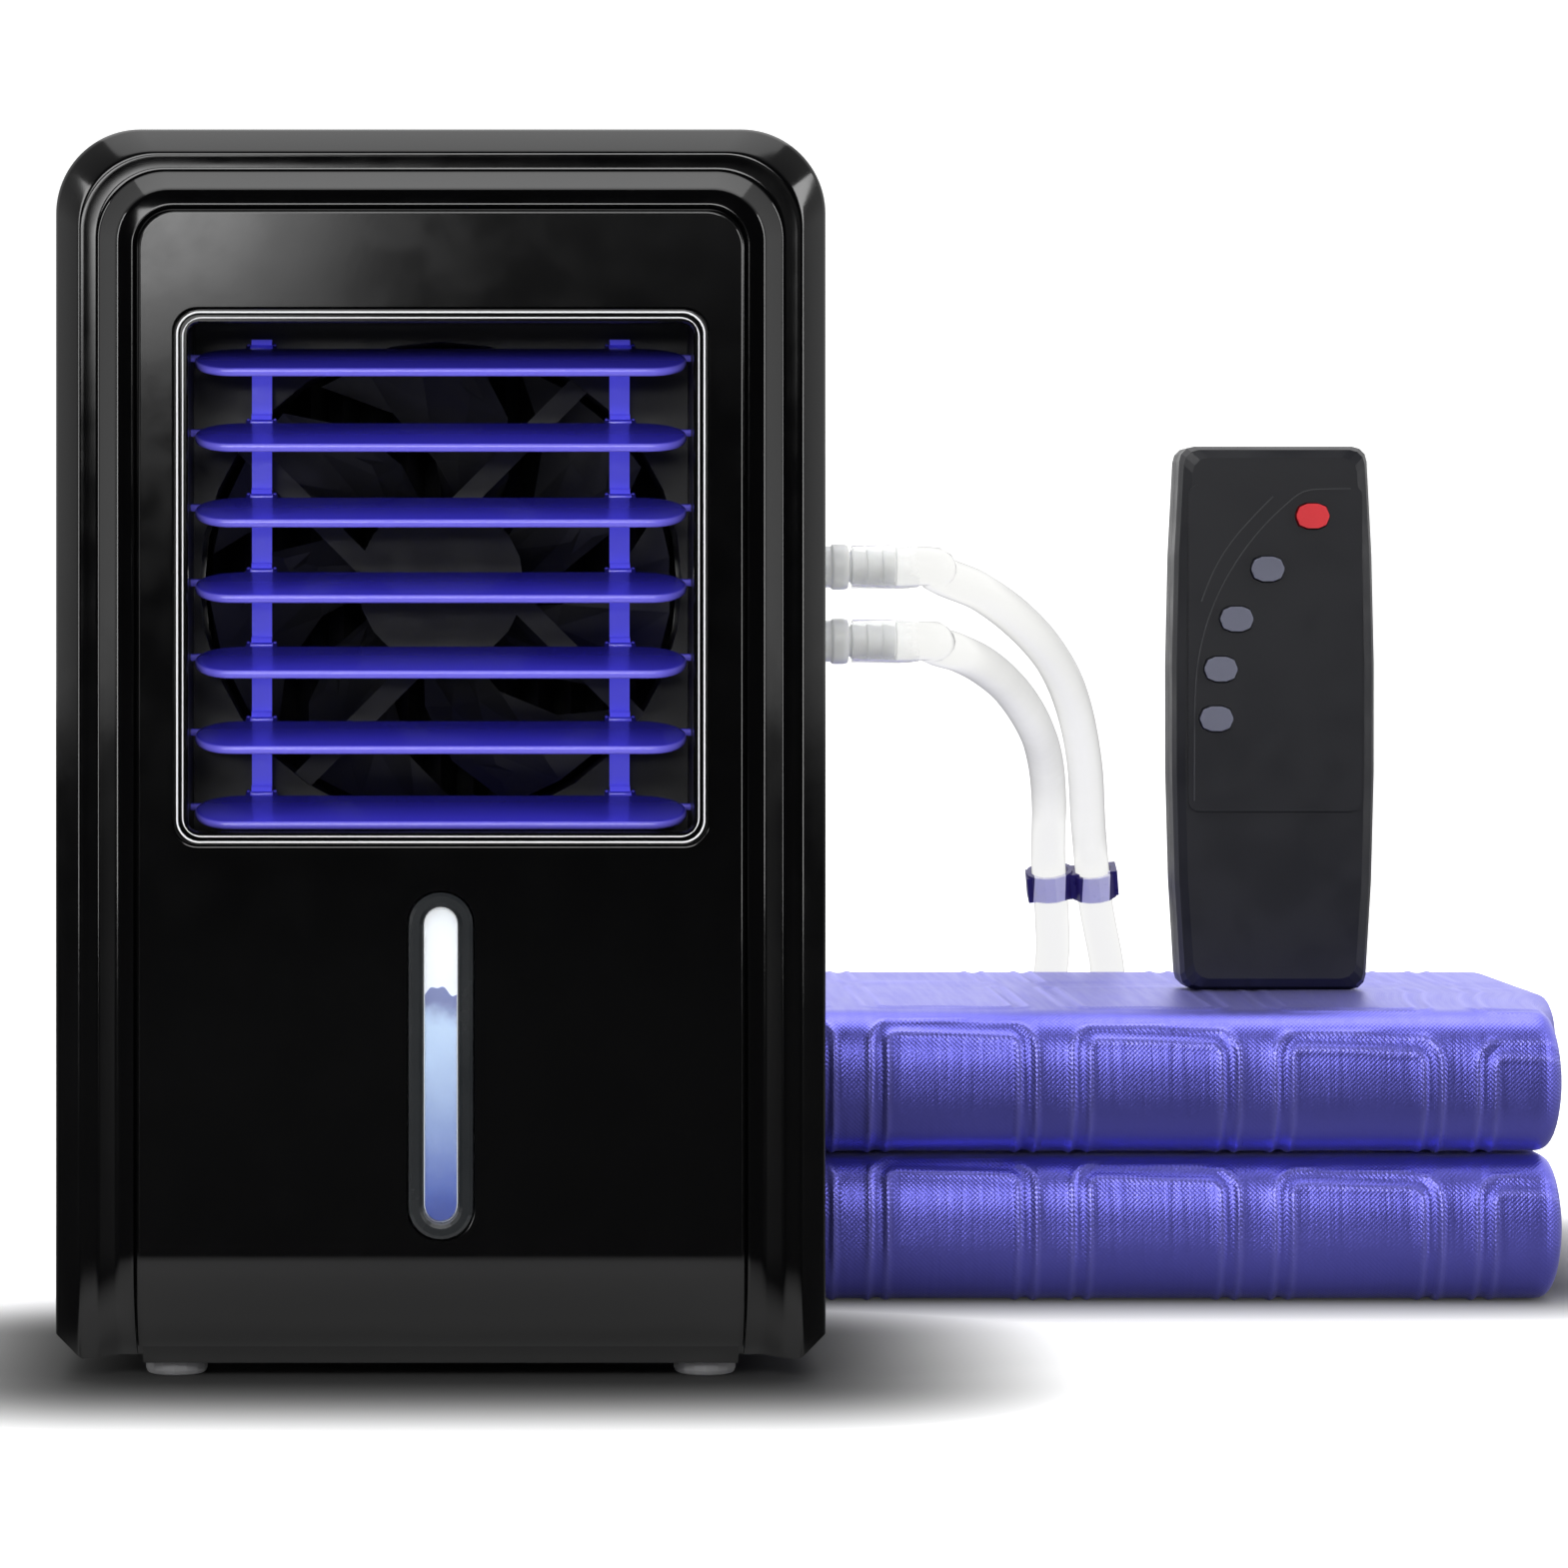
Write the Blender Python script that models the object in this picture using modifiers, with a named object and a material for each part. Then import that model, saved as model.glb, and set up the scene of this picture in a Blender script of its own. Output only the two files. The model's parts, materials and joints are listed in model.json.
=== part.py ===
"""Water cooling mattress pad: a bedside cooling unit, its two hoses, the folded water pad and the hand remote.

The unit stands at x = 0 with its front panel at y = 0 and the table at z = 0, in metres, +Z up. The louvres turn on
pins in the tunnel behind the window and are tied together by two link bars. The fan behind them draws air through
the wet wick that stands in the tank, and the pump in the tank sends water through the hoses to the pad.
"""
import math

import bmesh
import bpy
import numpy as np
from mathutils import Matrix, Vector

for old in list(bpy.data.objects):
    bpy.data.objects.remove(old, do_unlink=True)


# Clearances that the whole assembly shares
GAP = 0.0003
RUNNING_GAP = 0.0005
OVERRUN = 0.004

# Cabinet
UNIT_WIDTH = 0.182
UNIT_HEIGHT = 0.290
UNIT_DEPTH = 0.130
FOOT_HEIGHT = 0.0055
CORNER_RADIUS = 0.020
CHAMFER_WIDTH = 0.0065
CHAMFER_HEIGHT = 0.0055
HOUSING_WALL = 0.0022
REAR_COVER_DEPTH = 0.018
REAR_BEVEL = 0.005

# Front bezel and panel
BEZEL_WIDTH = 0.0192
BEZEL_DEPTH = 0.016
BEZEL_LEDGE = 0.0043
BEZEL_WALL = 0.0019
PANEL_REVEAL = 0.0012
PANEL_THICKNESS = 0.0024
PANEL_CORNER = 0.0082
FOOT_BEND_RADIUS = 0.032
FOOT_BEND_RISE = 0.0265
BEND_ROW_SHARES = (0.0, 0.14, 0.3, 0.5, 0.72, 1.0)

# Louvre window
WINDOW_WIDTH = 0.1245
WINDOW_HEIGHT = 0.1251
WINDOW_DROP = 0.10595
WINDOW_CORNER = 0.0056
TRIM_WIDTH = 0.0031
TRIM_PROUD = 0.0006

# Louvre tunnel
TUNNEL_WIDTH = 0.1186
TUNNEL_HEIGHT = 0.1295
TUNNEL_DROP = 0.10715
TUNNEL_DEPTH = 0.0323
TUNNEL_WALL = 0.0016
TUNNEL_FLANGE = 0.0067

# Louvre blades and their link bars
BLADE_COUNT = 7
BLADE_PITCH = 0.01775
BLADE_LENGTH = 0.1164
BLADE_CHORD = 0.020
BLADE_THICKNESS = 0.002
BLADE_TILT = math.radians(17.0)
BLADE_PIVOT_Y = 0.018
BLADE_LEAD = 0.014
PIVOT_RADIUS = 0.0009
PIVOT_REACH = 0.0011
LINK_OFFSET_X = 0.0428
LINK_ARM = 0.009
LINK_PIN_RADIUS = 0.001
LINK_WIDTH = 0.0048
LINK_THICKNESS = 0.0014
LINK_BACKSET = 0.0017
HOOK_WALL = 0.0009
EAR_THICKNESS = 0.001

# Fan
FAN_SIZE = 0.120
FAN_DEPTH = 0.025
FAN_PLATE = 0.0026
FAN_BORE_RADIUS = 0.058
FAN_SCREW_RADIUS = 0.0022
FAN_SCREW_INSET = 0.0075
CUP_RADIUS = 0.020
CUP_THICKNESS = 0.003
STRUT_WIDTH = 0.005
ROTOR_BLADES = 7
ROTOR_RADIUS = 0.056
HUB_RADIUS = 0.0199
HUB_WALL = 0.0018
ROTOR_BLADE_THICKNESS = 0.0016
SHAFT_RADIUS = 0.0015
MOTOR_RADIUS = 0.012
MOTOR_LENGTH = 0.0134

# Wick and tank
WICK_WIDTH = 0.112
WICK_DEPTH = 0.018
WICK_DROP = 0.0515
WICK_FRONT_Y = 0.064
WICK_SHEET = 0.0024
PLEAT_COUNT = 14
TANK_SIDE_GAP = 0.015
TANK_FRONT_Y = 0.0175
TANK_BACK_GAP = 0.007
TANK_RISE = 0.0022
TANK_WALL = 0.002

# Water gauge
GAUGE_WIDTH = 0.015
GAUGE_FOOT_Z = 0.0347
GAUGE_TO_WINDOW = 0.0112
GAUGE_SLOT_WIDTH = 0.0085
GAUGE_SLOT_MARGIN = 0.0035
GAUGE_PROUD = 0.0006
GAUGE_SLEEVE_WALL = 0.0016
LENS_THICKNESS = 0.0016
LENS_SETBACK = 0.0008

# Ports
PORT_BACKSET = 0.025
SUPPLY_PORT_DROP = 0.1029
PORT_SPACING = 0.0189
PORT_NECK_RADIUS = 0.0052
PORT_NUT_RADIUS = 0.0075
PORT_NUT_LENGTH = 0.0042
PORT_NIPPLE_LENGTH = 0.006
PORT_NIPPLE_RADIUS = 0.003
PORT_COLLAR_RADIUS = 0.0058
PORT_COLLAR_LENGTH = 0.0125
PORT_BARB_LENGTH = 0.012
PORT_BARB_RADIUS = 0.0045
PORT_BORE_RADIUS = 0.002
BARB_RIBS = 3

# Filler in the cabinet's top
FILLER_WIDTH = 0.068
FILLER_BACKSET = 0.012
FILLER_LENGTH = 0.028
FILLER_COLLAR = 0.0075
FILLER_COLLAR_WALL = 0.003
LID_THICKNESS = 0.0022
LID_HINGE_INSET = 0.0014
LID_PIN_RADIUS = 0.0007
LID_PIN_REACH = 0.0012

# Inner parts
BOARD_THICKNESS = 0.0016
BOARD_WIDTH = 0.104
BOARD_FRONT_Y = 0.029
BOARD_DEPTH = 0.034
BOARD_DROP = 0.010
BOSS_RADIUS = 0.003
IONISER_SIZE = Vector((0.040, 0.018, 0.012))
IONISER_FRONT_Y = 0.010
PUMP_SIZE = Vector((0.034, 0.028, 0.030))
PUMP_SIDE_GAP = 0.010
PUMP_FRONT_Y = 0.026
PUMP_RECESS_RADIUS = 0.010
PUMP_RECESS_DEPTH = 0.008
PUMP_SPIGOT = 0.003
IMPELLER_RADIUS = 0.0085
IMPELLER_VANES = 6
IMPELLER_VANE_THICKNESS = 0.0014
IMPELLER_DEPTH = 0.005
TUBE_RADIUS = 0.003
TUBE_RISE_INSET = 0.006
TUBE_RISE_Y = 0.042
RETURN_DROP_INSET = 0.008
RETURN_DROP_SETBACK = 0.013
RETURN_END_Z = 0.030
TUBE_APPROACH = 0.003
INLET_X = 0.055
INLET_Z = 0.035
INLET_RADIUS = 0.0055
INLET_FLANGE = 0.0015
INLET_DEPTH = 0.013
INLET_PIN_RADIUS = 0.001

# Intake grille in the rear cover
SLOT_WIDTH = 0.052
SLOT_HEIGHT = 0.0045
SLOT_PITCH = 0.011
SLOT_COUNT = 10
SLOT_DROP = 0.0605
SLOT_GAP_X = 0.012

# Feet
FOOT_RADIUS = 0.00735
FOOT_OFFSET_X = 0.063
FOOT_FRONT_Y = 0.0245
FOOT_BACKSET = 0.026
FOOT_EDGE = 0.0012

# Hoses
HOSE_DIAMETER = 0.010
HOSE_SPACING = 0.0128
HOSE_STEP = 0.022
COIL_PITCH = 0.0108
COIL_INNER_RADIUS = 0.044
COIL_LAYER = 0.0106
COIL_IN_TURNS = 1.25
COIL_OUT_TURNS = 1.0
COIL_POINTS_PER_TURN = 24
COIL_CENTRE_Y = 0.390
SUPPLY_COIL_X = 0.2680
RETURN_COIL_X = 0.1100
CLIP_HEIGHT = 0.0076
CLIP_WALL = 0.0013
CLIP_BLOCK_DEPTH = 0.0046

# Folded water pad
PAD_LEFT = -0.047
PAD_RIGHT = 0.2946
PAD_SETBACK = 0.008
PAD_DEPTH = 0.154
PAD_HEIGHT = 0.077
PAD_CREASE_DEPTH = 0.007
PAD_CELL_PITCH = 0.0529
PAD_CELL_WIDTH = 0.0435
PAD_FIRST_CELL = 0.1121
PAD_CHANNEL = 0.0016
PAD_STATIONS = 44
NOZZLE_Z = 0.0192
NOZZLE_LENGTH = 0.018
NOZZLE_RADIUS = 0.0045
NOZZLE_FLANGE_RADIUS = 0.0065
NOZZLE_FLANGE = 0.002

# Hand remote, which stands on the pad
REMOTE_X = 0.2284
REMOTE_SETBACK = 0.067
REMOTE_HEIGHT = 0.149
REMOTE_TOP_WIDTH = 0.0515
REMOTE_MID_WIDTH = 0.0556
REMOTE_FOOT_WIDTH = 0.0509
REMOTE_DEPTH = 0.020
REMOTE_FRONT_DEPTH = 0.0095
REMOTE_WALL = 0.0016
REMOTE_EDGE = 0.0032
OVERLAY_WIDTH = 0.0476
OVERLAY_SHARES = (0.3289, 0.9295)
OVERLAY_THICKNESS = 0.0005
KEY_WIDTH = 0.0089
KEY_HEIGHT = 0.0067
KEY_PROUD = 0.0015
KEY_TRAVEL = 0.001
KEY_FLANGE = 0.0009
KEY_FLANGE_LIP = 0.0009
REMOTE_BOARD_WIDTH = 0.044
REMOTE_BOARD_SHARES = (0.1208, 0.9396)
REMOTE_BOARD_THICKNESS = 0.0012
REMOTE_BOSS_RADIUS = 0.0016
CELL_RADIUS = 0.00525
CELL_LENGTH = 0.0445
CELL_TIP = 0.0008
CELL_LOW = 0.0095
BATTERY_DOOR_WIDTH = 0.034
BATTERY_DOOR_LOW = 0.007
BATTERY_DOOR_TOP_SHARE = 0.3859
IR_WIDTH = 0.012
IR_DEPTH = 0.0036

PARTS = bpy.data.collections.new("water_cooling_mattress_pad")
CUTTERS = bpy.data.collections.new("cutters")
bpy.context.scene.collection.children.link(PARTS)
bpy.context.scene.collection.children.link(CUTTERS)
ASSEMBLY = bpy.data.objects.new("assembly", None)
PARTS.objects.link(ASSEMBLY)

# Finishes: colour, roughness, metallic
FINISHES = {
    "gloss_black": ((0.010, 0.010, 0.011), 0.16, 0.0),
    "satin_black": ((0.018, 0.018, 0.020), 0.45, 0.0),
    "violet": ((0.075, 0.055, 0.62), 0.28, 0.0),
    "smoke_grey": ((0.045, 0.045, 0.050), 0.50, 0.0),
    "steel": ((0.62, 0.62, 0.64), 0.30, 1.0),
    "clear": ((0.80, 0.82, 0.84), 0.12, 0.0),
    "milky": ((0.82, 0.82, 0.83), 0.30, 0.0),
    "paper": ((0.72, 0.66, 0.50), 0.90, 0.0),
    "board_green": ((0.02, 0.16, 0.07), 0.45, 0.0),
    "indigo": ((0.030, 0.020, 0.140), 0.35, 0.0),
    "pad_violet": ((0.120, 0.100, 0.520), 0.70, 0.0),
    "remote_black": ((0.014, 0.016, 0.022), 0.48, 0.0),
    "remote_face": ((0.008, 0.010, 0.016), 0.30, 0.0),
    "key_grey": ((0.110, 0.125, 0.150), 0.50, 0.0),
    "key_red": ((0.60, 0.012, 0.022), 0.45, 0.0),
    "foot_rubber": ((0.42, 0.42, 0.43), 0.60, 0.0),
}
MATERIALS = {}
MERGE = 0.00005
WELD = 0.000001
SMOOTH_ANGLE = math.radians(35.0)
TURN_TO_XZ = Matrix.Rotation(math.radians(90.0), 4, "X")
TURN_TO_YZ = Matrix(((0, 0, 1, 0), (1, 0, 0, 0), (0, 1, 0, 0), (0, 0, 0, 1)))


def finish_material(name):
    """Return the named Principled material, making it on first use."""
    if name not in MATERIALS:
        colour, roughness, metallic = FINISHES[name]
        surface = bpy.data.materials.new(name)
        surface.use_nodes = True
        shader = surface.node_tree.nodes["Principled BSDF"]
        shader.inputs["Base Color"].default_value = (*colour, 1.0)
        shader.inputs["Roughness"].default_value = roughness
        shader.inputs["Metallic"].default_value = metallic
        MATERIALS[name] = surface
    return MATERIALS[name]


def adopt(name, data, finish, origin=(0.0, 0.0, 0.0)):
    """Add an object for the data: a part when it has a finish, otherwise a hidden cutter."""
    part = bpy.data.objects.new(name, data)
    part.location = origin
    part.parent = ASSEMBLY
    if finish is None:
        CUTTERS.objects.link(part)
        part.hide_render = True
        part.display_type = "WIRE"
    else:
        PARTS.objects.link(part)
        own = finish_material(finish).copy()
        own.name = name
        data.materials.append(own)
    return part


def solid(name, form, finish=None, origin=(0.0, 0.0, 0.0)):
    """Make an object from a bmesh given in the assembly's frame, with its own origin at the given point."""
    bmesh.ops.translate(form, vec=-Vector(origin), verts=form.verts)
    bmesh.ops.recalc_face_normals(form, faces=form.faces)
    mesh = bpy.data.meshes.new(name)
    form.to_mesh(mesh)
    form.free()
    mesh.shade_smooth()
    mesh.set_sharp_from_angle(angle=SMOOTH_ANGLE)
    return adopt(name, mesh, finish, origin)


def box(low, high):
    """A cube primitive stretched between two corners."""
    form = bmesh.new()
    bmesh.ops.create_cube(form, size=1.0)
    low = Vector(low)
    high = Vector(high)
    bmesh.ops.scale(form, vec=high - low, verts=form.verts)
    bmesh.ops.translate(form, vec=(low + high) / 2, verts=form.verts)
    return form


def rod(start, end, radius, sides=20):
    """A capped cylinder between two points."""
    form = bmesh.new()
    start = Vector(start)
    end = Vector(end)
    run = end - start
    turn = run.to_track_quat("Z", "Y").to_matrix().to_4x4()
    bmesh.ops.create_cone(form, cap_ends=True, segments=sides, radius1=radius, radius2=radius,
                          depth=run.length, matrix=Matrix.Translation((start + end) / 2) @ turn)
    return form


def gather(*forms):
    """Put several separate bmeshes into one, for a cutter or a pattern."""
    whole = bmesh.new()
    for form in forms:
        piece = bpy.data.meshes.new("piece")
        form.to_mesh(piece)
        form.free()
        whole.from_mesh(piece)
        bpy.data.meshes.remove(piece)
    return whole


def rounded(half_width, half_height, radius, steps=5, centre=(0.0, 0.0)):
    """Points of a rounded rectangle, anticlockwise from the right side's lower corner."""
    radius = min(radius, half_width, half_height)
    points = []
    for turn, side, rise in ((0, 1, 1), (1, -1, 1), (2, -1, -1), (3, 1, -1)):
        for step in range(steps + 1):
            angle = math.pi / 2 * (turn + step / steps)
            points.append((centre[0] + side * (half_width - radius) + radius * math.cos(angle),
                           centre[1] + rise * (half_height - radius) + radius * math.sin(angle)))
    return points


def circle(radius, sides=24, centre=(0.0, 0.0)):
    """Points round a circle."""
    turns = [math.tau * step / sides for step in range(sides)]
    return [(centre[0] + radius * math.cos(turn), centre[1] + radius * math.sin(turn)) for turn in turns]


def prism(name, outlines, plane, start, end, finish=None, origin=(0.0, 0.0, 0.0)):
    """Fill flat outlines, the later ones as holes, and run them along the plane's normal from start to end."""
    curve = bpy.data.curves.new(name, "CURVE")
    curve.dimensions = "2D"
    curve.fill_mode = "BOTH"
    curve.extrude = abs(end - start) / 2
    for outline in outlines:
        spline = curve.splines.new("POLY")
        spline.points.add(len(outline) - 1)
        for point, place in zip(spline.points, outline):
            point.co = (place[0], place[1], 0.0, 1.0)
        spline.use_cyclic_u = True
    guide = bpy.data.objects.new(name + "_outline", curve)
    CUTTERS.objects.link(guide)
    middle = (start + end) / 2
    if plane == "XZ":
        guide.matrix_world = Matrix.Translation((0.0, middle, 0.0)) @ TURN_TO_XZ
    elif plane == "YZ":
        guide.matrix_world = Matrix.Translation((middle, 0.0, 0.0)) @ TURN_TO_YZ
    else:
        guide.matrix_world = Matrix.Translation((0.0, 0.0, middle))
    bpy.context.view_layer.update()
    flat = bpy.data.meshes.new_from_object(guide.evaluated_get(bpy.context.evaluated_depsgraph_get()))
    form = bmesh.new()
    form.from_mesh(flat)
    bmesh.ops.transform(form, matrix=guide.matrix_world, verts=form.verts)
    bmesh.ops.remove_doubles(form, verts=form.verts, dist=WELD)
    bpy.data.meshes.remove(flat)
    bpy.data.objects.remove(guide)
    bpy.data.curves.remove(curve)
    return solid(name, form, finish, origin)


def turned(name, profile, axis, origin, finish=None, sides=28, closed=False):
    """Spin (radius, height) points, listed down the outer side, about the axis through the origin."""
    mesh = bpy.data.meshes.new(name)
    edges = [(index, index + 1) for index in range(len(profile) - 1)]
    if closed:
        edges.append((len(profile) - 1, 0))
    mesh.from_pydata([(radius, 0.0, height) for radius, height in profile], edges, [])
    part = adopt(name, mesh, finish, origin)
    part.rotation_mode = "QUATERNION"
    part.rotation_quaternion = Vector(axis).to_track_quat("Z", "Y")
    screw = part.modifiers.new("Screw", "SCREW")
    screw.axis = "Z"
    screw.steps = sides
    screw.render_steps = sides
    screw.use_merge_vertices = True
    screw.merge_threshold = MERGE
    screw.use_smooth_shade = True
    return part


def loft(sections, closed_path=False):
    """Skin closed sections in order, as one bmesh, with a cap at each end of an open path."""
    form = bmesh.new()
    rings = [[form.verts.new(point) for point in section] for section in sections]
    pairs = list(zip(rings, rings[1:]))
    if closed_path:
        pairs.append((rings[-1], rings[0]))
    count = len(rings[0])
    for ring, following in pairs:
        for index in range(count):
            after = (index + 1) % count
            form.faces.new((ring[index], ring[after], following[after], following[index]))
    if not closed_path:
        form.faces.new(rings[0])
        form.faces.new(rings[-1])
    return form


def tube(name, points, radius, finish, resolution=2, origin=(0.0, 0.0, 0.0)):
    """A round tube with filled ends along the points."""
    curve = bpy.data.curves.new(name, "CURVE")
    curve.dimensions = "3D"
    curve.bevel_depth = radius
    curve.bevel_resolution = resolution
    curve.use_fill_caps = True
    spline = curve.splines.new("POLY")
    spline.points.add(len(points) - 1)
    for point, place in zip(spline.points, points):
        point.co = (*(Vector(place) - Vector(origin)), 1.0)
    return adopt(name, curve, finish, origin)


def change(part, operation, tools):
    """Add one exact Boolean for each tool."""
    for tool in tools:
        step = part.modifiers.new(tool.name, "BOOLEAN")
        step.operation = operation
        step.solver = "EXACT"
        step.object = tool
    return part


def cut(part, *tools):
    """Take the tools away from the part."""
    return change(part, "DIFFERENCE", tools)


def join(part, *tools):
    """Add the tools to the part."""
    return change(part, "UNION", tools)


def keep_inside(part, *tools):
    """Keep only what lies inside the tools."""
    return change(part, "INTERSECT", tools)


def soften(part, width, segments=2, angle=math.radians(40.0)):
    """Round the part's sharper edges."""
    step = part.modifiers.new("Rounded edges", "BEVEL")
    step.width = width
    step.segments = segments
    step.limit_method = "ANGLE"
    step.angle_limit = angle
    return part


def smooth_route(points, step, start_way, end_way):
    """Read evenly spaced points from the clamped cubic through the route's own points."""
    knots = np.array(points)
    gaps = np.linalg.norm(np.diff(knots, axis=0), axis=1)
    count = len(knots)
    rows = np.zeros((count, count))
    sums = np.zeros((count, 3))
    rows[0, 0] = rows[-1, -1] = 1.0
    sums[0] = Vector(start_way).normalized()
    sums[-1] = Vector(end_way).normalized()
    for index in range(1, count - 1):
        before, after = gaps[index - 1], gaps[index]
        rows[index, index - 1:index + 2] = (after, 2 * (before + after), before)
        sums[index] = 3 * (after * (knots[index] - knots[index - 1]) / before
                           + before * (knots[index + 1] - knots[index]) / after)
    slopes = np.linalg.solve(rows, sums)
    fine = []
    for index, gap in enumerate(gaps):
        for share in np.linspace(0.0, 1.0, 24, endpoint=False):
            rest = 1 - share
            fine.append(rest * rest * (1 + 2 * share) * knots[index] + share * rest * rest * gap * slopes[index]
                        + share * share * (3 - 2 * share) * knots[index + 1]
                        - share * share * rest * gap * slopes[index + 1])
    fine.append(knots[-1])
    fine = np.array(fine)
    along = np.concatenate(([0.0], np.cumsum(np.linalg.norm(np.diff(fine, axis=0), axis=1))))
    marks = np.linspace(0.0, along[-1], max(2, round(along[-1] / step)) + 1)
    return [Vector(np.array([np.interp(mark, along, fine[:, axis]) for axis in range(3)])) for mark in marks]


def straight_ended(start, way, points, end, end_way, step, lead):
    """A smooth route whose two ends run straight for the lead's length."""
    way = Vector(way)
    end_way = Vector(end_way)
    first = Vector(start) + way * lead / 2
    last = Vector(end) - end_way * lead
    return [Vector(start), *smooth_route([first, *points, last], step, way, end_way), Vector(end)]


# Places that several pieces share
HALF_WIDTH = UNIT_WIDTH / 2
UNIT_TOP = FOOT_HEIGHT + UNIT_HEIGHT
WINDOW_CENTRE_Z = UNIT_TOP - WINDOW_DROP
TUNNEL_CENTRE_Z = UNIT_TOP - TUNNEL_DROP
GAUGE_TOP_Z = WINDOW_CENTRE_Z - WINDOW_HEIGHT / 2 - GAUGE_TO_WINDOW
GAUGE_HEIGHT = GAUGE_TOP_Z - GAUGE_FOOT_Z
GAUGE_CENTRE_Z = (GAUGE_TOP_Z + GAUGE_FOOT_Z) / 2
GAUGE_SLOT_HEIGHT = GAUGE_HEIGHT - GAUGE_SLOT_MARGIN * 2
WICK_TOP = UNIT_TOP - WICK_DROP
TANK_TOP = GAUGE_TOP_Z + TANK_RISE
TANK_WIDTH = UNIT_WIDTH - TANK_SIDE_GAP * 2
TANK_INNER_X = TANK_WIDTH / 2 - TANK_WALL
PUMP_LEFT_X = TANK_INNER_X - PUMP_SIDE_GAP - PUMP_SIZE.x
TUBE_RISE_X = TANK_INNER_X - TUBE_RISE_INSET
RETURN_DROP_X = TANK_INNER_X - RETURN_DROP_INSET
SLOT_FIRST_Z = UNIT_TOP - SLOT_DROP - SLOT_PITCH * (SLOT_COUNT - 1)
PANEL_INSET = BEZEL_WIDTH + PANEL_REVEAL
PANEL_HALF = HALF_WIDTH - PANEL_INSET
WINDOW_HALF = WINDOW_WIDTH / 2
LEDGE_Y = PANEL_THICKNESS + GAP
TUNNEL_HALF = TUNNEL_WIDTH / 2
TUNNEL_BACK_Y = LEDGE_Y + TUNNEL_DEPTH
FAN_FRONT_Y = TUNNEL_BACK_Y + GAP
FAN_CENTRE_Z = TUNNEL_CENTRE_Z
TOP_PIVOT_Z = TUNNEL_CENTRE_Z + BLADE_PITCH * (BLADE_COUNT - 1) / 2
HOUSING_FRONT_Y = BEZEL_DEPTH + GAP
HOUSING_BACK_Y = UNIT_DEPTH - REAR_COVER_DEPTH
TANK_DEPTH = HOUSING_BACK_Y - TANK_BACK_GAP - TANK_FRONT_Y
FILLER_FRONT_Y = HOUSING_BACK_Y - FILLER_BACKSET - FILLER_LENGTH
PORT_Y = UNIT_DEPTH - PORT_BACKSET
SUPPLY_PORT_Z = UNIT_TOP - SUPPLY_PORT_DROP
RETURN_PORT_Z = SUPPLY_PORT_Z - PORT_SPACING
RETURN_DROP_Y = PORT_Y - RETURN_DROP_SETBACK
FOOT_BACK_Y = UNIT_DEPTH - FOOT_BACKSET
PAD_FRONT_Y = UNIT_DEPTH + PAD_SETBACK
REMOTE_Y = PAD_FRONT_Y + REMOTE_SETBACK
FLOOR_TOP = FOOT_HEIGHT + HOUSING_WALL
ROOF_UNDER = UNIT_TOP - HOUSING_WALL
TANK_BOTTOM = FLOOR_TOP + GAP
TANK_FLOOR = TANK_BOTTOM + TANK_WALL
REMOTE_Z = PAD_HEIGHT + GAP
PAD_BACK_Y = PAD_FRONT_Y + PAD_DEPTH


def foot_bend(height):
    """How far the panel has curled back at a height above the cabinet's foot line."""
    rest = max(0.0, FOOT_BEND_RISE - height)
    return FOOT_BEND_RADIUS - math.sqrt(FOOT_BEND_RADIUS ** 2 - rest ** 2)


def chamfered_arch(inset, radius, steps=6, rows=()):
    """Points (x, z) up the left leg, round both top corners and down the right leg, at one inset."""
    half = HALF_WIDTH - inset
    top = UNIT_TOP - inset
    foot = FOOT_HEIGHT + CHAMFER_HEIGHT * max(0.0, 1 - inset / CHAMFER_WIDTH)
    bend_top = FOOT_HEIGHT + FOOT_BEND_RISE
    leg = [foot + (bend_top - foot) * row for row in rows]
    side = [(-half, height) for height in leg]
    for step in range(steps + 1):
        angle = math.pi / 2 * step / steps
        side.append((-half + radius * (1 - math.cos(angle)), top - radius * (1 - math.sin(angle))))
    return side + [(-x, z) for x, z in reversed(side)]


def make_front_bezel():
    """Stepped frame: side band, flat step, bevel and lip, then the ledge that the panel seats on."""
    front_shares = ((0.0, 1.0, 0.0), (0.0, 0.75, 0.0), (0.30, 0.469, 0.0), (0.33, 0.456, 0.10),
                    (0.535, 0.469, 0.16), (0.785, 0.156, 1.0), (1.0, 0.075, 1.0))
    back_shares = ((0.90, 0.36, 1.0), (0.80, 0.36, 1.0), (0.60, 0.60, 0.36), (0.38, 0.61, 0.14))
    section = [(across * BEZEL_WIDTH, deep * BEZEL_DEPTH, bend) for across, deep, bend in front_shares]
    section.append((BEZEL_WIDTH, LEDGE_Y, 1.0))
    section.append((BEZEL_WIDTH + BEZEL_LEDGE, LEDGE_Y, 1.0))
    section.append((BEZEL_WIDTH + BEZEL_LEDGE, LEDGE_Y + BEZEL_WALL, 1.0))
    section.extend((across * BEZEL_WIDTH, deep * BEZEL_DEPTH, bend) for across, deep, bend in back_shares)
    section.append((BEZEL_WALL, BEZEL_DEPTH * front_shares[1][1] + BEZEL_WALL / 2, 0.0))
    section.append((BEZEL_WALL, BEZEL_DEPTH, 0.0))
    rings = []
    for inset, depth, bend in section:
        radius = CORNER_RADIUS - (CORNER_RADIUS - PANEL_CORNER) * min(1.0, inset / PANEL_INSET) ** 1.5
        arch = chamfered_arch(inset, radius, rows=BEND_ROW_SHARES)
        rings.append([Vector((x, depth + bend * foot_bend(z - FOOT_HEIGHT), z)) for x, z in arch])
    return solid("front_bezel", loft([list(station) for station in zip(*rings)]), "gloss_black")


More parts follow.
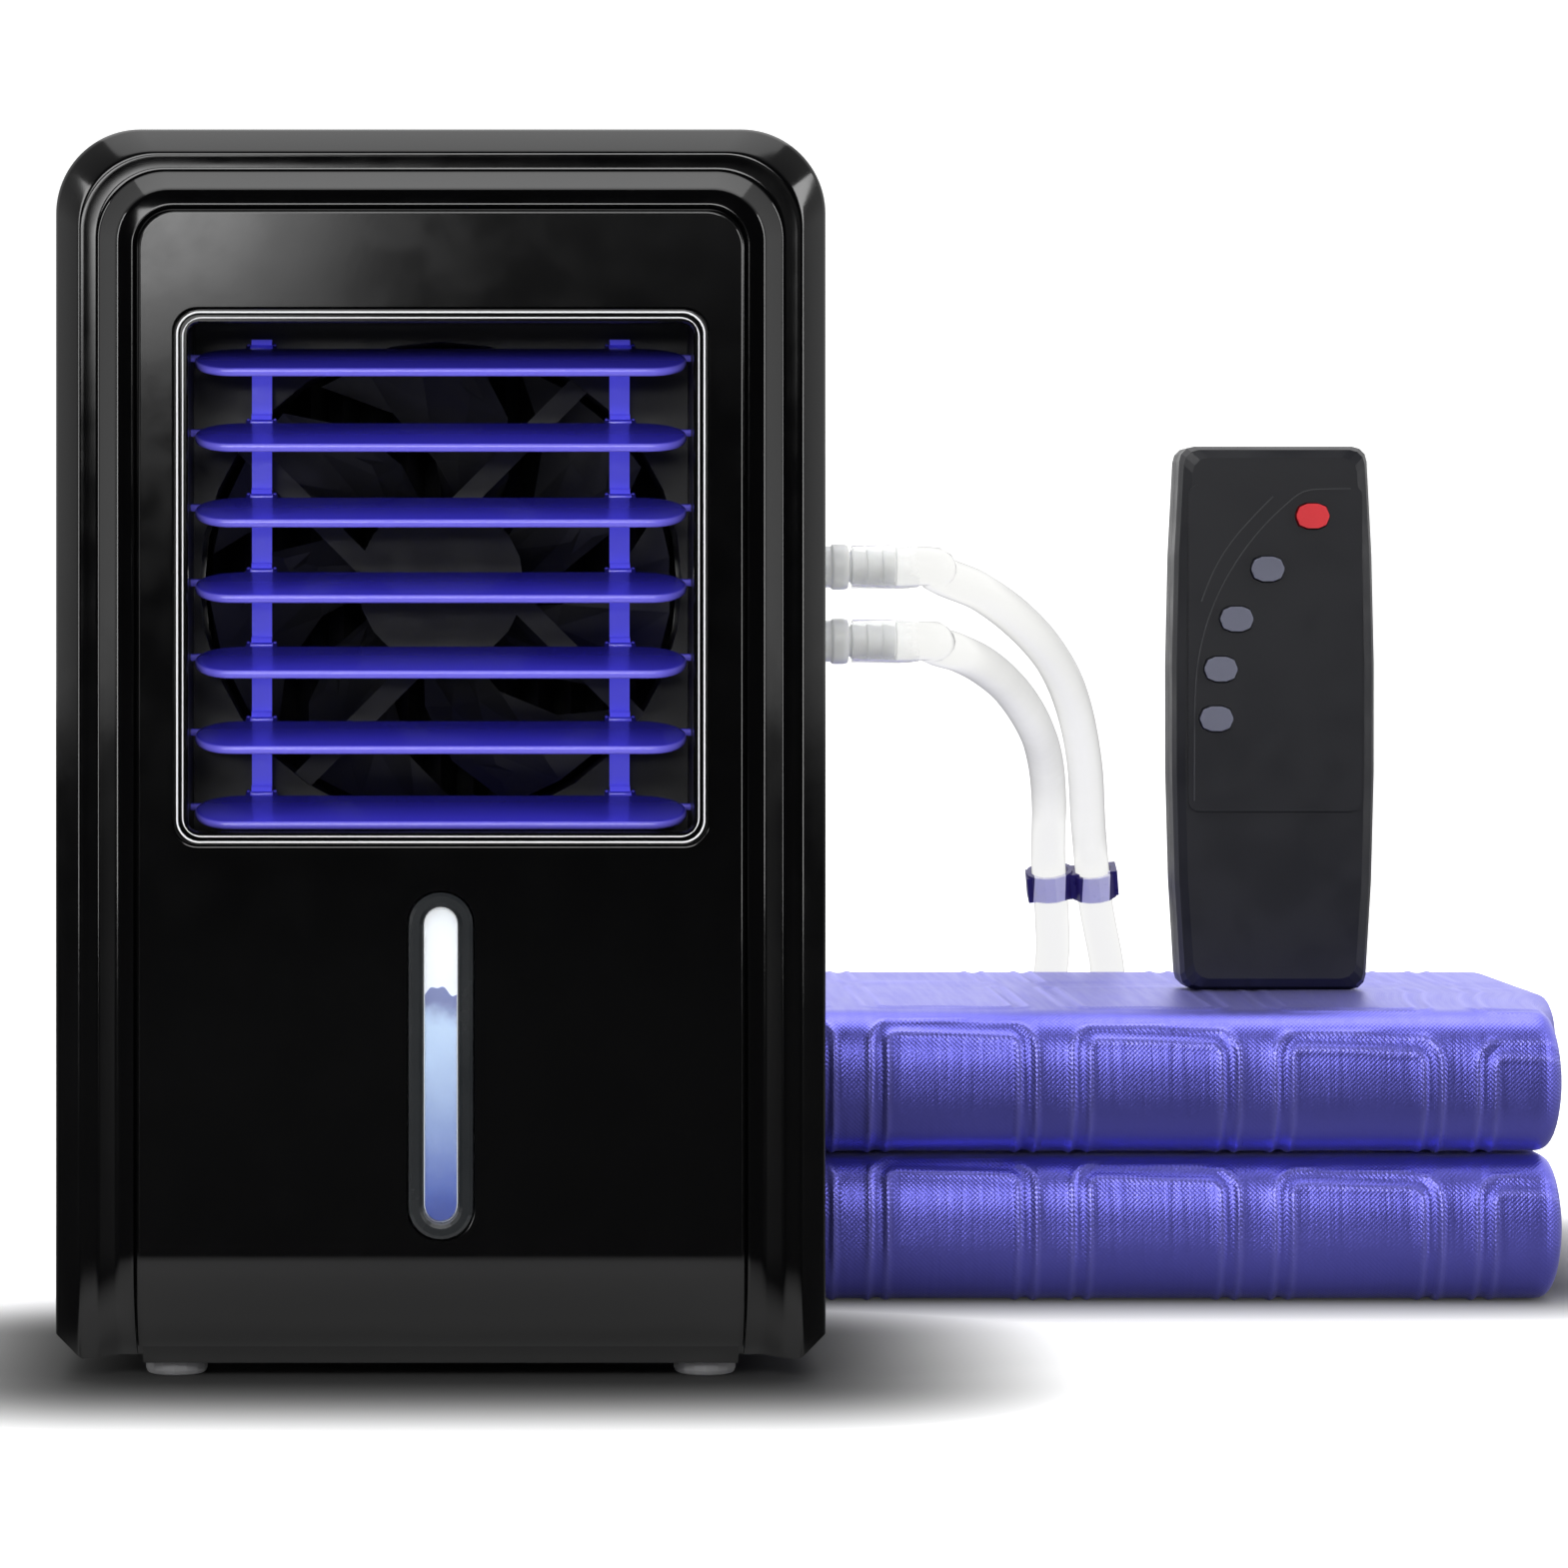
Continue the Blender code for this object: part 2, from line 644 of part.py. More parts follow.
def make_front_panel():
    """Flat glossy panel that curls back at its foot, with the window and gauge openings."""
    top = UNIT_TOP - PANEL_INSET
    heights = [FOOT_HEIGHT + FOOT_BEND_RISE * share for share in BEND_ROW_SHARES]
    front = [(foot_bend(height - FOOT_HEIGHT), height) for height in heights] + [(0.0, top)]
    back = [(depth + PANEL_THICKNESS, height) for depth, height in reversed(front)]
    panel = prism("front_panel", [front + back], "YZ", -PANEL_HALF, PANEL_HALF, "gloss_black")
    outline = [(-PANEL_HALF, -OVERRUN), (PANEL_HALF, -OVERRUN)]
    for step in range(7):
        angle = math.pi / 2 * step / 6
        outline.append((PANEL_HALF - PANEL_CORNER * (1 - math.cos(angle)),
                        top - PANEL_CORNER * (1 - math.sin(angle))))
    outline += [(-x, z) for x, z in reversed(outline[2:])]
    limit = prism("panel_outline", [outline], "XZ", -OVERRUN, BEZEL_DEPTH * 2)
    window = rounded(WINDOW_HALF + GAP, WINDOW_HEIGHT / 2 + GAP, WINDOW_CORNER + GAP,
                     centre=(0.0, WINDOW_CENTRE_Z))
    gauge = rounded(GAUGE_WIDTH / 2 + GAP, GAUGE_HEIGHT / 2 + GAP, GAUGE_WIDTH / 2 + GAP, steps=8,
                    centre=(0.0, GAUGE_CENTRE_Z))
    holes = [prism("panel_window", [window], "XZ", -OVERRUN, PANEL_THICKNESS + OVERRUN),
             prism("panel_gauge_hole", [gauge], "XZ", -OVERRUN, PANEL_THICKNESS + OVERRUN)]
    keep_inside(panel, limit)
    return cut(panel, *holes)


def ring(section, half_width, half_height, radius, centre, steps=5):
    """Skin a closed (inset, y) section round a rounded rectangle."""
    loops = []
    for inset, depth in section:
        outline = rounded(half_width - inset, half_height - inset, max(radius - inset, GAP), steps, centre)
        loops.append([Vector((x, depth, z)) for x, z in outline])
    return loft([list(station) for station in zip(*loops)], closed_path=True)


def make_window_trim():
    """Ring round the window with two bright beads and a valley between them."""
    bead_shares = ((0.0, 0.35), (0.12, 0.9), (0.26, 0.9), (0.40, 0.1), (0.60, 0.1), (0.72, 1.0), (0.88, 1.0),
                   (1.0, 0.3))
    section = [(across * TRIM_WIDTH, -proud * TRIM_PROUD) for across, proud in bead_shares]
    section += [(TRIM_WIDTH, PANEL_THICKNESS), (0.0, PANEL_THICKNESS)]
    form = ring(section, WINDOW_HALF, WINDOW_HEIGHT / 2, WINDOW_CORNER, (0.0, WINDOW_CENTRE_Z), 4)
    return solid("window_trim", form, "gloss_black")


def pivot_heights():
    """Heights of the louvre pivots, from the top blade down."""
    return [TOP_PIVOT_Z - BLADE_PITCH * index for index in range(BLADE_COUNT)]


def make_louver_frame():
    """Tunnel behind the window, with its front flange, the duct plate for the fan and the pivot holes."""
    half_height = TUNNEL_HEIGHT / 2
    outer_x = TUNNEL_HALF + TUNNEL_WALL
    outer_z = half_height + TUNNEL_WALL
    frame = solid("louver_frame", box((-outer_x, LEDGE_Y, TUNNEL_CENTRE_Z - outer_z),
                                      (outer_x, TUNNEL_BACK_Y, TUNNEL_CENTRE_Z + outer_z)), "satin_black")
    flange_x = TUNNEL_HALF + TUNNEL_FLANGE
    flange = solid("tunnel_flange", box(
        (-flange_x, LEDGE_Y, TUNNEL_CENTRE_Z - outer_z - TUNNEL_WALL),
        (flange_x, LEDGE_Y + TUNNEL_WALL, TUNNEL_CENTRE_Z + outer_z + TUNNEL_WALL)))
    inside = solid("tunnel_inside", box(
        (-TUNNEL_HALF, LEDGE_Y - OVERRUN, TUNNEL_CENTRE_Z - half_height),
        (TUNNEL_HALF, TUNNEL_BACK_Y - TUNNEL_WALL, TUNNEL_CENTRE_Z + half_height)))
    duct = solid("duct_hole", rod((0.0, TUNNEL_BACK_Y - TUNNEL_WALL - OVERRUN, FAN_CENTRE_Z),
                                  (0.0, TUNNEL_BACK_Y + OVERRUN, FAN_CENTRE_Z), FAN_BORE_RADIUS, 32))
    reach = outer_x + OVERRUN
    holes = []
    for side in (-1, 1):
        for height in pivot_heights():
            holes.append(rod((side * (TUNNEL_HALF - OVERRUN), BLADE_PIVOT_Y, height),
                             (side * reach, BLADE_PIVOT_Y, height), PIVOT_RADIUS + GAP, 8))
    join(frame, flange)
    return cut(frame, inside, duct, solid("pivot_holes", gather(*holes)))


def make_louver_blade(number, height):
    """One violet blade with elliptical ends, its pivot pins and the two eared pins for the link bars."""
    pivot = Vector((0.0, BLADE_PIVOT_Y, height))
    lead = BLADE_PIVOT_Y - BLADE_LEAD
    trail = lead + BLADE_CHORD
    half = BLADE_LENGTH / 2
    round_share = 0.42
    reach = BLADE_CHORD * round_share
    middle = (lead + trail) / 2
    ends = []
    for step in range(7):
        angle = -math.pi / 2 + math.pi * step / 6
        ends.append((half - reach + reach * math.cos(angle) ** 0.8, middle + BLADE_CHORD / 2 * math.sin(angle)))
    outline = ends + [(-x, y) for x, y in reversed(ends)]
    blade = prism(f"louver_blade_{number}", [outline], "XY", height - BLADE_THICKNESS / 2,
                  height + BLADE_THICKNESS / 2, "violet", pivot)
    pin_end = TUNNEL_HALF + PIVOT_REACH
    rods = [rod((side * (half - reach / 2), BLADE_PIVOT_Y, height), (side * pin_end, BLADE_PIVOT_Y, height),
                PIVOT_RADIUS, 8) for side in (-1, 1)]
    pin_y = BLADE_PIVOT_Y + LINK_ARM
    ears = []
    pins = []
    for side in (-1, 1):
        centre = side * LINK_OFFSET_X
        pin_half = LINK_WIDTH / 2 + GAP + EAR_THICKNESS / 2
        pins.append(rod((centre - pin_half, pin_y, height), (centre + pin_half, pin_y, height), LINK_PIN_RADIUS, 8))
        for edge in (-1, 1):
            inner = LINK_WIDTH / 2 + GAP
            low = centre + edge * (inner + EAR_THICKNESS / 2) - EAR_THICKNESS / 2
            ears.append(box((low, trail - EAR_THICKNESS, height - LINK_PIN_RADIUS * 1.25),
                            (low + EAR_THICKNESS, pin_y + LINK_PIN_RADIUS * 1.2, height + LINK_PIN_RADIUS * 1.2)))
    tools = [solid(f"{label}_{number}", gather(*forms), origin=pivot)
             for label, forms in (("blade_pivots", rods), ("link_ears", ears), ("link_pins", pins))]
    join(blade, *tools)
    blade.rotation_euler.x = BLADE_TILT
    for tool in tools:
        tool.rotation_euler.x = BLADE_TILT
    return blade


def link_pin(height):
    """Where a blade's link pin lies at rest."""
    return (BLADE_PIVOT_Y + LINK_ARM * math.cos(BLADE_TILT), height + LINK_ARM * math.sin(BLADE_TILT))


def make_louver_link(label, side):
    """Bar with a split hook round each blade's link pin; it stays upright as the blades tilt."""
    centre = side * LINK_OFFSET_X
    heights = pivot_heights()
    pin_y, top_z = link_pin(heights[0])
    low_z = link_pin(heights[-1])[1]
    origin = Vector((centre, *link_pin(heights[BLADE_COUNT // 2])))
    hook_radius = LINK_PIN_RADIUS + GAP + HOOK_WALL
    half = LINK_WIDTH / 2
    bar = solid(f"louver_link_{label}", box(
        (centre - half, pin_y + LINK_BACKSET, low_z - hook_radius),
        (centre + half, pin_y + LINK_BACKSET + LINK_THICKNESS, top_z + hook_radius)), "violet", origin)
    hooks = []
    bores = []
    mouths = []
    for height in heights:
        hook_y, hook_z = link_pin(height)
        hooks.append(rod((centre - half, hook_y, hook_z), (centre + half, hook_y, hook_z), hook_radius, 10))
        bores.append(rod((centre - half - OVERRUN, hook_y, hook_z), (centre + half + OVERRUN, hook_y, hook_z),
                         LINK_PIN_RADIUS + GAP, 8))
        mouths.append(box((centre - half - OVERRUN, hook_y - OVERRUN, hook_z - LINK_PIN_RADIUS * 0.8),
                          (centre + half + OVERRUN, hook_y, hook_z + LINK_PIN_RADIUS * 0.8)))
    join(bar, solid(f"hooks_{label}", gather(*hooks)))
    return cut(bar, solid(f"hook_bores_{label}", gather(*bores)), solid(f"hook_mouths_{label}", gather(*mouths)))


def make_fan_frame():
    """Square fan frame: two plates joined by the duct, with the motor cup on swept struts at the outlet side."""
    half = FAN_SIZE / 2
    back_y = FAN_FRONT_Y + FAN_DEPTH
    middle = Vector((0.0, FAN_FRONT_Y, FAN_CENTRE_Z))
    plate = rounded(half, half, FAN_SCREW_INSET, 3, (0.0, FAN_CENTRE_Z))
    screws = [circle(FAN_SCREW_RADIUS, 6, (side * (half - FAN_SCREW_INSET), FAN_CENTRE_Z + rise * (half - FAN_SCREW_INSET)))
              for side in (-1, 1) for rise in (-1, 1)]
    frame = prism("fan_frame", [plate, *screws], "XZ", FAN_FRONT_Y, FAN_FRONT_Y + FAN_PLATE, "satin_black")
    rear = prism("fan_rear_plate", [plate, *screws], "XZ", back_y - FAN_PLATE, back_y)
    duct = solid("fan_duct", rod(middle + Vector((0.0, FAN_PLATE / 2, 0.0)),
                                 (0.0, back_y - FAN_PLATE / 2, FAN_CENTRE_Z),
                                 (FAN_BORE_RADIUS + half) / 2 + FAN_PLATE / 4, 32))
    bore = solid("fan_bore", rod(middle - Vector((0.0, OVERRUN, 0.0)), (0.0, back_y + OVERRUN, FAN_CENTRE_Z),
                                 FAN_BORE_RADIUS, 32))
    cup = solid("motor_cup", rod(middle + Vector((0.0, GAP, 0.0)), middle + Vector((0.0, CUP_THICKNESS, 0.0)),
                                 CUP_RADIUS, 20))
    struts = []
    for index in range(4):
        turn = math.tau * (index + 0.5) / 4
        strut = box((CUP_RADIUS * 0.8, FAN_FRONT_Y + GAP, -STRUT_WIDTH / 2),
                    (FAN_BORE_RADIUS + FAN_PLATE / 4, FAN_FRONT_Y + CUP_THICKNESS * 0.9, STRUT_WIDTH / 2))
        sweep = Matrix.Translation((0.0, 0.0, CUP_RADIUS * 0.5))
        place = Matrix.Translation((0.0, 0.0, FAN_CENTRE_Z)) @ Matrix.Rotation(turn, 4, "Y") @ sweep
        bmesh.ops.transform(strut, matrix=place, verts=strut.verts)
        struts.append(strut)
    join(frame, rear, duct)
    cut(frame, bore)
    return join(frame, cup, solid("motor_struts", gather(*struts)))


def make_fan_motor():
    """Motor bush on the cup, bored for the rotor's shaft."""
    front = FAN_FRONT_Y + CUP_THICKNESS + GAP
    bore = SHAFT_RADIUS + GAP
    profile = [(bore, MOTOR_LENGTH), (MOTOR_RADIUS * 0.9, MOTOR_LENGTH), (MOTOR_RADIUS, MOTOR_LENGTH * 0.93),
               (MOTOR_RADIUS, 0.0), (bore, 0.0)]
    return turned("fan_motor", profile, (0, 1, 0), (0.0, front, FAN_CENTRE_Z), "steel", closed=True)


def rotor_blade(index):
    """One swept, twisted fan blade as a thick grid from the hub wall to the tip."""
    radius_shares = (0.0, 0.3, 0.65, 1.0)
    chord_shares = (0.0, 0.35, 0.7, 1.0)
    front = FAN_FRONT_Y + CUP_THICKNESS + MOTOR_LENGTH * 0.12
    depth = FAN_DEPTH * 0.58
    root = HUB_RADIUS - HUB_WALL / 2
    outer = []
    inner = []
    for share in radius_shares:
        radius = root + (ROTOR_RADIUS - root) * share
        width = math.radians(34.0 + 6.0 * share)
        start = math.tau * index / ROTOR_BLADES + math.radians(30.0) * share ** 1.4
        rise = depth * (1 - 0.3 * share)
        for cross in chord_shares:
            angle = start + width * cross
            height = front + (depth - rise) / 2 + rise * (cross + 0.12 * math.sin(math.pi * cross))
            thick = ROTOR_BLADE_THICKNESS * (0.45 + 0.55 * math.sin(math.pi * cross))
            for store, offset in ((outer, thick / 2), (inner, -thick / 2)):
                store.append(Vector((radius * math.cos(angle), height + offset, FAN_CENTRE_Z + radius * math.sin(angle))))
    count = len(chord_shares)
    sections = []
    for row in range(len(radius_shares)):
        top = outer[row * count:(row + 1) * count]
        under = inner[row * count:(row + 1) * count]
        sections.append(top + under[::-1])
    return loft(sections)


def make_fan_rotor():
    """Hub cup, closed at the intake side, with its shaft and swept blades; it turns about the shaft."""
    front = FAN_FRONT_Y + CUP_THICKNESS + RUNNING_GAP + GAP
    back = FAN_FRONT_Y + FAN_DEPTH - FAN_PLATE
    length = back - front
    origin = (0.0, front, FAN_CENTRE_Z)
    inner = HUB_RADIUS - HUB_WALL
    profile = [(0.0, length), (HUB_RADIUS * 0.9, length), (HUB_RADIUS, length - HUB_WALL), (HUB_RADIUS, 0.0),
               (inner, 0.0), (inner, length - HUB_WALL), (SHAFT_RADIUS, length - HUB_WALL),
               (SHAFT_RADIUS, RUNNING_GAP), (0.0, RUNNING_GAP)]
    rotor = turned("fan_rotor", profile, (0, 1, 0), origin, "smoke_grey", sides=24)
    for index in range(ROTOR_BLADES):
        join(rotor, solid(f"rotor_blade_{index + 1}", rotor_blade(index)))
    return rotor


def make_evaporative_wick():
    """Pleated sheet that stands in the tank behind the fan."""
    half = WICK_WIDTH / 2
    slack = WICK_SHEET * 1.3
    front = []
    for index in range(2 * PLEAT_COUNT + 1):
        y = WICK_FRONT_Y + (WICK_DEPTH - slack) * (index % 2)
        front.append((-half + WICK_WIDTH * index / (2 * PLEAT_COUNT), y))
    back = [(x, y + slack) for x, y in reversed(front)]
    return prism("evaporative_wick", [front + back], "XY", TANK_FLOOR + GAP, WICK_TOP, "paper")


def make_water_tank():
    """Open tank in the foot of the cabinet, with sump corners rounded."""
    half = TANK_WIDTH / 2
    middle = (0.0, TANK_FRONT_Y + TANK_DEPTH / 2)
    outer = rounded(half, TANK_DEPTH / 2, TANK_WALL * 3, 3, middle)
    inner = rounded(half - TANK_WALL, TANK_DEPTH / 2 - TANK_WALL, TANK_WALL * 2, 3, middle)
    tank = prism("water_tank", [outer], "XY", TANK_BOTTOM, TANK_TOP, "clear")
    return cut(tank, prism("tank_hollow", [inner], "XY", TANK_FLOOR, TANK_TOP + OVERRUN))


def make_gauge_bezel():
    """Obround rim round the gauge slot, with a sleeve back to the tank."""
    half = GAUGE_WIDTH / 2
    slot = GAUGE_SLOT_WIDTH / 2
    width = half - slot
    sleeve = width - GAUGE_SLEEVE_WALL
    back = TANK_FRONT_Y - GAP
    section = [(0.0, -GAUGE_PROUD * 0.3), (width * 0.25, -GAUGE_PROUD), (width * 0.75, -GAUGE_PROUD),
               (width, GAUGE_PROUD * 0.3), (width, back), (sleeve, back), (sleeve, PANEL_THICKNESS), (0.0, PANEL_THICKNESS)]
    form = ring(section, half, GAUGE_HEIGHT / 2, half, (0.0, GAUGE_CENTRE_Z), 6)
    return solid("gauge_bezel", form, "smoke_grey")


def make_gauge_lens():
    """Clear window that fills the gauge slot."""
    half = GAUGE_SLOT_WIDTH / 2 - GAP
    outline = rounded(half, GAUGE_SLOT_HEIGHT / 2 - GAP, half, 6, (0.0, GAUGE_CENTRE_Z))
    lens = prism("gauge_lens", [outline], "XZ", LENS_SETBACK, LENS_SETBACK + LENS_THICKNESS, "clear")
    return lens


def cabinet_outline(inset):
    """Closed cabinet outline (x, z) at an inset, with round top corners and chamfered lower corners."""
    half = HALF_WIDTH - inset
    top = UNIT_TOP - inset
    foot = FOOT_HEIGHT + inset
    radius = CORNER_RADIUS - inset
    narrow = half - CHAMFER_WIDTH + inset * (math.sqrt(2) - 1)
    points = [(narrow, foot), (half, foot + CHAMFER_HEIGHT - inset * (math.sqrt(2) - 1))]
    for step in range(7):
        angle = math.pi / 2 * step / 6
        points.append((half - radius * (1 - math.cos(angle)), top - radius * (1 - math.sin(angle))))
    return points + [(-x, z) for x, z in reversed(points)]


def lid_axis():
    """Where the filler lid's hinge pins lie: (y, z), and how far back its rear edge swings."""
    lid_back = FILLER_FRONT_Y + FILLER_LENGTH
    height = UNIT_TOP - GAP - LID_THICKNESS / 2
    sweep = math.hypot(LID_HINGE_INSET, LID_THICKNESS / 2)
    return lid_back - LID_HINGE_INSET, height, sweep


def make_main_housing():
    """Sides, roof and floor in one ring, with the port holes, the filler collar and the board's bosses."""
    housing = prism("main_housing", [cabinet_outline(0.0), cabinet_outline(HOUSING_WALL)], "XZ",
                    HOUSING_FRONT_Y, HOUSING_BACK_Y, "gloss_black")
    hinge_y, hinge_z, sweep = lid_axis()
    half = FILLER_WIDTH / 2
    collar_low = UNIT_TOP - FILLER_COLLAR
    back_y = hinge_y + sweep + GAP
    collar = solid("filler_collar", box(
        (-half - FILLER_COLLAR_WALL, FILLER_FRONT_Y - FILLER_COLLAR_WALL, collar_low),
        (half + FILLER_COLLAR_WALL, back_y + FILLER_COLLAR_WALL, UNIT_TOP - GAP)))
    mouth = solid("filler_mouth", box((-half, FILLER_FRONT_Y, collar_low - OVERRUN),
                                      (half, back_y, UNIT_TOP + OVERRUN)))
    reach = half + LID_PIN_REACH + GAP
    hinge = solid("lid_pin_holes", rod((-reach, hinge_y, hinge_z), (reach, hinge_y, hinge_z),
                                       LID_PIN_RADIUS + GAP, 10))
    front_reach = LEDGE_Y + BEZEL_WALL * 2 + foot_bend(0.0)
    relief_x = HALF_WIDTH - CHAMFER_WIDTH
    relief = solid("bezel_relief", box((-relief_x, HOUSING_FRONT_Y - OVERRUN, FOOT_HEIGHT - OVERRUN),
                                       (relief_x, front_reach - GAP, FLOOR_TOP + GAP)))
    bosses = []
    board_top = ROOF_UNDER - BOARD_DROP + GAP
    inset = BOSS_RADIUS * 2
    for x in (-1, 1):
        for y in (BOARD_FRONT_Y + inset, BOARD_FRONT_Y + BOARD_DEPTH - inset):
            bosses.append(rod((x * (BOARD_WIDTH / 2 - inset), y, board_top),
                              (x * (BOARD_WIDTH / 2 - inset), y, ROOF_UNDER + HOUSING_WALL / 2), BOSS_RADIUS, 10))
    ports = [rod((HALF_WIDTH - HOUSING_WALL - OVERRUN, PORT_Y, height), (HALF_WIDTH + OVERRUN, PORT_Y, height),
                 PORT_NECK_RADIUS + GAP, 20) for height in (SUPPLY_PORT_Z, RETURN_PORT_Z)]
    join(housing, collar, solid("board_bosses", gather(*bosses)))
    return cut(housing, mouth, hinge, relief, solid("port_holes", gather(*ports)))


def make_filler_lid():
    """Flush lid over the filler, hinged on two short pins near its rear edge."""
    hinge_y, hinge_z, _ = lid_axis()
    half = FILLER_WIDTH / 2 - GAP
    origin = Vector((0.0, hinge_y, hinge_z))
    lid = solid("filler_lid", box((-half, FILLER_FRONT_Y + GAP, hinge_z - LID_THICKNESS / 2),
                                  (half, hinge_y + LID_HINGE_INSET, hinge_z + LID_THICKNESS / 2)), "gloss_black", origin)
    reach = FILLER_WIDTH / 2 + LID_PIN_REACH
    pin = solid("lid_pins", rod((-reach, hinge_y, hinge_z), (reach, hinge_y, hinge_z), LID_PIN_RADIUS, 10))
    grip = solid("lid_grip", rod((-half / 3, FILLER_FRONT_Y + GAP, hinge_z + LID_THICKNESS / 2),
                                 (half / 3, FILLER_FRONT_Y + GAP, hinge_z + LID_THICKNESS / 2), LID_THICKNESS / 2, 12))
    join(lid, pin)
    return cut(lid, grip)


def make_rear_cover():
    """Rear shell with a bevelled back edge and two columns of intake slots."""
    step_shares = ((0.0, 0.0), (0.0, 0.72), (0.35, 0.9), (1.0, 1.0))
    front = HOUSING_BACK_Y + GAP
    depth = UNIT_DEPTH - front
    form = bmesh.new()
    rings = []
    for inset, along in step_shares:
        rings.append([form.verts.new((x, front + along * depth, z))
                      for x, z in cabinet_outline(inset * REAR_BEVEL)])
    for near, far in zip(rings, rings[1:]):
        for index in range(len(near)):
            after = (index + 1) % len(near)
            form.faces.new((near[index], near[after], far[after], far[index]))
    form.faces.new(rings[-1])
    cover = solid("rear_cover", form, "satin_black")
    shell = cover.modifiers.new("Wall", "SOLIDIFY")
    shell.thickness = HOUSING_WALL
    shell.offset = -1.0
    shell.use_even_offset = True
    slots = []
    for side in (-1, 1):
        near = SLOT_GAP_X / 2
        far = near + SLOT_WIDTH
        low_x, high_x = (near, far) if side > 0 else (-far, -near)
        for index in range(SLOT_COUNT):
            height = SLOT_FIRST_Z + SLOT_PITCH * index
            slots.append(box((low_x, UNIT_DEPTH - HOUSING_WALL - OVERRUN, height - SLOT_HEIGHT / 2),
                             (high_x, UNIT_DEPTH + OVERRUN, height + SLOT_HEIGHT / 2)))
    hole = rod((INLET_X, UNIT_DEPTH - HOUSING_WALL - OVERRUN, INLET_Z), (INLET_X, UNIT_DEPTH + OVERRUN, INLET_Z),
               INLET_RADIUS + GAP, 20)
    return cut(cover, solid("intake_slots", gather(*slots)), solid("inlet_hole", hole))


def make_dc_inlet():
    """Round power socket in the rear cover, with its contact pin."""
    face = INLET_FLANGE
    bore = INLET_RADIUS * 0.6
    floor = -INLET_DEPTH * 0.7
    profile = [(0.0, 0.0), (INLET_PIN_RADIUS, 0.0), (INLET_PIN_RADIUS, floor), (bore, floor), (bore, face),
               (INLET_RADIUS + INLET_FLANGE, face), (INLET_RADIUS + INLET_FLANGE, 0.0), (INLET_RADIUS, 0.0),
               (INLET_RADIUS, -INLET_DEPTH), (0.0, -INLET_DEPTH)]
    return turned("dc_inlet", profile, (0, 1, 0), (INLET_X, UNIT_DEPTH + GAP, INLET_Z), "satin_black", sides=14)


def pump_centre():
    """Middle of the pump in plan, and its outlet height."""
    return (PUMP_LEFT_X + PUMP_SIZE.x / 2, PUMP_FRONT_Y + PUMP_SIZE.y / 2, TANK_FLOOR + GAP + PUMP_SIZE.z * 0.65)


def make_pump_body():
    """Submersible pump: case with the impeller recess in front and a spigot to its side."""
    centre_x, centre_y, outlet_z = pump_centre()
    low = Vector((PUMP_LEFT_X, PUMP_FRONT_Y, TANK_FLOOR + GAP))
    body = solid("pump_body", box(low, low + PUMP_SIZE), "satin_black")
    soften(body, PUMP_SPIGOT / 3, segments=1)
    side = PUMP_LEFT_X + PUMP_SIZE.x
    spigot = solid("pump_spigot", rod((side - PUMP_SPIGOT, PUMP_FRONT_Y + PUMP_SIZE.y * 0.6, outlet_z),
                                      (TUBE_RISE_X - TUBE_RADIUS - GAP, PUMP_FRONT_Y + PUMP_SIZE.y * 0.6, outlet_z),
                                      TUBE_RADIUS, 14))
    front = Vector((centre_x, PUMP_FRONT_Y, low.z + PUMP_SIZE.z / 2))
    recess = solid("pump_recess", rod(front - Vector((0.0, OVERRUN, 0.0)),
                                      front + Vector((0.0, PUMP_RECESS_DEPTH, 0.0)), PUMP_RECESS_RADIUS, 24))
    shaft = solid("pump_shaft", rod(front + Vector((0.0, PUMP_RECESS_DEPTH * 0.3, 0.0)),
                                    front + Vector((0.0, PUMP_RECESS_DEPTH + SHAFT_RADIUS, 0.0)), SHAFT_RADIUS, 12))
    join(body, spigot)
    cut(body, recess)
    return join(body, shaft)


def make_pump_impeller():
    """Six-vane impeller, bored for the pump's fixed shaft."""
    centre_x, _, _ = pump_centre()
    height = TANK_FLOOR + GAP + PUMP_SIZE.z / 2
    front = PUMP_FRONT_Y + PUMP_RECESS_DEPTH - GAP - IMPELLER_DEPTH
    origin = Vector((centre_x, front, height))
    bore = SHAFT_RADIUS + GAP
    hub = bore + HOOK_WALL
    disc = IMPELLER_DEPTH * 0.3
    profile = [(bore, IMPELLER_DEPTH), (IMPELLER_RADIUS, IMPELLER_DEPTH), (IMPELLER_RADIUS, IMPELLER_DEPTH - disc),
               (hub, IMPELLER_DEPTH - disc), (hub, 0.0), (bore, 0.0)]
    impeller = turned("pump_impeller", profile, (0, 1, 0), origin, "milky", sides=16, closed=True)
    vanes = []
    for index in range(IMPELLER_VANES):
        vane = box((hub - GAP, 0.0, -IMPELLER_VANE_THICKNESS / 2),
                   (IMPELLER_RADIUS * 0.95, IMPELLER_DEPTH - disc / 2, IMPELLER_VANE_THICKNESS / 2))
        place = Matrix.Translation(origin) @ Matrix.Rotation(math.tau * index / IMPELLER_VANES, 4, "Y")
        bmesh.ops.transform(vane, matrix=place, verts=vane.verts)
        vanes.append(vane)
    return join(impeller, solid("impeller_vanes", gather(*vanes)))


def port_start():
    """Where a port's inner nipple begins, along X."""
    return HALF_WIDTH - HOUSING_WALL - GAP - PORT_NUT_LENGTH - PORT_NIPPLE_LENGTH


def port_tip():
    """Where a port's barb ends, along X."""
    return HALF_WIDTH + PORT_COLLAR_LENGTH + PORT_BARB_LENGTH


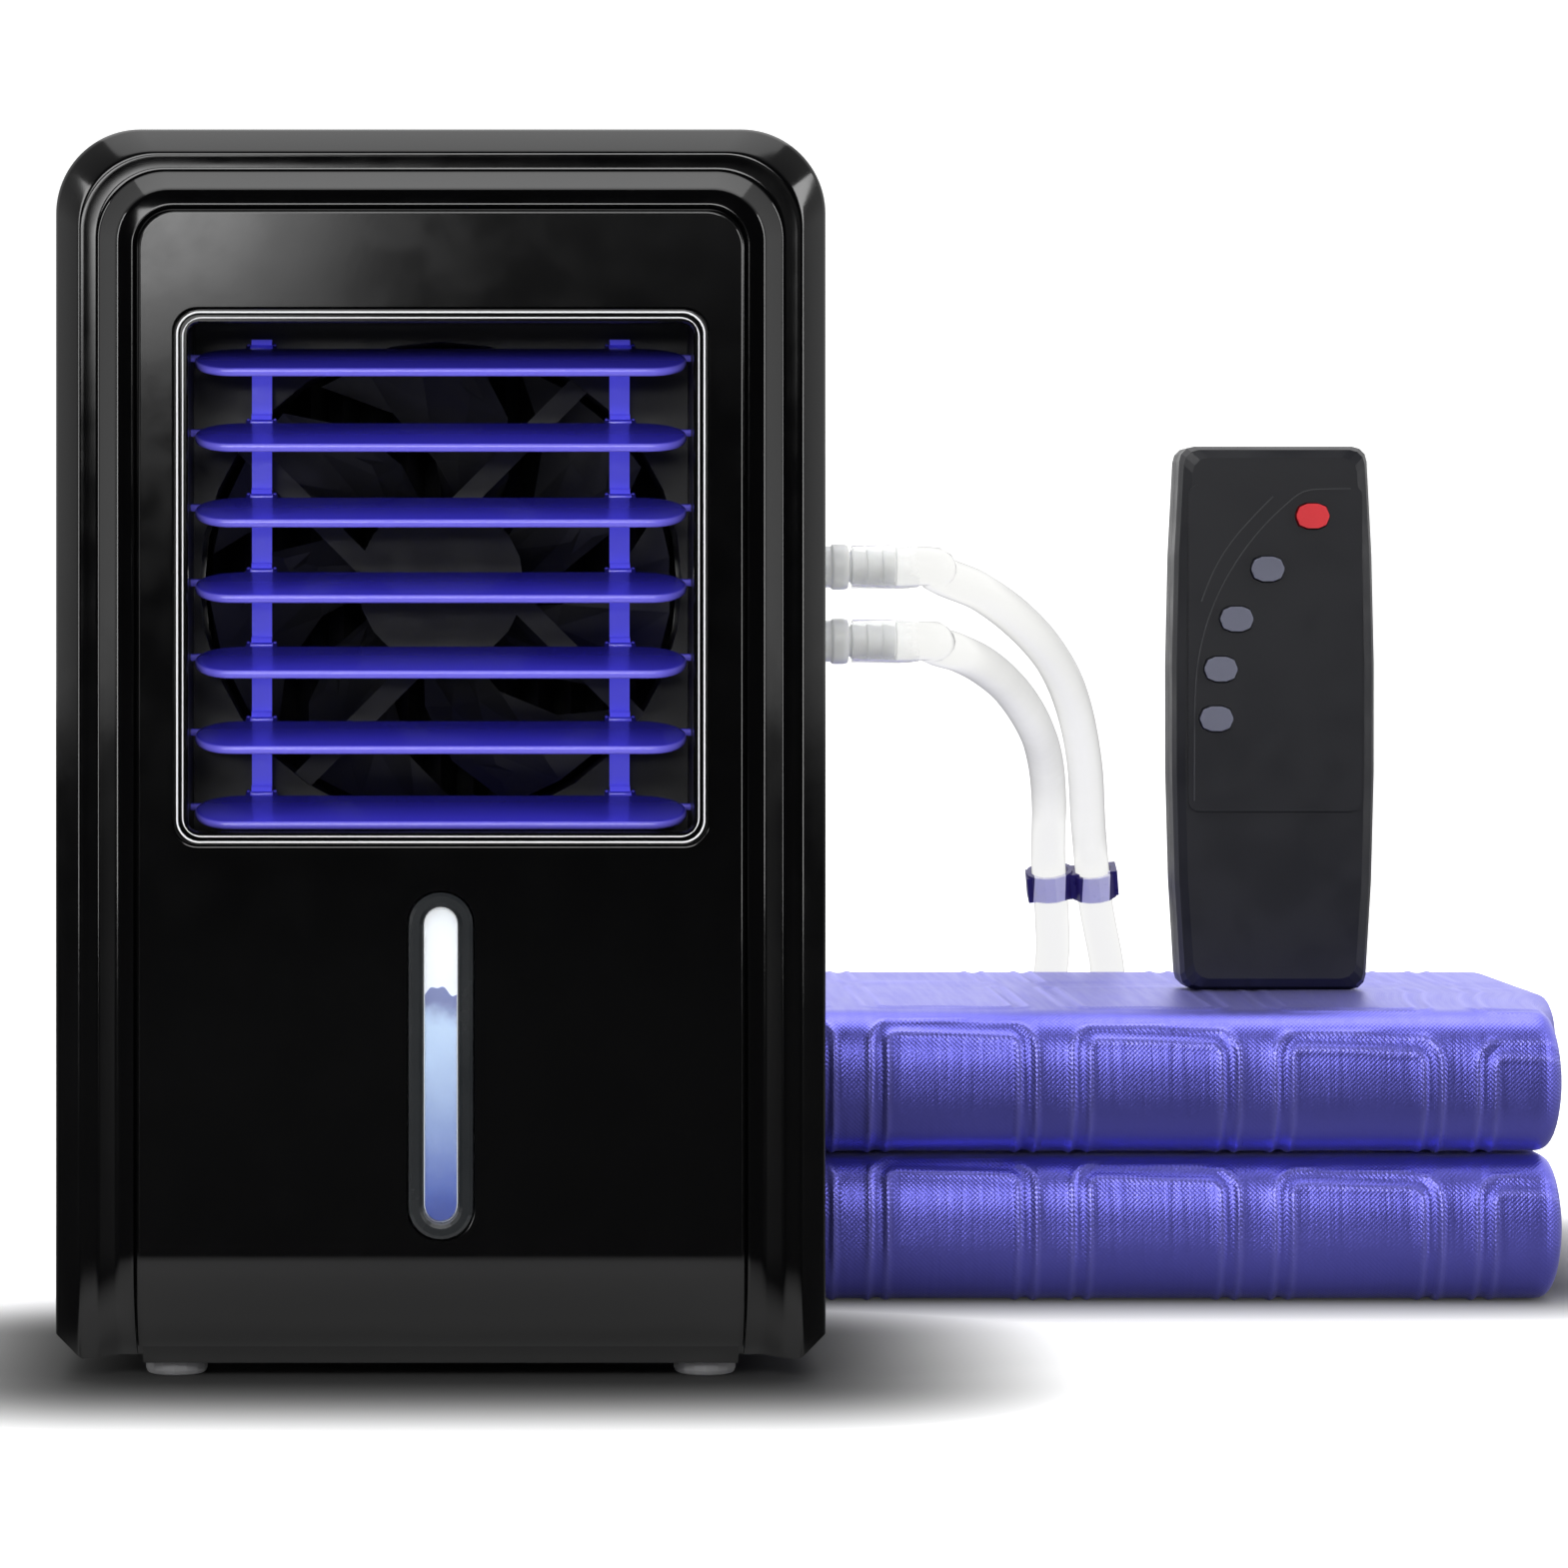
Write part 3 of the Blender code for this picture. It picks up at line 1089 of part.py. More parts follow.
def make_port(name, height):
    """Hose port: inner nipple, nut, neck through the wall, collar and ribbed barb, bored through."""
    start = port_start()
    nut = start + PORT_NIPPLE_LENGTH
    wall = nut + PORT_NUT_LENGTH
    flange = HALF_WIDTH + GAP
    collar = HALF_WIDTH + PORT_COLLAR_LENGTH
    tip = port_tip()
    rib = PORT_BARB_LENGTH / BARB_RIBS
    core = PORT_BARB_RADIUS * 0.86
    outer = [(PORT_BORE_RADIUS, tip)]
    for index in range(BARB_RIBS):
        end = tip - rib * index
        outer += [(core, end), (PORT_BARB_RADIUS, end - rib * 0.8), (core, end - rib * 0.82)]
    outer += [(core, collar), (PORT_COLLAR_RADIUS * 0.95, collar), (PORT_COLLAR_RADIUS, collar - rib * 0.3),
              (PORT_COLLAR_RADIUS, collar - rib), (PORT_COLLAR_RADIUS * 0.9, collar - rib * 1.1),
              (PORT_COLLAR_RADIUS * 0.9, flange + rib * 0.6), (PORT_NUT_RADIUS, flange + rib * 0.6),
              (PORT_NUT_RADIUS, flange), (PORT_NECK_RADIUS, flange), (PORT_NECK_RADIUS, wall), (PORT_NUT_RADIUS, wall),
              (PORT_NUT_RADIUS, nut), (PORT_NIPPLE_RADIUS, nut), (PORT_NIPPLE_RADIUS, start),
              (PORT_BORE_RADIUS, start)]
    profile = [(radius, along - start) for radius, along in outer]
    return turned(name, profile, (1, 0, 0), (start, PORT_Y, height), "clear", sides=12, closed=True)


def make_inner_tubes():
    """Soft tubes inside the cabinet: pump to the supply port, return port down into the tank."""
    port = port_start() - GAP
    _, _, outlet_z = pump_centre()
    spigot_y = PUMP_FRONT_Y + PUMP_SIZE.y * 0.6
    rise = TUBE_RISE_X
    lift_shares = (0.35, 0.75)
    step = TUBE_RADIUS * 3
    way = [(rise, TUBE_RISE_Y, TANK_TOP * 0.7), (rise, TUBE_RISE_Y, TANK_TOP)]
    for share in lift_shares:
        way.append((rise, TUBE_RISE_Y + (PORT_Y - TUBE_RISE_Y) * share ** 1.5,
                    TANK_TOP + (SUPPLY_PORT_Z - TANK_TOP) * share))
    supply = straight_ended((rise, spigot_y, outlet_z - TUBE_RADIUS), (0, 0, 1), way,
                            (port, PORT_Y, SUPPLY_PORT_Z), (1, 0, 0), step, TUBE_APPROACH)
    tube("pump_tube", supply, TUBE_RADIUS, "milky", 1)
    drop = RETURN_DROP_X
    way = [(drop, (PORT_Y + RETURN_DROP_Y) / 2, RETURN_PORT_Z - step * 3), (drop, RETURN_DROP_Y, TANK_TOP)]
    back = straight_ended((port, PORT_Y, RETURN_PORT_Z), (-1, 0, 0), way,
                          (drop, RETURN_DROP_Y, RETURN_END_Z), (0, 0, -1), step, TUBE_APPROACH)
    tube("return_tube", back, TUBE_RADIUS, "milky", 1)


def make_boards():
    """Control board under its bosses, and the ioniser module on the tunnel's roof."""
    top = ROOF_UNDER - BOARD_DROP
    half = BOARD_WIDTH / 2
    board = solid("control_board", box((-half, BOARD_FRONT_Y, top - BOARD_THICKNESS),
                                       (half, BOARD_FRONT_Y + BOARD_DEPTH, top)), "board_green")
    chip = solid("board_relay", box((-half / 4, BOARD_FRONT_Y + BOARD_DEPTH / 4, top - BOARD_THICKNESS * 5),
                                    (half / 4, BOARD_FRONT_Y + BOARD_DEPTH * 0.7, top - BOARD_THICKNESS / 2)))
    plug = solid("board_header", box((half / 2, BOARD_FRONT_Y + BOARD_DEPTH / 4, top - BOARD_THICKNESS * 4),
                                     (half * 0.8, BOARD_FRONT_Y + BOARD_DEPTH * 0.6, top - BOARD_THICKNESS / 2)))
    join(board, chip, plug)
    low = TUNNEL_CENTRE_Z + TUNNEL_HEIGHT / 2 + TUNNEL_WALL + GAP
    corner = Vector((-IONISER_SIZE.x / 2, IONISER_FRONT_Y, low))
    module = solid("ioniser_module", box(corner, corner + IONISER_SIZE), "satin_black")
    soften(module, HOOK_WALL, segments=1)


def make_feet():
    """Four round feet with a softened lower edge."""
    top = FOOT_HEIGHT - GAP
    profile = [(0.0, top), (FOOT_RADIUS, top), (FOOT_RADIUS, FOOT_EDGE), (FOOT_RADIUS - FOOT_EDGE * 0.3, FOOT_EDGE * 0.3),
               (FOOT_RADIUS - FOOT_EDGE, 0.0), (0.0, 0.0)]
    for label, side, y in (("front_left", -1, FOOT_FRONT_Y), ("front_right", 1, FOOT_FRONT_Y),
                           ("rear_left", -1, FOOT_BACK_Y), ("rear_right", 1, FOOT_BACK_Y)):
        turned(f"foot_{label}", profile, (0, 0, 1), (side * FOOT_OFFSET_X, y, 0.0), "foot_rubber", sides=16)


# Routes of the two visible hose runs, from the port's tip to the lead-in of the stored coil
SUPPLY_ROUTE = ((0.1265, 0.1075, 0.1910), (0.1381, 0.1180, 0.1866), (0.1525, 0.1450, 0.1780),
                (0.1651, 0.1800, 0.1674), (0.1745, 0.2150, 0.1548), (0.1819, 0.2500, 0.1383),
                (0.1872, 0.2840, 0.1200), (0.1896, 0.2975, 0.1110), (0.1907, 0.3000, 0.1017),
                (0.1922, 0.3024, 0.0925), (0.1955, 0.3070, 0.0780), (0.1995, 0.3140, 0.0541),
                (0.2109, 0.3210, 0.0339), (0.2279, 0.3270, 0.0203))
RETURN_ROUTE = ((0.1250, 0.1070, 0.1729), (0.1316, 0.1120, 0.1710), (0.1415, 0.1350, 0.1669),
                (0.1522, 0.1680, 0.1601), (0.1624, 0.2050, 0.1501), (0.1702, 0.2450, 0.1392),
                (0.1757, 0.2820, 0.1250), (0.1772, 0.2970, 0.1110), (0.1779, 0.3000, 0.1017),
                (0.1789, 0.3024, 0.0925), (0.1795, 0.3070, 0.0780), (0.1758, 0.3140, 0.0541),
                (0.1654, 0.3210, 0.0339), (0.1499, 0.3270, 0.0203))
CLIP_PLACE = 8
COIL_REVERSAL_SHARE = 0.06


def coil_route(centre_x, hand):
    """Stored loops: in on the top layer, down a layer where the spiral reverses, out on the table."""
    turns = COIL_IN_TURNS + COIL_OUT_TURNS + 0.5
    reversal = COIL_IN_TURNS + 0.25
    low = HOSE_DIAMETER / 2
    points = []
    for index in range(round(turns * COIL_POINTS_PER_TURN) + 1):
        turn = index / COIL_POINTS_PER_TURN
        radius = COIL_INNER_RADIUS + COIL_PITCH * math.hypot(turn - reversal, COIL_REVERSAL_SHARE)
        fall = min(1.0, max(0.0, (turn - COIL_IN_TURNS) / 0.5))
        height = low + COIL_LAYER * (1 + math.cos(math.pi * fall)) / 2
        angle = math.tau * turn - math.pi / 2
        points.append(Vector((centre_x + hand * radius * math.cos(angle), COIL_CENTRE_Y + radius * math.sin(angle),
                              height)))
    lead_in = points[0] - Vector((hand * HOSE_DIAMETER, 0.0, 0.0))
    lead_out = points[-1] - Vector((0.0, HOSE_DIAMETER, 0.0))
    return [lead_in] + points + [lead_out]


def least_gap(points, other=None, apart=4):
    """Least clear distance between hose walls, along one route or between two."""
    first = np.array(points)
    second = first if other is None else np.array(other)
    least = math.inf
    for index in range(len(first) - 1):
        for share in (0.0, 0.5):
            here = first[index] * (1 - share) + first[index + 1] * share
            for near, far in zip(range(len(second) - 1), range(1, len(second))):
                if other is None and abs(near - index) < apart:
                    continue
                run = second[far] - second[near]
                along = min(1.0, max(0.0, float(np.dot(here - second[near], run) / np.dot(run, run))))
                least = min(least, float(np.linalg.norm(here - second[near] - run * along)))
    return least - HOSE_DIAMETER


def make_hoses():
    """Both hoses, each as its visible run, its stored coil and the tail to the pad's nozzle."""
    routes = {}
    for label, port_z, way, centre_x, hand in (("supply", SUPPLY_PORT_Z, SUPPLY_ROUTE, SUPPLY_COIL_X, 1),
                                               ("return", RETURN_PORT_Z, RETURN_ROUTE, RETURN_COIL_X, -1)):
        coil = coil_route(centre_x, hand)
        start = Vector((port_tip() + GAP, PORT_Y, port_z))
        gap = Vector((hand * GAP, 0.0, 0.0))
        run = straight_ended(start, (1, 0, 0), way, coil[0] - gap, (hand, 0, 0), HOSE_STEP, HOSE_DIAMETER)
        tail_x = coil[-1].x
        tail_start = coil[-1] - Vector((0.0, GAP, 0.0))
        nozzle_tip = Vector((tail_x, PAD_BACK_Y + GAP * 2 + NOZZLE_LENGTH, NOZZLE_Z))
        rise = (tail_start + nozzle_tip) / 2
        tail = straight_ended(tail_start, (0, -1, 0), [rise], nozzle_tip, (0, -1, 0), HOSE_STEP * 0.7, HOSE_DIAMETER)
        tube(f"hose_{label}_run", run, HOSE_DIAMETER / 2, "milky", resolution=2)
        tube(f"hose_{label}_coil", coil, HOSE_DIAMETER / 2, "milky", resolution=1)
        tube(f"hose_{label}_tail", tail, HOSE_DIAMETER / 2, "milky", resolution=2)
        routes[label] = (run, coil, tail)
        length = sum((after - before).length for part in routes[label] for before, after in zip(part, part[1:]))
        print(f"hose_{label}: length {length * 1000:.0f} mm, least gap to itself in the coil",
              f"{least_gap(coil) * 1000:.2f} mm")
    for index, first in enumerate(routes["supply"]):
        for other, second in enumerate(routes["return"]):
            print(f"supply {index} to return {other}: least gap {least_gap(first, second) * 1000:.2f} mm")
    for label in routes:
        run, coil, tail = routes[label]
        print(f"{label}: run to coil body {least_gap(run[:-1], coil[4:]) * 1000:.2f} mm,",
              f"run to tail {least_gap(run, tail) * 1000:.2f} mm, tail to coil {least_gap(tail[1:], coil[:-4]) * 1000:.2f} mm")
    return routes


def nearest_on(route, height):
    """Point and way on a route where it comes down through a height."""
    for before, after in zip(route, route[1:]):
        if before.z >= height > after.z:
            share = (before.z - height) / (before.z - after.z)
            return before.lerp(after, share), (after - before).normalized()
    raise ValueError("the route does not cross the height")


def make_hose_clip(routes):
    """Double clip: two rings side by side with three grip blocks, square to the hoses."""
    height = SUPPLY_ROUTE[CLIP_PLACE][2]
    right, right_way = nearest_on(routes["supply"][0], height)
    left, left_way = nearest_on(routes["return"][0], height)
    way = (right_way + left_way).normalized()
    across = (right - left)
    across = (across - way * across.dot(way)).normalized()
    depth = way.cross(across).normalized()
    centre = (right + left) / 2
    turn = Matrix((across, depth, across.cross(depth))).transposed().to_4x4()
    frame = Matrix.Translation(centre) @ turn
    half = CLIP_HEIGHT / 2
    bore = HOSE_DIAMETER / 2 + RUNNING_GAP
    outer = bore + CLIP_WALL
    offset = (right - left).dot(across) / 2
    edge = offset + outer
    shapes = {"rings": [], "bores": []}
    for label, point, run_way in (("right", right, right_way), ("left", left, left_way)):
        shapes["rings"].append(rod(point - way * half, point + way * half, outer, 14))
        shapes["bores"].append(rod(point - run_way * CLIP_HEIGHT, point + run_way * CLIP_HEIGHT, bore, 16))
    clip = solid("hose_clip", shapes["rings"][0], "indigo")
    join(clip, solid("clip_ring", shapes["rings"][1]))
    blocks = []
    for low, high in ((-edge, -edge + CLIP_WALL * 1.6), (-CLIP_WALL * 2, CLIP_WALL * 2), (edge - CLIP_WALL * 2.5, edge)):
        block = box((low, -CLIP_BLOCK_DEPTH * 0.8, -half), (high, CLIP_BLOCK_DEPTH * 0.8, half))
        bmesh.ops.transform(block, matrix=frame, verts=block.verts)
        blocks.append(block)
    join(clip, solid("clip_blocks", gather(*blocks)))
    return cut(clip, *[solid(f"clip_bore_{index}", form) for index, form in enumerate(shapes["bores"])])


def pad_levels():
    """The pad's side from its foot to its top: (inset, height) round two stacked, round-nosed layers."""
    nose_shares = (-1.0, -0.62, 0.0, 0.50, 0.70)
    layer = PAD_HEIGHT / 4
    edge = PAD_CREASE_DEPTH * 2
    levels = []
    for share in nose_shares:
        angle = share * math.pi / 2
        inset = edge * (1 - math.cos(angle) ** 0.75)
        rise = layer * math.copysign(abs(math.sin(angle)) ** 0.8, angle)
        levels.append((inset, layer + rise))
    mirrored = [(inset, PAD_HEIGHT - height) for inset, height in reversed(levels)]
    return levels + [(PAD_CREASE_DEPTH * 1.25, PAD_HEIGHT / 2)] + mirrored


def pad_channel(x):
    """How far the skin is drawn in at a place along the pad: full in the channels between the cells."""
    channel = PAD_CELL_PITCH - PAD_CELL_WIDTH
    seam = PAD_FIRST_CELL - channel / 2
    away = abs((x - seam + PAD_CELL_PITCH / 2) % PAD_CELL_PITCH - PAD_CELL_PITCH / 2)
    return PAD_CHANNEL * max(0.0, 1 - away / channel)


def pad_stations():
    """Places across the pad: both rounded ends, and each channel with its shoulders and the cell's crown."""
    channel = PAD_CELL_PITCH - PAD_CELL_WIDTH
    first = PAD_FIRST_CELL - channel / 2
    corner_shares = (0.0, 0.25, 0.6, 1.0)
    corner = PAD_CREASE_DEPTH * 2
    places = [PAD_LEFT + corner * share for share in corner_shares]
    places += [PAD_RIGHT - corner * share for share in corner_shares]
    index = math.floor((PAD_LEFT - first) / PAD_CELL_PITCH)
    while first + PAD_CELL_PITCH * index < PAD_RIGHT:
        seam = first + PAD_CELL_PITCH * index
        for place in (seam - channel, seam, seam + channel, seam + PAD_CELL_PITCH / 2):
            if PAD_LEFT + corner * 1.2 < place < PAD_RIGHT - corner * 1.2:
                places.append(place)
        index += 1
    return sorted(places)


def make_mattress_pad():
    """Folded pad as a shaped block: two nosed layers, a crease between them, crowned cells and channels."""
    centre_x = (PAD_LEFT + PAD_RIGHT) / 2
    half_x = (PAD_RIGHT - PAD_LEFT) / 2
    half_y = PAD_DEPTH / 2
    centre_y = PAD_FRONT_Y + half_y
    corner = PAD_CREASE_DEPTH * 2
    stations = [(x - centre_x) / half_x for x in pad_stations()]
    ranks = (-1.0, -0.82, -0.4, 0.0, 0.4, 0.82, 1.0)
    levels = pad_levels()

    def place(u, v, inset, height):
        """Real place of a lattice point, with round corners in plan and the cells drawn in."""
        x = centre_x + u * (half_x - inset)
        y = centre_y + v * (half_y - inset)
        round_x = half_x - inset - corner
        round_y = half_y - inset - corner
        over_x = abs(x - centre_x) - round_x
        over_y = abs(y - centre_y) - round_y
        if over_x > 0 and over_y > 0:
            reach = math.hypot(over_x, over_y)
            shrink = min(1.0, corner / reach)
            x = centre_x + math.copysign(round_x + over_x * shrink, x - centre_x)
            y = centre_y + math.copysign(round_y + over_y * shrink, y - centre_y)
        drawn = pad_channel(x)
        if abs(v) == 1.0 and 0.0 < height < PAD_HEIGHT:
            y -= math.copysign(drawn, v)
        if height >= PAD_HEIGHT:
            height -= drawn + PAD_CHANNEL * max(abs(u) ** 12, v ** 4)
        return Vector((x, y, height))

    form = bmesh.new()
    lattice = {}

    def corner_at(i, j, k):
        """Vertex of the pad's surface lattice, made once."""
        if (i, j, k) not in lattice:
            inset, height = levels[k]
            lattice[i, j, k] = form.verts.new(place(stations[i], ranks[j], inset, height))
        return lattice[i, j, k]

    last_i, last_j, last_k = len(stations) - 1, len(ranks) - 1, len(levels) - 1
    for i in range(last_i):
        for j in range(last_j):
            form.faces.new([corner_at(a, b, last_k) for a, b in ((i, j), (i + 1, j), (i + 1, j + 1), (i, j + 1))])
        for k in range(last_k):
            for j in (0, last_j):
                form.faces.new([corner_at(a, j, c) for a, c in ((i, k), (i + 1, k), (i + 1, k + 1), (i, k + 1))])
    for j in range(last_j):
        for k in range(last_k):
            for i in (0, last_i):
                form.faces.new([corner_at(i, b, c) for b, c in ((j, k), (j + 1, k), (j + 1, k + 1), (j, k + 1))])
    rim = [corner_at(i, 0, 0) for i in range(last_i)] + [corner_at(last_i, j, 0) for j in range(last_j)]
    rim += [corner_at(i, last_j, 0) for i in range(last_i, 0, -1)] + [corner_at(0, j, 0) for j in range(last_j, 0, -1)]
    form.faces.new(rim)
    return solid("mattress_pad", form, "pad_violet")


def make_nozzles(routes):
    """Two barbed nozzles on the pad's rear edge, where the hose tails end."""
    rib = NOZZLE_LENGTH / 6
    core = NOZZLE_RADIUS * 0.85
    profile = [(0.0, NOZZLE_LENGTH), (core, NOZZLE_LENGTH), (NOZZLE_RADIUS, NOZZLE_LENGTH - rib * 0.8),
               (core, NOZZLE_LENGTH - rib * 0.85), (NOZZLE_RADIUS, NOZZLE_LENGTH - rib * 1.8),
               (core, NOZZLE_LENGTH - rib * 1.85), (core, NOZZLE_FLANGE), (NOZZLE_FLANGE_RADIUS, NOZZLE_FLANGE),
               (NOZZLE_FLANGE_RADIUS, 0.0), (0.0, 0.0)]
    for label in routes:
        x = routes[label][2][-1].x
        turned(f"pad_nozzle_{label}", profile, (0, 1, 0), (x, PAD_BACK_Y + GAP, NOZZLE_Z), "milky", sides=14)


def remote_outline(inset):
    """Closed outline (x, z) of the remote, a little wider at its waist, with round corners."""
    half_shares = (REMOTE_FOOT_WIDTH / 2, REMOTE_MID_WIDTH / 2, REMOTE_TOP_WIDTH / 2)
    corner = REMOTE_EDGE * 1.3
    low = REMOTE_Z + inset
    high = REMOTE_Z + REMOTE_HEIGHT - inset
    middle = REMOTE_Z + REMOTE_HEIGHT * 0.5
    right = []
    for step in range(4):
        angle = math.pi / 2 * step / 3
        right.append((half_shares[0] - inset - corner * (1 - math.sin(angle)), low + corner * (1 - math.cos(angle))))
    for share in (0.4, 0.8, 1.2, 1.6):
        height = REMOTE_Z + REMOTE_HEIGHT * share / 2
        end = half_shares[0] if height < middle else half_shares[2]
        bulge = 1 - ((height - middle) / (REMOTE_HEIGHT / 2)) ** 2
        right.append((end + (half_shares[1] - end) * bulge - inset, height))
    for step in range(4):
        angle = math.pi / 2 * step / 3
        right.append((half_shares[2] - inset - corner * (1 - math.cos(angle)), high - corner * (1 - math.sin(angle))))
    points = [(REMOTE_X + x, z) for x, z in right]
    return points + [(2 * REMOTE_X - x, z) for x, z in reversed(points)]


def remote_shell(name, open_y, face_y):
    """One half of the remote: side wall, rounded edge and face, as an open surface with a wall."""
    way = math.copysign(1.0, face_y - open_y)
    steps = ((0.0, open_y), (0.0, face_y - way * REMOTE_EDGE), (REMOTE_EDGE * 0.3, face_y - way * REMOTE_EDGE * 0.3),
             (REMOTE_EDGE, face_y))
    form = bmesh.new()
    rings = [[form.verts.new((x, y, z)) for x, z in remote_outline(inset)] for inset, y in steps]
    for near, far in zip(rings, rings[1:]):
        for index in range(len(near)):
            after = (index + 1) % len(near)
            form.faces.new((near[index], near[after], far[after], far[index]))
    form.faces.new(rings[-1])
    shell = solid(name, form, "remote_black")
    wall = shell.modifiers.new("Wall", "SOLIDIFY")
    wall.thickness = REMOTE_WALL
    wall.offset = -1.0
    wall.use_even_offset = True
    return shell


KEY_PLACE_SHARES = {"power": (0.1817, 0.8716), "speed": (-0.0396, 0.7745), "cycle": (-0.1924, 0.6826),
                    "timer": (-0.2698, 0.5906), "ion": (-0.2914, 0.4995)}


def key_centre(label):
    """Middle of a key on the remote's face (x, z)."""
    side_share, height_share = KEY_PLACE_SHARES[label]
    return REMOTE_X + REMOTE_MID_WIDTH * side_share, REMOTE_Z + REMOTE_HEIGHT * height_share


def key_holes(name, face_y):
    """One cutter with an obround hole for every key."""
    forms = []
    for label in KEY_PLACE_SHARES:
        outline = rounded(KEY_WIDTH / 2 + GAP, KEY_HEIGHT / 2 + GAP, KEY_HEIGHT * 0.45, 2, key_centre(label))
        piece = prism(f"{name}_{label}", [outline], "XZ", face_y - OVERRUN / 2, face_y + OVERRUN / 2)
        form = bmesh.new()
        form.from_mesh(piece.data)
        forms.append(form)
        bpy.data.objects.remove(piece)
    return solid(name, gather(*forms))


def make_remote():
    """Remote: two shells, overlay, keys, board, cells, battery cover and infrared window."""
    face_y = REMOTE_Y
    split = face_y + REMOTE_FRONT_DEPTH
    back_y = face_y + REMOTE_DEPTH
    board_y = face_y + REMOTE_WALL + GAP + KEY_FLANGE + KEY_TRAVEL + GAP
    front = remote_shell("remote_front_shell", split, face_y)
    board_low, board_high = (REMOTE_Z + REMOTE_HEIGHT * share for share in REMOTE_BOARD_SHARES)
    board_half = REMOTE_BOARD_WIDTH / 2
    bosses = [rod((REMOTE_X + x * (board_half - REMOTE_BOSS_RADIUS), face_y + REMOTE_WALL / 2, z),
                  (REMOTE_X + x * (board_half - REMOTE_BOSS_RADIUS), board_y - GAP, z), REMOTE_BOSS_RADIUS, 8)
              for x in (-1, 1) for z in (board_low + REMOTE_BOSS_RADIUS * 2, board_high - REMOTE_BOSS_RADIUS * 2)]
    ir_y = (face_y + REMOTE_EDGE + split) / 2
    top = REMOTE_Z + REMOTE_HEIGHT
    join(front, solid("remote_bosses", gather(*bosses)))
    ir_hole = box((REMOTE_X - IR_WIDTH / 2 - GAP, ir_y - IR_DEPTH / 2 - GAP, top - REMOTE_WALL - OVERRUN / 2),
                  (REMOTE_X + IR_WIDTH / 2 + GAP, ir_y + IR_DEPTH / 2 + GAP, top + OVERRUN))
    cut(front, key_holes("front_key_holes", face_y + REMOTE_WALL / 2), solid("ir_hole", ir_hole))
    window = box((REMOTE_X - IR_WIDTH / 2, ir_y - IR_DEPTH / 2, top - REMOTE_WALL),
                 (REMOTE_X + IR_WIDTH / 2, ir_y + IR_DEPTH / 2, top))
    solid("remote_ir_window", window, "remote_face")
    overlay_low, overlay_high = (REMOTE_Z + REMOTE_HEIGHT * share for share in OVERLAY_SHARES)
    overlay = prism("remote_overlay", [rounded(OVERLAY_WIDTH / 2, (overlay_high - overlay_low) / 2, REMOTE_EDGE, 4,
                                               (REMOTE_X, (overlay_low + overlay_high) / 2))],
                    "XZ", face_y - GAP - OVERLAY_THICKNESS, face_y - GAP, "remote_face")
    cut(overlay, key_holes("overlay_key_holes", face_y - GAP - OVERLAY_THICKNESS / 2))
    key_front = face_y - GAP - OVERLAY_THICKNESS - KEY_PROUD
    flange_y = face_y + REMOTE_WALL + GAP
    for label in KEY_PLACE_SHARES:
        x, z = key_centre(label)
        origin = Vector((x, key_front, z))
        stem = rounded(KEY_WIDTH / 2, KEY_HEIGHT / 2, KEY_HEIGHT * 0.45, 2, (x, z))
        lip = rounded(KEY_WIDTH / 2 + KEY_FLANGE_LIP, KEY_HEIGHT / 2 + KEY_FLANGE_LIP, KEY_HEIGHT * 0.45, 2, (x, z))
        key = prism(f"remote_key_{label}", [stem], "XZ", key_front, flange_y + KEY_FLANGE / 2,
                    "key_red" if label == "power" else "key_grey", origin)
        join(key, prism(f"key_flange_{label}", [lip], "XZ", flange_y, flange_y + KEY_FLANGE))
    solid("remote_board", box((REMOTE_X - board_half, board_y, board_low),
                              (REMOTE_X + board_half, board_y + REMOTE_BOARD_THICKNESS, board_high)), "board_green")
    back = remote_shell("remote_back_shell", split + GAP, back_y)
    door_half = BATTERY_DOOR_WIDTH / 2
    door_low = REMOTE_Z + BATTERY_DOOR_LOW
    door_high = REMOTE_Z + REMOTE_HEIGHT * BATTERY_DOOR_TOP_SHARE
    cut(back, solid("battery_opening", box((REMOTE_X - door_half - GAP, back_y - REMOTE_WALL - OVERRUN / 2, door_low - GAP),
                                           (REMOTE_X + door_half + GAP, back_y + OVERRUN, door_high + GAP))))
    solid("remote_battery_cover", box((REMOTE_X - door_half, back_y - REMOTE_WALL, door_low),
                                      (REMOTE_X + door_half, back_y, door_high)), "remote_black",
          (REMOTE_X, back_y, door_low))
    cell_y = back_y - REMOTE_WALL - GAP - CELL_RADIUS
    tip = CELL_RADIUS * 0.4
    profile = [(0.0, CELL_LENGTH), (tip, CELL_LENGTH), (tip, CELL_LENGTH - CELL_TIP), (CELL_RADIUS, CELL_LENGTH - CELL_TIP),
               (CELL_RADIUS, 0.0), (0.0, 0.0)]
    for label, side in (("left", -1), ("right", 1)):
        turned(f"remote_cell_{label}", profile, (0, 0, side), (REMOTE_X + side * (CELL_RADIUS + RUNNING_GAP), cell_y,
               REMOTE_Z + CELL_LOW + (CELL_LENGTH if side < 0 else 0.0)), "steel", sides=12)


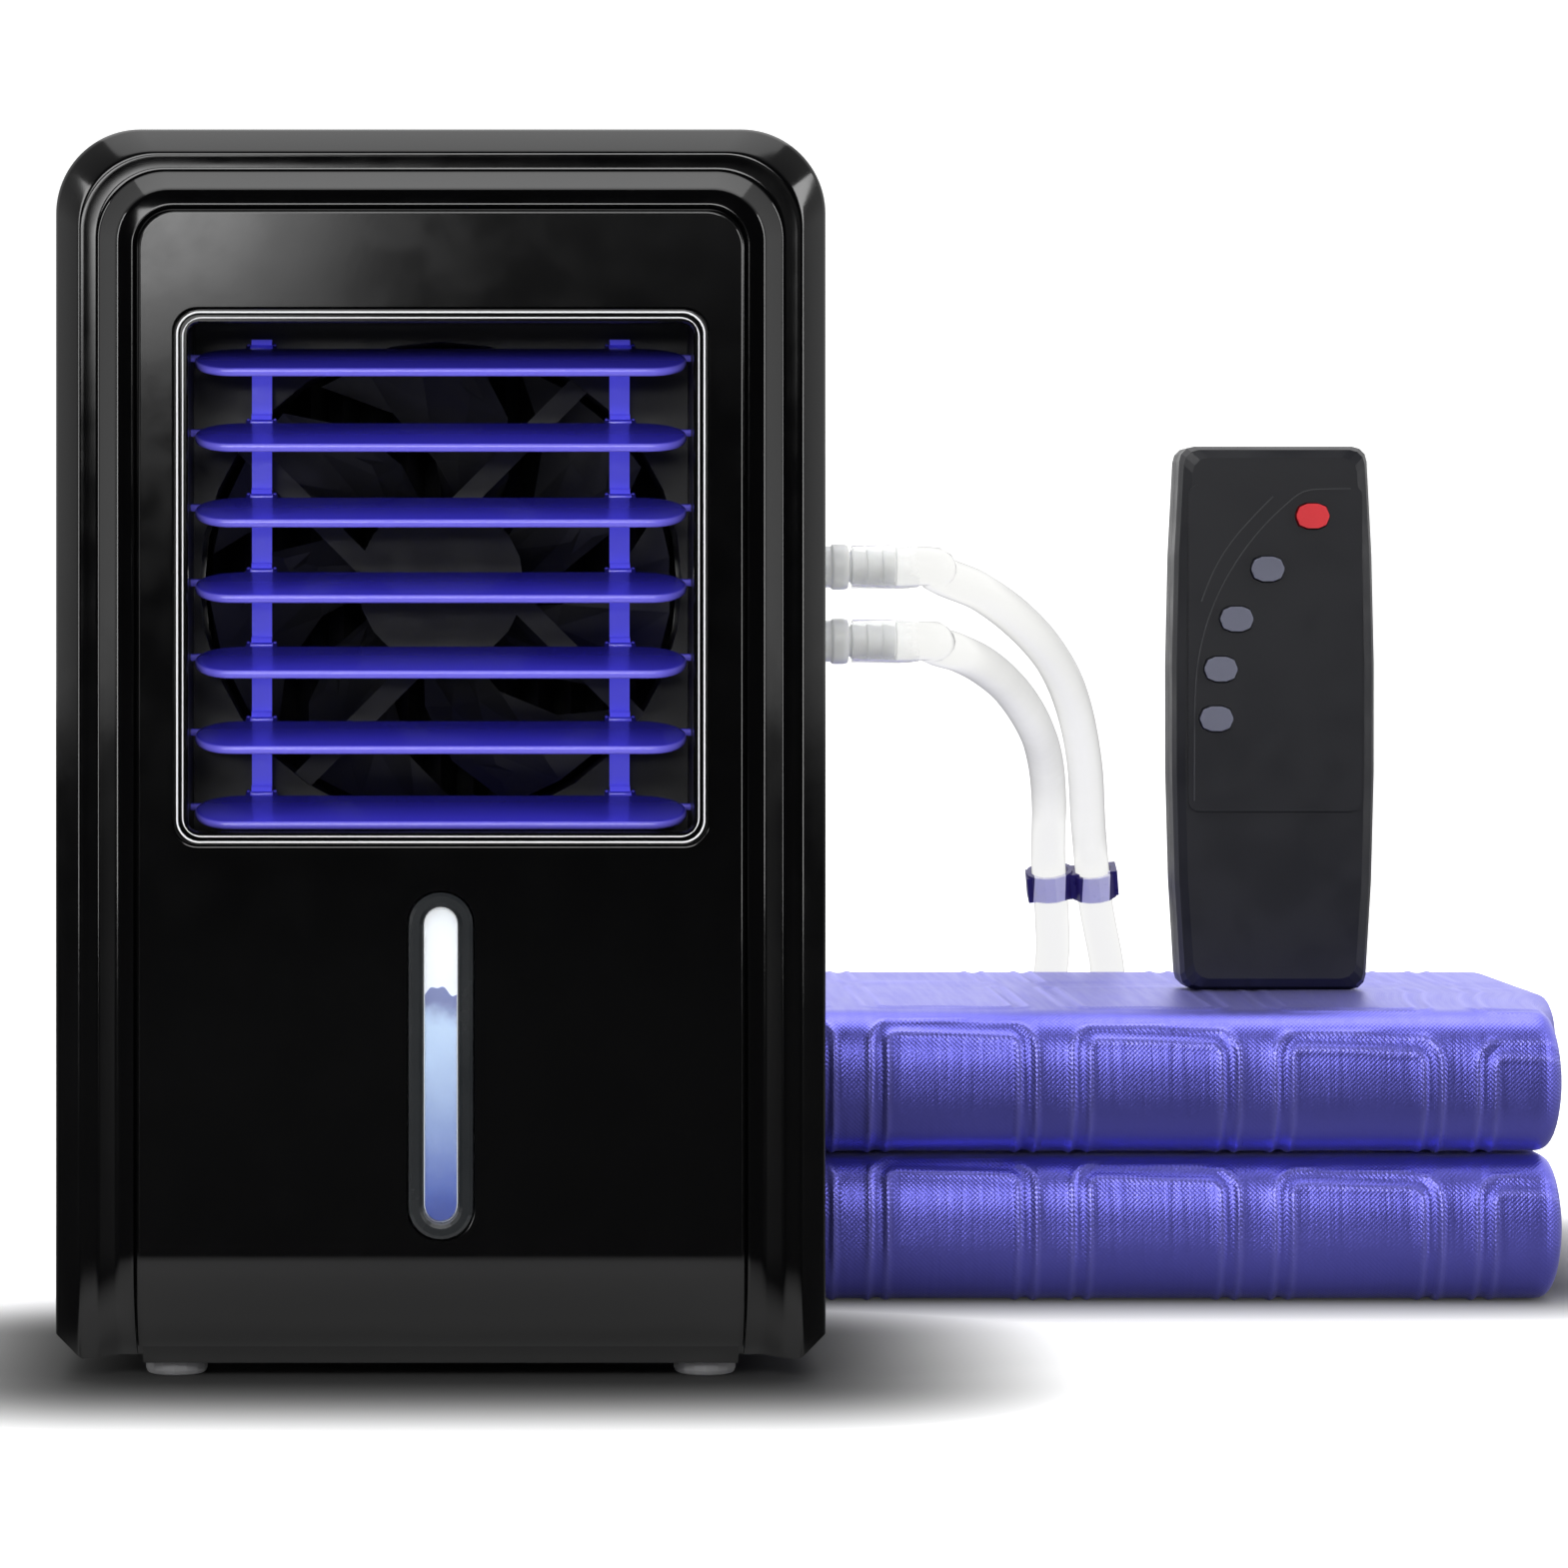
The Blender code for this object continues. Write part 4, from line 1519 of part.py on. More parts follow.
def make_all():
    """Build every piece of the set."""
    make_front_bezel()
    make_front_panel()
    make_window_trim()
    make_louver_frame()
    for number, height in enumerate(pivot_heights(), 1):
        make_louver_blade(number, height)
    make_louver_link("left", -1)
    make_louver_link("right", 1)
    make_fan_frame()
    make_fan_motor()
    make_fan_rotor()
    make_evaporative_wick()
    make_water_tank()
    make_gauge_bezel()
    make_gauge_lens()
    make_main_housing()
    make_filler_lid()
    make_rear_cover()
    make_dc_inlet()
    make_pump_body()
    make_pump_impeller()
    make_port("supply_port", SUPPLY_PORT_Z)
    make_port("return_port", RETURN_PORT_Z)
    make_inner_tubes()
    make_boards()
    make_feet()
    make_mattress_pad()
    routes = make_hoses()
    make_hose_clip(routes)
    make_nozzles(routes)
    make_remote()


if __name__ == "__main__":
    make_all()
    # The set's origin is the middle of its footprint, on the table
    pad_end = PAD_BACK_Y + GAP + NOZZLE_LENGTH
    ASSEMBLY.location = (-(PAD_RIGHT - HALF_WIDTH) / 2, -(pad_end - TRIM_PROUD) / 2, 0.0)
    print("assembly shift", tuple(ASSEMBLY.location))
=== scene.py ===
"""Water cooling mattress pad: studio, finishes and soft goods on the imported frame. Metres, +Z up."""

import json
import logging
import math
from dataclasses import dataclass
from enum import Enum

import bmesh
import bpy
import numpy as np
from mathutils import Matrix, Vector, noise

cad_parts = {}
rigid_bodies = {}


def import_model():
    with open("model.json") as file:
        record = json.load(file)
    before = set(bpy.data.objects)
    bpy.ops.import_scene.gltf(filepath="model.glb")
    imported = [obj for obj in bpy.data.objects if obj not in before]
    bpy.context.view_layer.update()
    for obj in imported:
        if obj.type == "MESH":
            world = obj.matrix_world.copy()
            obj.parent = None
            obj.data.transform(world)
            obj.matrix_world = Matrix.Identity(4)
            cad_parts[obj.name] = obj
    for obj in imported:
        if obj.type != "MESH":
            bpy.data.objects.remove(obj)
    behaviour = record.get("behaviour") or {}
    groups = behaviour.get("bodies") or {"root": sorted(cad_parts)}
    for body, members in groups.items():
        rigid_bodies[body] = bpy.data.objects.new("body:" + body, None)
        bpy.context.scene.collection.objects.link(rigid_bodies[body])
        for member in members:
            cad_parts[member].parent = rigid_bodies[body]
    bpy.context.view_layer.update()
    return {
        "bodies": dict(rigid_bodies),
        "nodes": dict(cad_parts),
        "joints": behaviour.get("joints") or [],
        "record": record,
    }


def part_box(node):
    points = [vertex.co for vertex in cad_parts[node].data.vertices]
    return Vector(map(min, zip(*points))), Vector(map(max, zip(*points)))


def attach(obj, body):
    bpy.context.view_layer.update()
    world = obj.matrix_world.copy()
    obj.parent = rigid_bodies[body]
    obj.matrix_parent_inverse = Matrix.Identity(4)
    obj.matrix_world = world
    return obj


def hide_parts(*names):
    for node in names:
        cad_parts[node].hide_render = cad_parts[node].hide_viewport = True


LOG = logging.getLogger("mattress_pad_scene")
SHIFT = Vector((-0.1018, -0.15485, 0.0))
Colour = tuple[float, float, float]


def placed(x: float, y: float, z: float) -> Vector:
    """Frame place of a point that is given from the cabinet's front foot centre line.

    Args:
        x: Metres to the right of the cabinet's middle.
        y: Metres behind the cabinet's front.
        z: Metres above the table.

    Returns:
        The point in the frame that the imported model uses.
    """
    return Vector((x, y, z)) + SHIFT


class Shade:
    """A new material with its shader and short calls that fill its tree."""

    def __init__(self, name: str) -> None:
        """Start a node material called name."""
        self.material = bpy.data.materials.new(name)
        self.material.use_nodes = True
        self.tree = self.material.node_tree
        self.shader = self.tree.nodes["Principled BSDF"]
        self.place = self.tree.nodes.new("ShaderNodeTexCoord").outputs["Object"]

    def add(self, kind: str, inputs: dict | None = None, **settings: object) -> bpy.types.Node:
        """Add a node.

        Args:
            kind: The node's type name without its ShaderNode prefix.
            inputs: Socket names or numbers with a value or an output socket for each.
            settings: The node's own settings.

        Returns:
            The new node.
        """
        node = self.tree.nodes.new("ShaderNode" + kind)
        for key, value in settings.items():
            setattr(node, key, value)
        for key, value in (inputs or {}).items():
            if isinstance(value, bpy.types.NodeSocket):
                self.tree.links.new(value, node.inputs[key])
            else:
                node.inputs[key].default_value = value
        return node

    def maths(self, operation: str, *values: object) -> bpy.types.NodeSocket:
        """Result of one arithmetic step on numbers or sockets."""
        return self.add("Math", dict(enumerate(values)), operation=operation).outputs[0]

    def ramp(self, value: bpy.types.NodeSocket, low: float, high: float, start: float,
             end: float) -> bpy.types.NodeSocket:
        """Number that goes smoothly from start to end as value goes from low to high."""
        node = self.add("MapRange", {"Value": value, "From Min": low, "From Max": high, "To Min": start, "To Max": end})
        node.interpolation_type = "SMOOTHSTEP"
        return node.outputs["Result"]

    def blend(self, share: bpy.types.NodeSocket, first: object, second: object) -> bpy.types.NodeSocket:
        """Colour between two colours, or two sockets, by a share."""
        node = self.add("Mix", {"Factor": share}, data_type="RGBA")
        for socket, value in ((node.inputs[6], first), (node.inputs[7], second)):
            if isinstance(value, bpy.types.NodeSocket):
                self.tree.links.new(value, socket)
            else:
                socket.default_value = (*value, 1.0)
        return node.outputs[2]

    def cloud(self, scale: float, detail: float = 2.0,
              place: bpy.types.NodeSocket | None = None) -> bpy.types.NodeSocket:
        """Soft noise from 0 to 1 in the material's place."""
        return self.add("TexNoise", {"Vector": place or self.place, "Scale": scale, "Detail": detail}).outputs["Fac"]

    def axis(self, name: str) -> bpy.types.NodeSocket:
        """One coordinate of the surface point, "X", "Y" or "Z"."""
        return self.add("SeparateXYZ", {0: self.place}).outputs[name]

    def feed(self, socket: str, value: object) -> None:
        """Give the shader's socket a value or link an output to it."""
        target = self.shader.inputs[socket]
        if isinstance(value, bpy.types.NodeSocket):
            self.tree.links.new(value, target)
        else:
            target.default_value = (*value, 1.0) if target.type == "RGBA" else value

    def relief(self, height: bpy.types.NodeSocket, depth: float,
               under: bpy.types.NodeSocket | None = None) -> bpy.types.NodeSocket:
        """Surface normal with a height of so many metres pressed into it."""
        node = self.add("Bump", {"Height": height, "Distance": depth, "Strength": 1.0})
        if under:
            self.tree.links.new(under, node.inputs["Normal"])
        self.tree.links.new(node.outputs["Normal"], self.shader.inputs["Normal"])
        return node.outputs["Normal"]


@dataclass(frozen=True)
class Moulding:
    """A moulded, painted or cast surface with clouded colour, uneven gloss and a fine grain."""

    name: str
    dark: Colour
    light: Colour
    roughness: tuple[float, float]
    grain: float = 700.0
    grain_depth: float = 0.00002
    clouds: float = 22.0
    coat: float = 0.0
    metallic: float = 0.0
    transmission: float = 0.0
    ior: float = 1.47
    subsurface: float = 0.0
    # glow: emission strength in the light colour, a painted glow that stands in for light; none of these parts is a
    # lamp
    glow: float = 0.0

    def make(self) -> bpy.types.Material:
        """Build the material."""
        shade = Shade(self.name)
        cloud = shade.cloud(self.clouds, 3.0)
        shade.feed("Base Color", shade.blend(cloud, self.dark, self.light))
        shade.feed("Roughness", shade.ramp(shade.cloud(self.clouds * 4, 4.0), 0.3, 0.7, *self.roughness))
        shade.feed("Metallic", self.metallic)
        shade.feed("Transmission Weight", self.transmission)
        shade.feed("IOR", self.ior)
        # Painted glow: the surface emits its light colour at the glow strength.
        shade.feed("Emission Color", self.light)
        shade.feed("Emission Strength", self.glow)
        shade.feed("Coat Weight", self.coat)
        shade.feed("Coat Roughness", 0.04)
        if self.subsurface:
            shade.feed("Subsurface Weight", self.subsurface)
            shade.feed("Subsurface Radius", (0.004, 0.004, 0.005))
            shade.feed("Subsurface Scale", 1.0)
        shade.relief(shade.cloud(self.grain, 2.0), self.grain_depth)
        return shade.material


CABINET_GLOSS = Moulding("cabinet_gloss", (0.0008, 0.0008, 0.0009), (0.0014, 0.0014, 0.0016), (0.07, 0.11),
                         grain_depth=0.000001, ior=1.45)
RIM_GREY = Moulding("rim_grey", (0.010, 0.012, 0.014), (0.016, 0.018, 0.02), (0.2, 0.28), grain_depth=0.000004)
CABINET_SATIN = Moulding("cabinet_satin", (0.006, 0.006, 0.007), (0.012, 0.012, 0.014), (0.34, 0.46))
FAN_PLASTIC = Moulding("fan_plastic", (0.012, 0.012, 0.013), (0.022, 0.022, 0.024), (0.38, 0.5))
# Painted glow: the links emit violet light that lifts them out of the louvre tunnel's shade.
LINK_VIOLET = Moulding("link_violet", (0.09, 0.08, 0.80), (0.11, 0.10, 0.92), (0.2, 0.27), coat=0.35, glow=0.3)
# Painted highlight: the beads are painted near-white so that they read as bright lines whatever they face.
BRIGHT_BEAD = Moulding("bright_bead", (0.80, 0.80, 0.82), (0.88, 0.88, 0.90), (0.2, 0.3), coat=0.5,
                       grain_depth=0.000002)
PLAIN_STEEL = Moulding("plain_steel", (0.45, 0.46, 0.48), (0.6, 0.61, 0.63), (0.22, 0.34), metallic=1.0)
FOOT_SILICONE = Moulding("foot_silicone", (0.22, 0.22, 0.23), (0.32, 0.32, 0.33), (0.4, 0.52),
                         transmission=0.25, subsurface=0.3)
CLEAR_STYRENE = Moulding("clear_styrene", (0.9, 0.93, 0.95), (0.96, 0.98, 1.0), (0.04, 0.08),
                         transmission=0.95, grain_depth=0.000003)
# Small painted glow on the milky fittings.
MILKY_FITTING = Moulding("milky_fitting", (0.72, 0.73, 0.73), (0.80, 0.81, 0.81), (0.28, 0.4),
                         transmission=0.2, subsurface=0.3, glow=0.05)
TANK_MILKY = Moulding("tank_milky", (0.30, 0.31, 0.32), (0.36, 0.37, 0.38), (0.35, 0.45), transmission=0.2)
# Small painted glow on the stretched hose ends.
HOSE_SLEEVE = Moulding("hose_sleeve", (0.90, 0.91, 0.91), (0.95, 0.95, 0.95), (0.12, 0.2), transmission=0.86, ior=1.12,
                       grain_depth=0.000002, glow=0.05)
ARC_GREY = Moulding("arc_grey", (0.035, 0.036, 0.04), (0.05, 0.052, 0.056), (0.4, 0.5))
WICK_PAPER = Moulding("wick_paper", (0.012, 0.012, 0.014), (0.022, 0.022, 0.025), (0.8, 0.92), grain=420.0,
                      grain_depth=0.0002)
BOARD_GREEN = Moulding("board_green", (0.01, 0.10, 0.04), (0.02, 0.15, 0.06), (0.3, 0.4))
REMOTE_SHELL = Moulding("remote_shell", (0.004, 0.0045, 0.0075), (0.006, 0.0066, 0.0105), (0.38, 0.48), grain=1400.0)
KEY_GREY = Moulding("key_grey", (0.10, 0.105, 0.15), (0.14, 0.145, 0.19), (0.5, 0.62), subsurface=0.2)
KEY_RED = Moulding("key_red", (0.55, 0.012, 0.02), (0.68, 0.02, 0.03), (0.45, 0.55), subsurface=0.2)
BATTERY_FOIL = Moulding("battery_foil", (0.02, 0.05, 0.16), (0.03, 0.07, 0.2), (0.3, 0.4), metallic=0.3)


class Studio:
    """Camera, lamps, world and the pale table top."""

    lens: float = 117.8
    shift: tuple[float, float] = (0.2189, -0.1176)
    glow_ramps = (("Z", (0.035, 0.085, 0.0, 10.5)), ("Z", (0.15, 0.095, 0.0, 1.0)),
                  ("X", (-0.004, -0.062, 0.02, 1.0)), ("Y", (-0.93, -0.97, 0.0, 1.0)))
    # Rectangles (x, y, half x, half y) on the table: the cabinet's and the pad's footprints, round which the table gets
    # a painted shadow, and the patch in front of the cabinet that glossy rays see bright as a painted reflection.
    shadow_footprints = ((0.0, 0.045, 0.078, 0.037), (0.13, 0.235, 0.15, 0.053))
    reflection_patch = (-0.01, -0.03, 0.07, 0.03)

    def camera(self) -> None:
        """Set the camera where the photograph was taken from."""
        data = bpy.data.cameras.new("camera")
        data.lens, data.sensor_width = self.lens, 36.0
        data.shift_x, data.shift_y = self.shift
        data.clip_end = 50.0
        camera = bpy.data.objects.new("camera", data)
        camera.location = placed(0.0, -1.2, 0.1843)
        camera.rotation_euler = (math.pi / 2, 0.0, 0.0)
        bpy.context.scene.collection.objects.link(camera)
        bpy.context.scene.camera = camera

    def lamp(self, name: str, place: Vector, aim: Vector, size: tuple[float, float], power: float) -> None:
        """Add a soft rectangular lamp.

        Args:
            name: The lamp's name.
            place: Where it hangs.
            aim: The point that it faces.
            size: Width and height in metres.
            power: Watts.
        """
        data = bpy.data.lights.new(name, "AREA")
        data.shape, data.size, data.size_y, data.energy = "RECTANGLE", *size, power
        lamp = bpy.data.objects.new(name, data)
        lamp.location = place
        lamp.rotation_euler = (aim - place).to_track_quat("-Z", "Y").to_euler()
        bpy.context.scene.collection.objects.link(lamp)

    def lamps(self) -> None:
        """Hang the overhead box, the high front box and the two side strips."""
        middle = placed(0.10, 0.05, 0.12)
        self.lamp("overhead", placed(0.10, 0.25, 1.9), middle, (2.2, 1.8), 24.0)
        self.lamp("front_high", placed(-0.25, -1.9, 1.0), middle, (1.5, 0.55), 21.0)
        self.lamp("left_strip", placed(-1.5, -0.7, 0.5), middle, (0.22, 1.4), 8.0)
        self.lamp("right_strip", placed(1.6, -0.6, 0.5), middle, (0.22, 1.4), 8.0)

    def world(self) -> None:
        """White surroundings, dark only behind the camera where glossy faces mirror them."""
        world = bpy.data.worlds.new("studio")
        bpy.context.scene.world = world
        world.use_nodes = True
        tree = world.node_tree
        new, link = tree.nodes.new, tree.links.new
        path, way = new("ShaderNodeLightPath"), new("ShaderNodeTexCoord")
        split, ramp, back = new("ShaderNodeSeparateXYZ"), new("ShaderNodeMapRange"), new("ShaderNodeMix")
        link(way.outputs["Generated"], split.inputs[0])
        link(split.outputs["Y"], ramp.inputs["Value"])
        ramp.interpolation_type = "SMOOTHSTEP"
        for name, value in (("From Min", -0.55), ("From Max", 0.1), ("To Min", 0.006), ("To Max", 1.3)):
            ramp.inputs[name].default_value = value
        glow = None
        for axis, ends in self.glow_ramps:
            part, product = new("ShaderNodeMapRange"), new("ShaderNodeMath")
            part.interpolation_type, product.operation = "SMOOTHSTEP", "MULTIPLY"
            link(split.outputs[axis], part.inputs["Value"])
            for name, value in zip(("From Min", "From Max", "To Min", "To Max"), ends):
                part.inputs[name].default_value = value
            link(part.outputs["Result"], product.inputs[0])
            product.inputs[1].default_value = 1.0
            if glow:
                link(glow, product.inputs[1])
            glow = product.outputs[0]
        sum_up = new("ShaderNodeMath")
        sum_up.operation = "ADD"
        link(glow, sum_up.inputs[0])
        link(ramp.outputs["Result"], sum_up.inputs[1])
        seen, clear = new("ShaderNodeMath"), new("ShaderNodeMath")
        seen.operation, clear.operation = "MAXIMUM", "MAXIMUM"
        link(path.outputs["Is Camera Ray"], seen.inputs[0])
        link(path.outputs["Is Transmission Ray"], seen.inputs[1])
        link(seen.outputs[0], clear.inputs[0])
        link(sum_up.outputs[0], clear.inputs[1])
        link(path.outputs["Is Diffuse Ray"], back.inputs[0])
        link(clear.outputs[0], back.inputs[2])
        back.inputs[3].default_value = 0.30
        link(back.outputs[0], tree.nodes["Background"].inputs["Strength"])
        tree.nodes["Background"].inputs["Color"].default_value = (1.0, 1.0, 1.0, 1.0)

    def away(self, shade: Shade, x: float, y: float, half_x: float, half_y: float) -> bpy.types.NodeSocket:
        """Distance on the table from a rectangle that something stands on."""
        middle = placed(x, y, 0.0)
        over = [shade.maths("MAXIMUM", shade.maths("SUBTRACT", shade.maths("ABSOLUTE", shade.maths(
            "SUBTRACT", shade.axis(axis), value)), half), 0.0) for axis, value, half in (("X", middle.x, half_x),
                                                                                           ("Y", middle.y, half_y))]
        squares = [shade.maths("POWER", value, 2.0) for value in over]
        return shade.maths("SQRT", shade.maths("ADD", *squares))

    def table(self) -> None:
        """Lay the pale table top, with a painted shadow round the footprints of the cabinet and the pad and a painted
        reflection for glossy rays: darker colour and no lift by the footprints, lifted to white further out by emission
        that only the camera sees; glossy rays see it bright near the front patch, dark in front and greyer behind.
        """
        form = bmesh.new()
        bmesh.ops.create_grid(form, x_segments=2, y_segments=2, size=9.0)
        data = bpy.data.meshes.new("table_top")
        form.to_mesh(data)
        form.free()
        top = bpy.data.objects.new("table_top", data)
        bpy.context.scene.collection.objects.link(top)
        shade = Shade("table_painted_shadow")
        path = shade.add("LightPath")
        # Painted shadow: the distance from the nearest footprint sets the table's colour and its lift.
        gaps = [self.away(shade, *footprint) for footprint in self.shadow_footprints]
        near = shade.maths("MINIMUM", *gaps)
        from_reflection_patch = self.away(shade, *self.reflection_patch)
        # Painted reflection: what glossy rays see of the table, bright near the front patch, dark in front and greyer
        # behind.
        behind = shade.ramp(shade.axis("Y"), placed(0.0, -0.02, 0.0).y, placed(0.0, 0.10, 0.0).y, 0.0, 1.0)
        far = shade.blend(behind, (0.01, 0.01, 0.01), (0.30, 0.30, 0.30))
        painted_reflection = shade.blend(shade.ramp(from_reflection_patch, 0.0, 0.1, 0.0, 1.0), (0.9, 0.9, 0.9), far)
        # reach: 0 at the footprints, 1 some 11 cm out; the painted shadow fades out along it.
        reach = shade.ramp(near, -0.002, 0.115, 0.0, 1.0)
        pale = shade.blend(reach, (0.05, 0.05, 0.05), (0.84, 0.84, 0.84))
        shade.feed("Base Color", shade.blend(path.outputs["Is Glossy Ray"], pale, painted_reflection))
        shade.feed("Roughness", 0.9)
        shade.feed("Specular IOR Level", 0.1)
        # Camera-only emission lifts the table to white away from the footprints and leaves the painted shadow by them.
        lift = shade.maths("POWER", reach, 2.0)
        shade.feed("Emission Color", (1.0, 1.0, 1.0))
        shade.feed("Emission Strength", shade.maths("MULTIPLY", path.outputs["Is Camera Ray"], lift))
        top.data.materials.append(shade.material)

    def build(self) -> None:
        """Set the whole studio up."""
        self.camera()
        self.lamps()
        self.world()
        self.table()
        bpy.context.scene.view_settings.view_transform = "Standard"


@dataclass
class Hose:
    """One clear hose from its port, through the stored coil, to the pad's nozzle."""

    label: str
    way: tuple[tuple[float, float, float], ...]
    port_height: float
    coil_x: float
    hand: int
    coil_y: float = 0.390
    diameter: float = 0.010
    inner_radius: float = 0.044
    pitch: float = 0.0108
    layer: float = 0.0106
    turns: float = 2.75
    inward: float = 1.25
    reversal: float = 1.5
    reversal_ease: float = 0.06
    points_per_turn: int = 24
    port_tip: float = 0.1155
    port_y: float = 0.105
    nozzle_y: float = 0.3103
    nozzle_z: float = 0.0192
    gap: float = 0.0003

    def coil(self) -> list[Vector]:
        """Centre line of the stored loops: in on top, down a layer, out on the table."""
        points = []
        for index in range(round(self.turns * self.points_per_turn) + 1):
            turn = index / self.points_per_turn
            radius = self.inner_radius + self.pitch * math.hypot(turn - self.reversal, self.reversal_ease)
            fall = min(1.0, max(0.0, (turn - self.inward) / 0.5))
            height = self.diameter / 2 + self.layer * (1 + math.cos(math.pi * fall)) / 2
            angle = math.tau * turn - math.pi / 2
            points.append(Vector((self.coil_x + self.hand * radius * math.cos(angle),
                                  self.coil_y + radius * math.sin(angle), height)))
        return points

    def route(self) -> list[Vector]:
        """Centre line of the whole hose in the frame's place."""
        coil = self.coil()
        start = Vector((self.port_tip + self.gap, self.port_y, self.port_height))
        lead = Vector((self.diameter, 0.0, 0.0))
        turn_in = coil[0] - self.hand * lead
        leave = coil[-1] - Vector((0.0, self.diameter, 0.0))
        tip = Vector((coil[-1].x, self.nozzle_y + self.gap, self.nozzle_z))
        rise = (leave + tip) / 2
        points = [start, start + lead, *(Vector(point) for point in self.way),
                  turn_in - self.hand * lead * 0.4, turn_in]
        points += [*coil, leave, rise, tip + Vector((0.0, self.diameter, 0.0)), tip]
        return [point + SHIFT for point in points]

    def build(self, finish: bpy.types.Material) -> bpy.types.Object:
        """Args:
            finish: The hose wall's material.

        Returns:
            The curve object.
        """
        points = self.route()
        curve = bpy.data.curves.new(f"{self.label}_hose", "CURVE")
        curve.dimensions, curve.bevel_depth, curve.bevel_resolution = "3D", self.diameter / 2, 6
        curve.use_fill_caps = True
        spline = curve.splines.new("BEZIER")
        spline.bezier_points.add(len(points) - 1)
        spline.resolution_u = 5
        last = len(points) - 1
        for index, (knot, point) in enumerate(zip(spline.bezier_points, points)):
            before, after = points[max(0, index - 1)], points[min(last, index + 1)]
            way = (after - before).normalized()
            knot.co = point
            knot.handle_left_type = knot.handle_right_type = "FREE"
            knot.handle_left = point - way * (point - before).length / 3
            knot.handle_right = point + way * (after - point).length / 3
        hose = bpy.data.objects.new(f"{self.label}_hose", curve)
        bpy.context.scene.collection.objects.link(hose)
        curve.materials.append(finish)
        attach(hose, "cooler")
        nodes = [f"hose_{self.label}_{part}" for part in ("run", "coil", "tail")]
        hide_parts(*nodes)
        return hose


def grid_object(name: str, points: np.ndarray, marks: tuple[np.ndarray, np.ndarray] | None = None,
                closed: bool = False) -> bpy.types.Object:
    """Mesh object whose faces join a grid of points, closed round each row.

    Args:
        name: The object's name.
        points: Rows of places, the last point of a row next to its first.
        marks: Places along and round that its "skin" map keeps, in metres.
        closed: Whether the first and last rows are sewn flat and doubles merged.

    Returns:
        The new object, linked to the scene.
    """
    rows, columns = points.shape[:2]
    turn = columns - 1 if np.linalg.norm(points[:, 0] - points[:, -1], axis=1).max() < 1e-7 else columns
    index = np.arange(rows * columns).reshape(rows, columns)
    after = np.roll(index, -1, axis=1)
    faces = np.stack([index[:-1], index[1:], after[1:], after[:-1]], axis=-1)[:, :turn].reshape(-1, 4)
    mesh = bpy.data.meshes.new(name)
    mesh.from_pydata(points.reshape(-1, 3).tolist(), [], faces.tolist())
    if marks:
        layer = mesh.uv_layers.new(name="skin")
        corners = np.empty(len(mesh.loops), dtype=np.int32)
        mesh.loops.foreach_get("vertex_index", corners)
        along, round_it = marks[0][corners // columns], marks[1][corners % columns]
        layer.data.foreach_set("uv", np.stack([along, round_it], axis=1).ravel())
    if closed:
        form = bmesh.new()
        form.from_mesh(mesh)
        bmesh.ops.remove_doubles(form, verts=form.verts, dist=0.00002)
        bmesh.ops.recalc_face_normals(form, faces=form.faces)
        form.to_mesh(mesh)
        form.free()
    mesh.polygons.foreach_set("use_smooth", [True] * len(mesh.polygons))
    thing = bpy.data.objects.new(name, mesh)
    bpy.context.scene.collection.objects.link(thing)
    return thing


def surface_normals(points: np.ndarray) -> np.ndarray:
    """Outward unit normals of a grid surface whose rows run round it."""
    along = np.gradient(points, axis=0)
    round_it = np.gradient(points, axis=1)
    normals = np.cross(round_it, along)
    return normals / np.maximum(np.linalg.norm(normals, axis=2), 1e-12)[:, :, None]


def resampled(values: np.ndarray, rows: np.ndarray, columns: np.ndarray, new_rows: np.ndarray,
              new_columns: np.ndarray) -> np.ndarray:
    """Smoothly read a grid of vectors at other places.

    Args:
        values: The vectors, one for each row and column place.
        rows: Places of the rows.
        columns: Places of the columns.
        new_rows: Wanted row places.
        new_columns: Wanted column places.

    Returns:
        The vectors at the wanted places.
    """

    def weights(places: np.ndarray, wanted: np.ndarray) -> np.ndarray:
        """Cubic weights of each given place for each wanted one."""
        step = places[1] - places[0]
        at = np.clip((wanted - places[0]) / step, 0, len(places) - 1.000001)
        base, table = np.floor(at).astype(int), np.zeros((len(wanted), len(places)))
        share = at - base
        for offset in (-1, 0, 1, 2):
            away = np.abs(share - offset)
            near = np.where(away < 1, 1.5 * away ** 3 - 2.5 * away ** 2 + 1,
                            np.where(away < 2, -0.5 * away ** 3 + 2.5 * away ** 2 - 4 * away + 2, 0.0))
            np.add.at(table, (np.arange(len(wanted)), np.clip(base + offset, 0, len(places) - 1)), near)
        return table

    return np.einsum("ri,ijk,cj->rck", weights(rows, new_rows), values, weights(columns, new_columns))


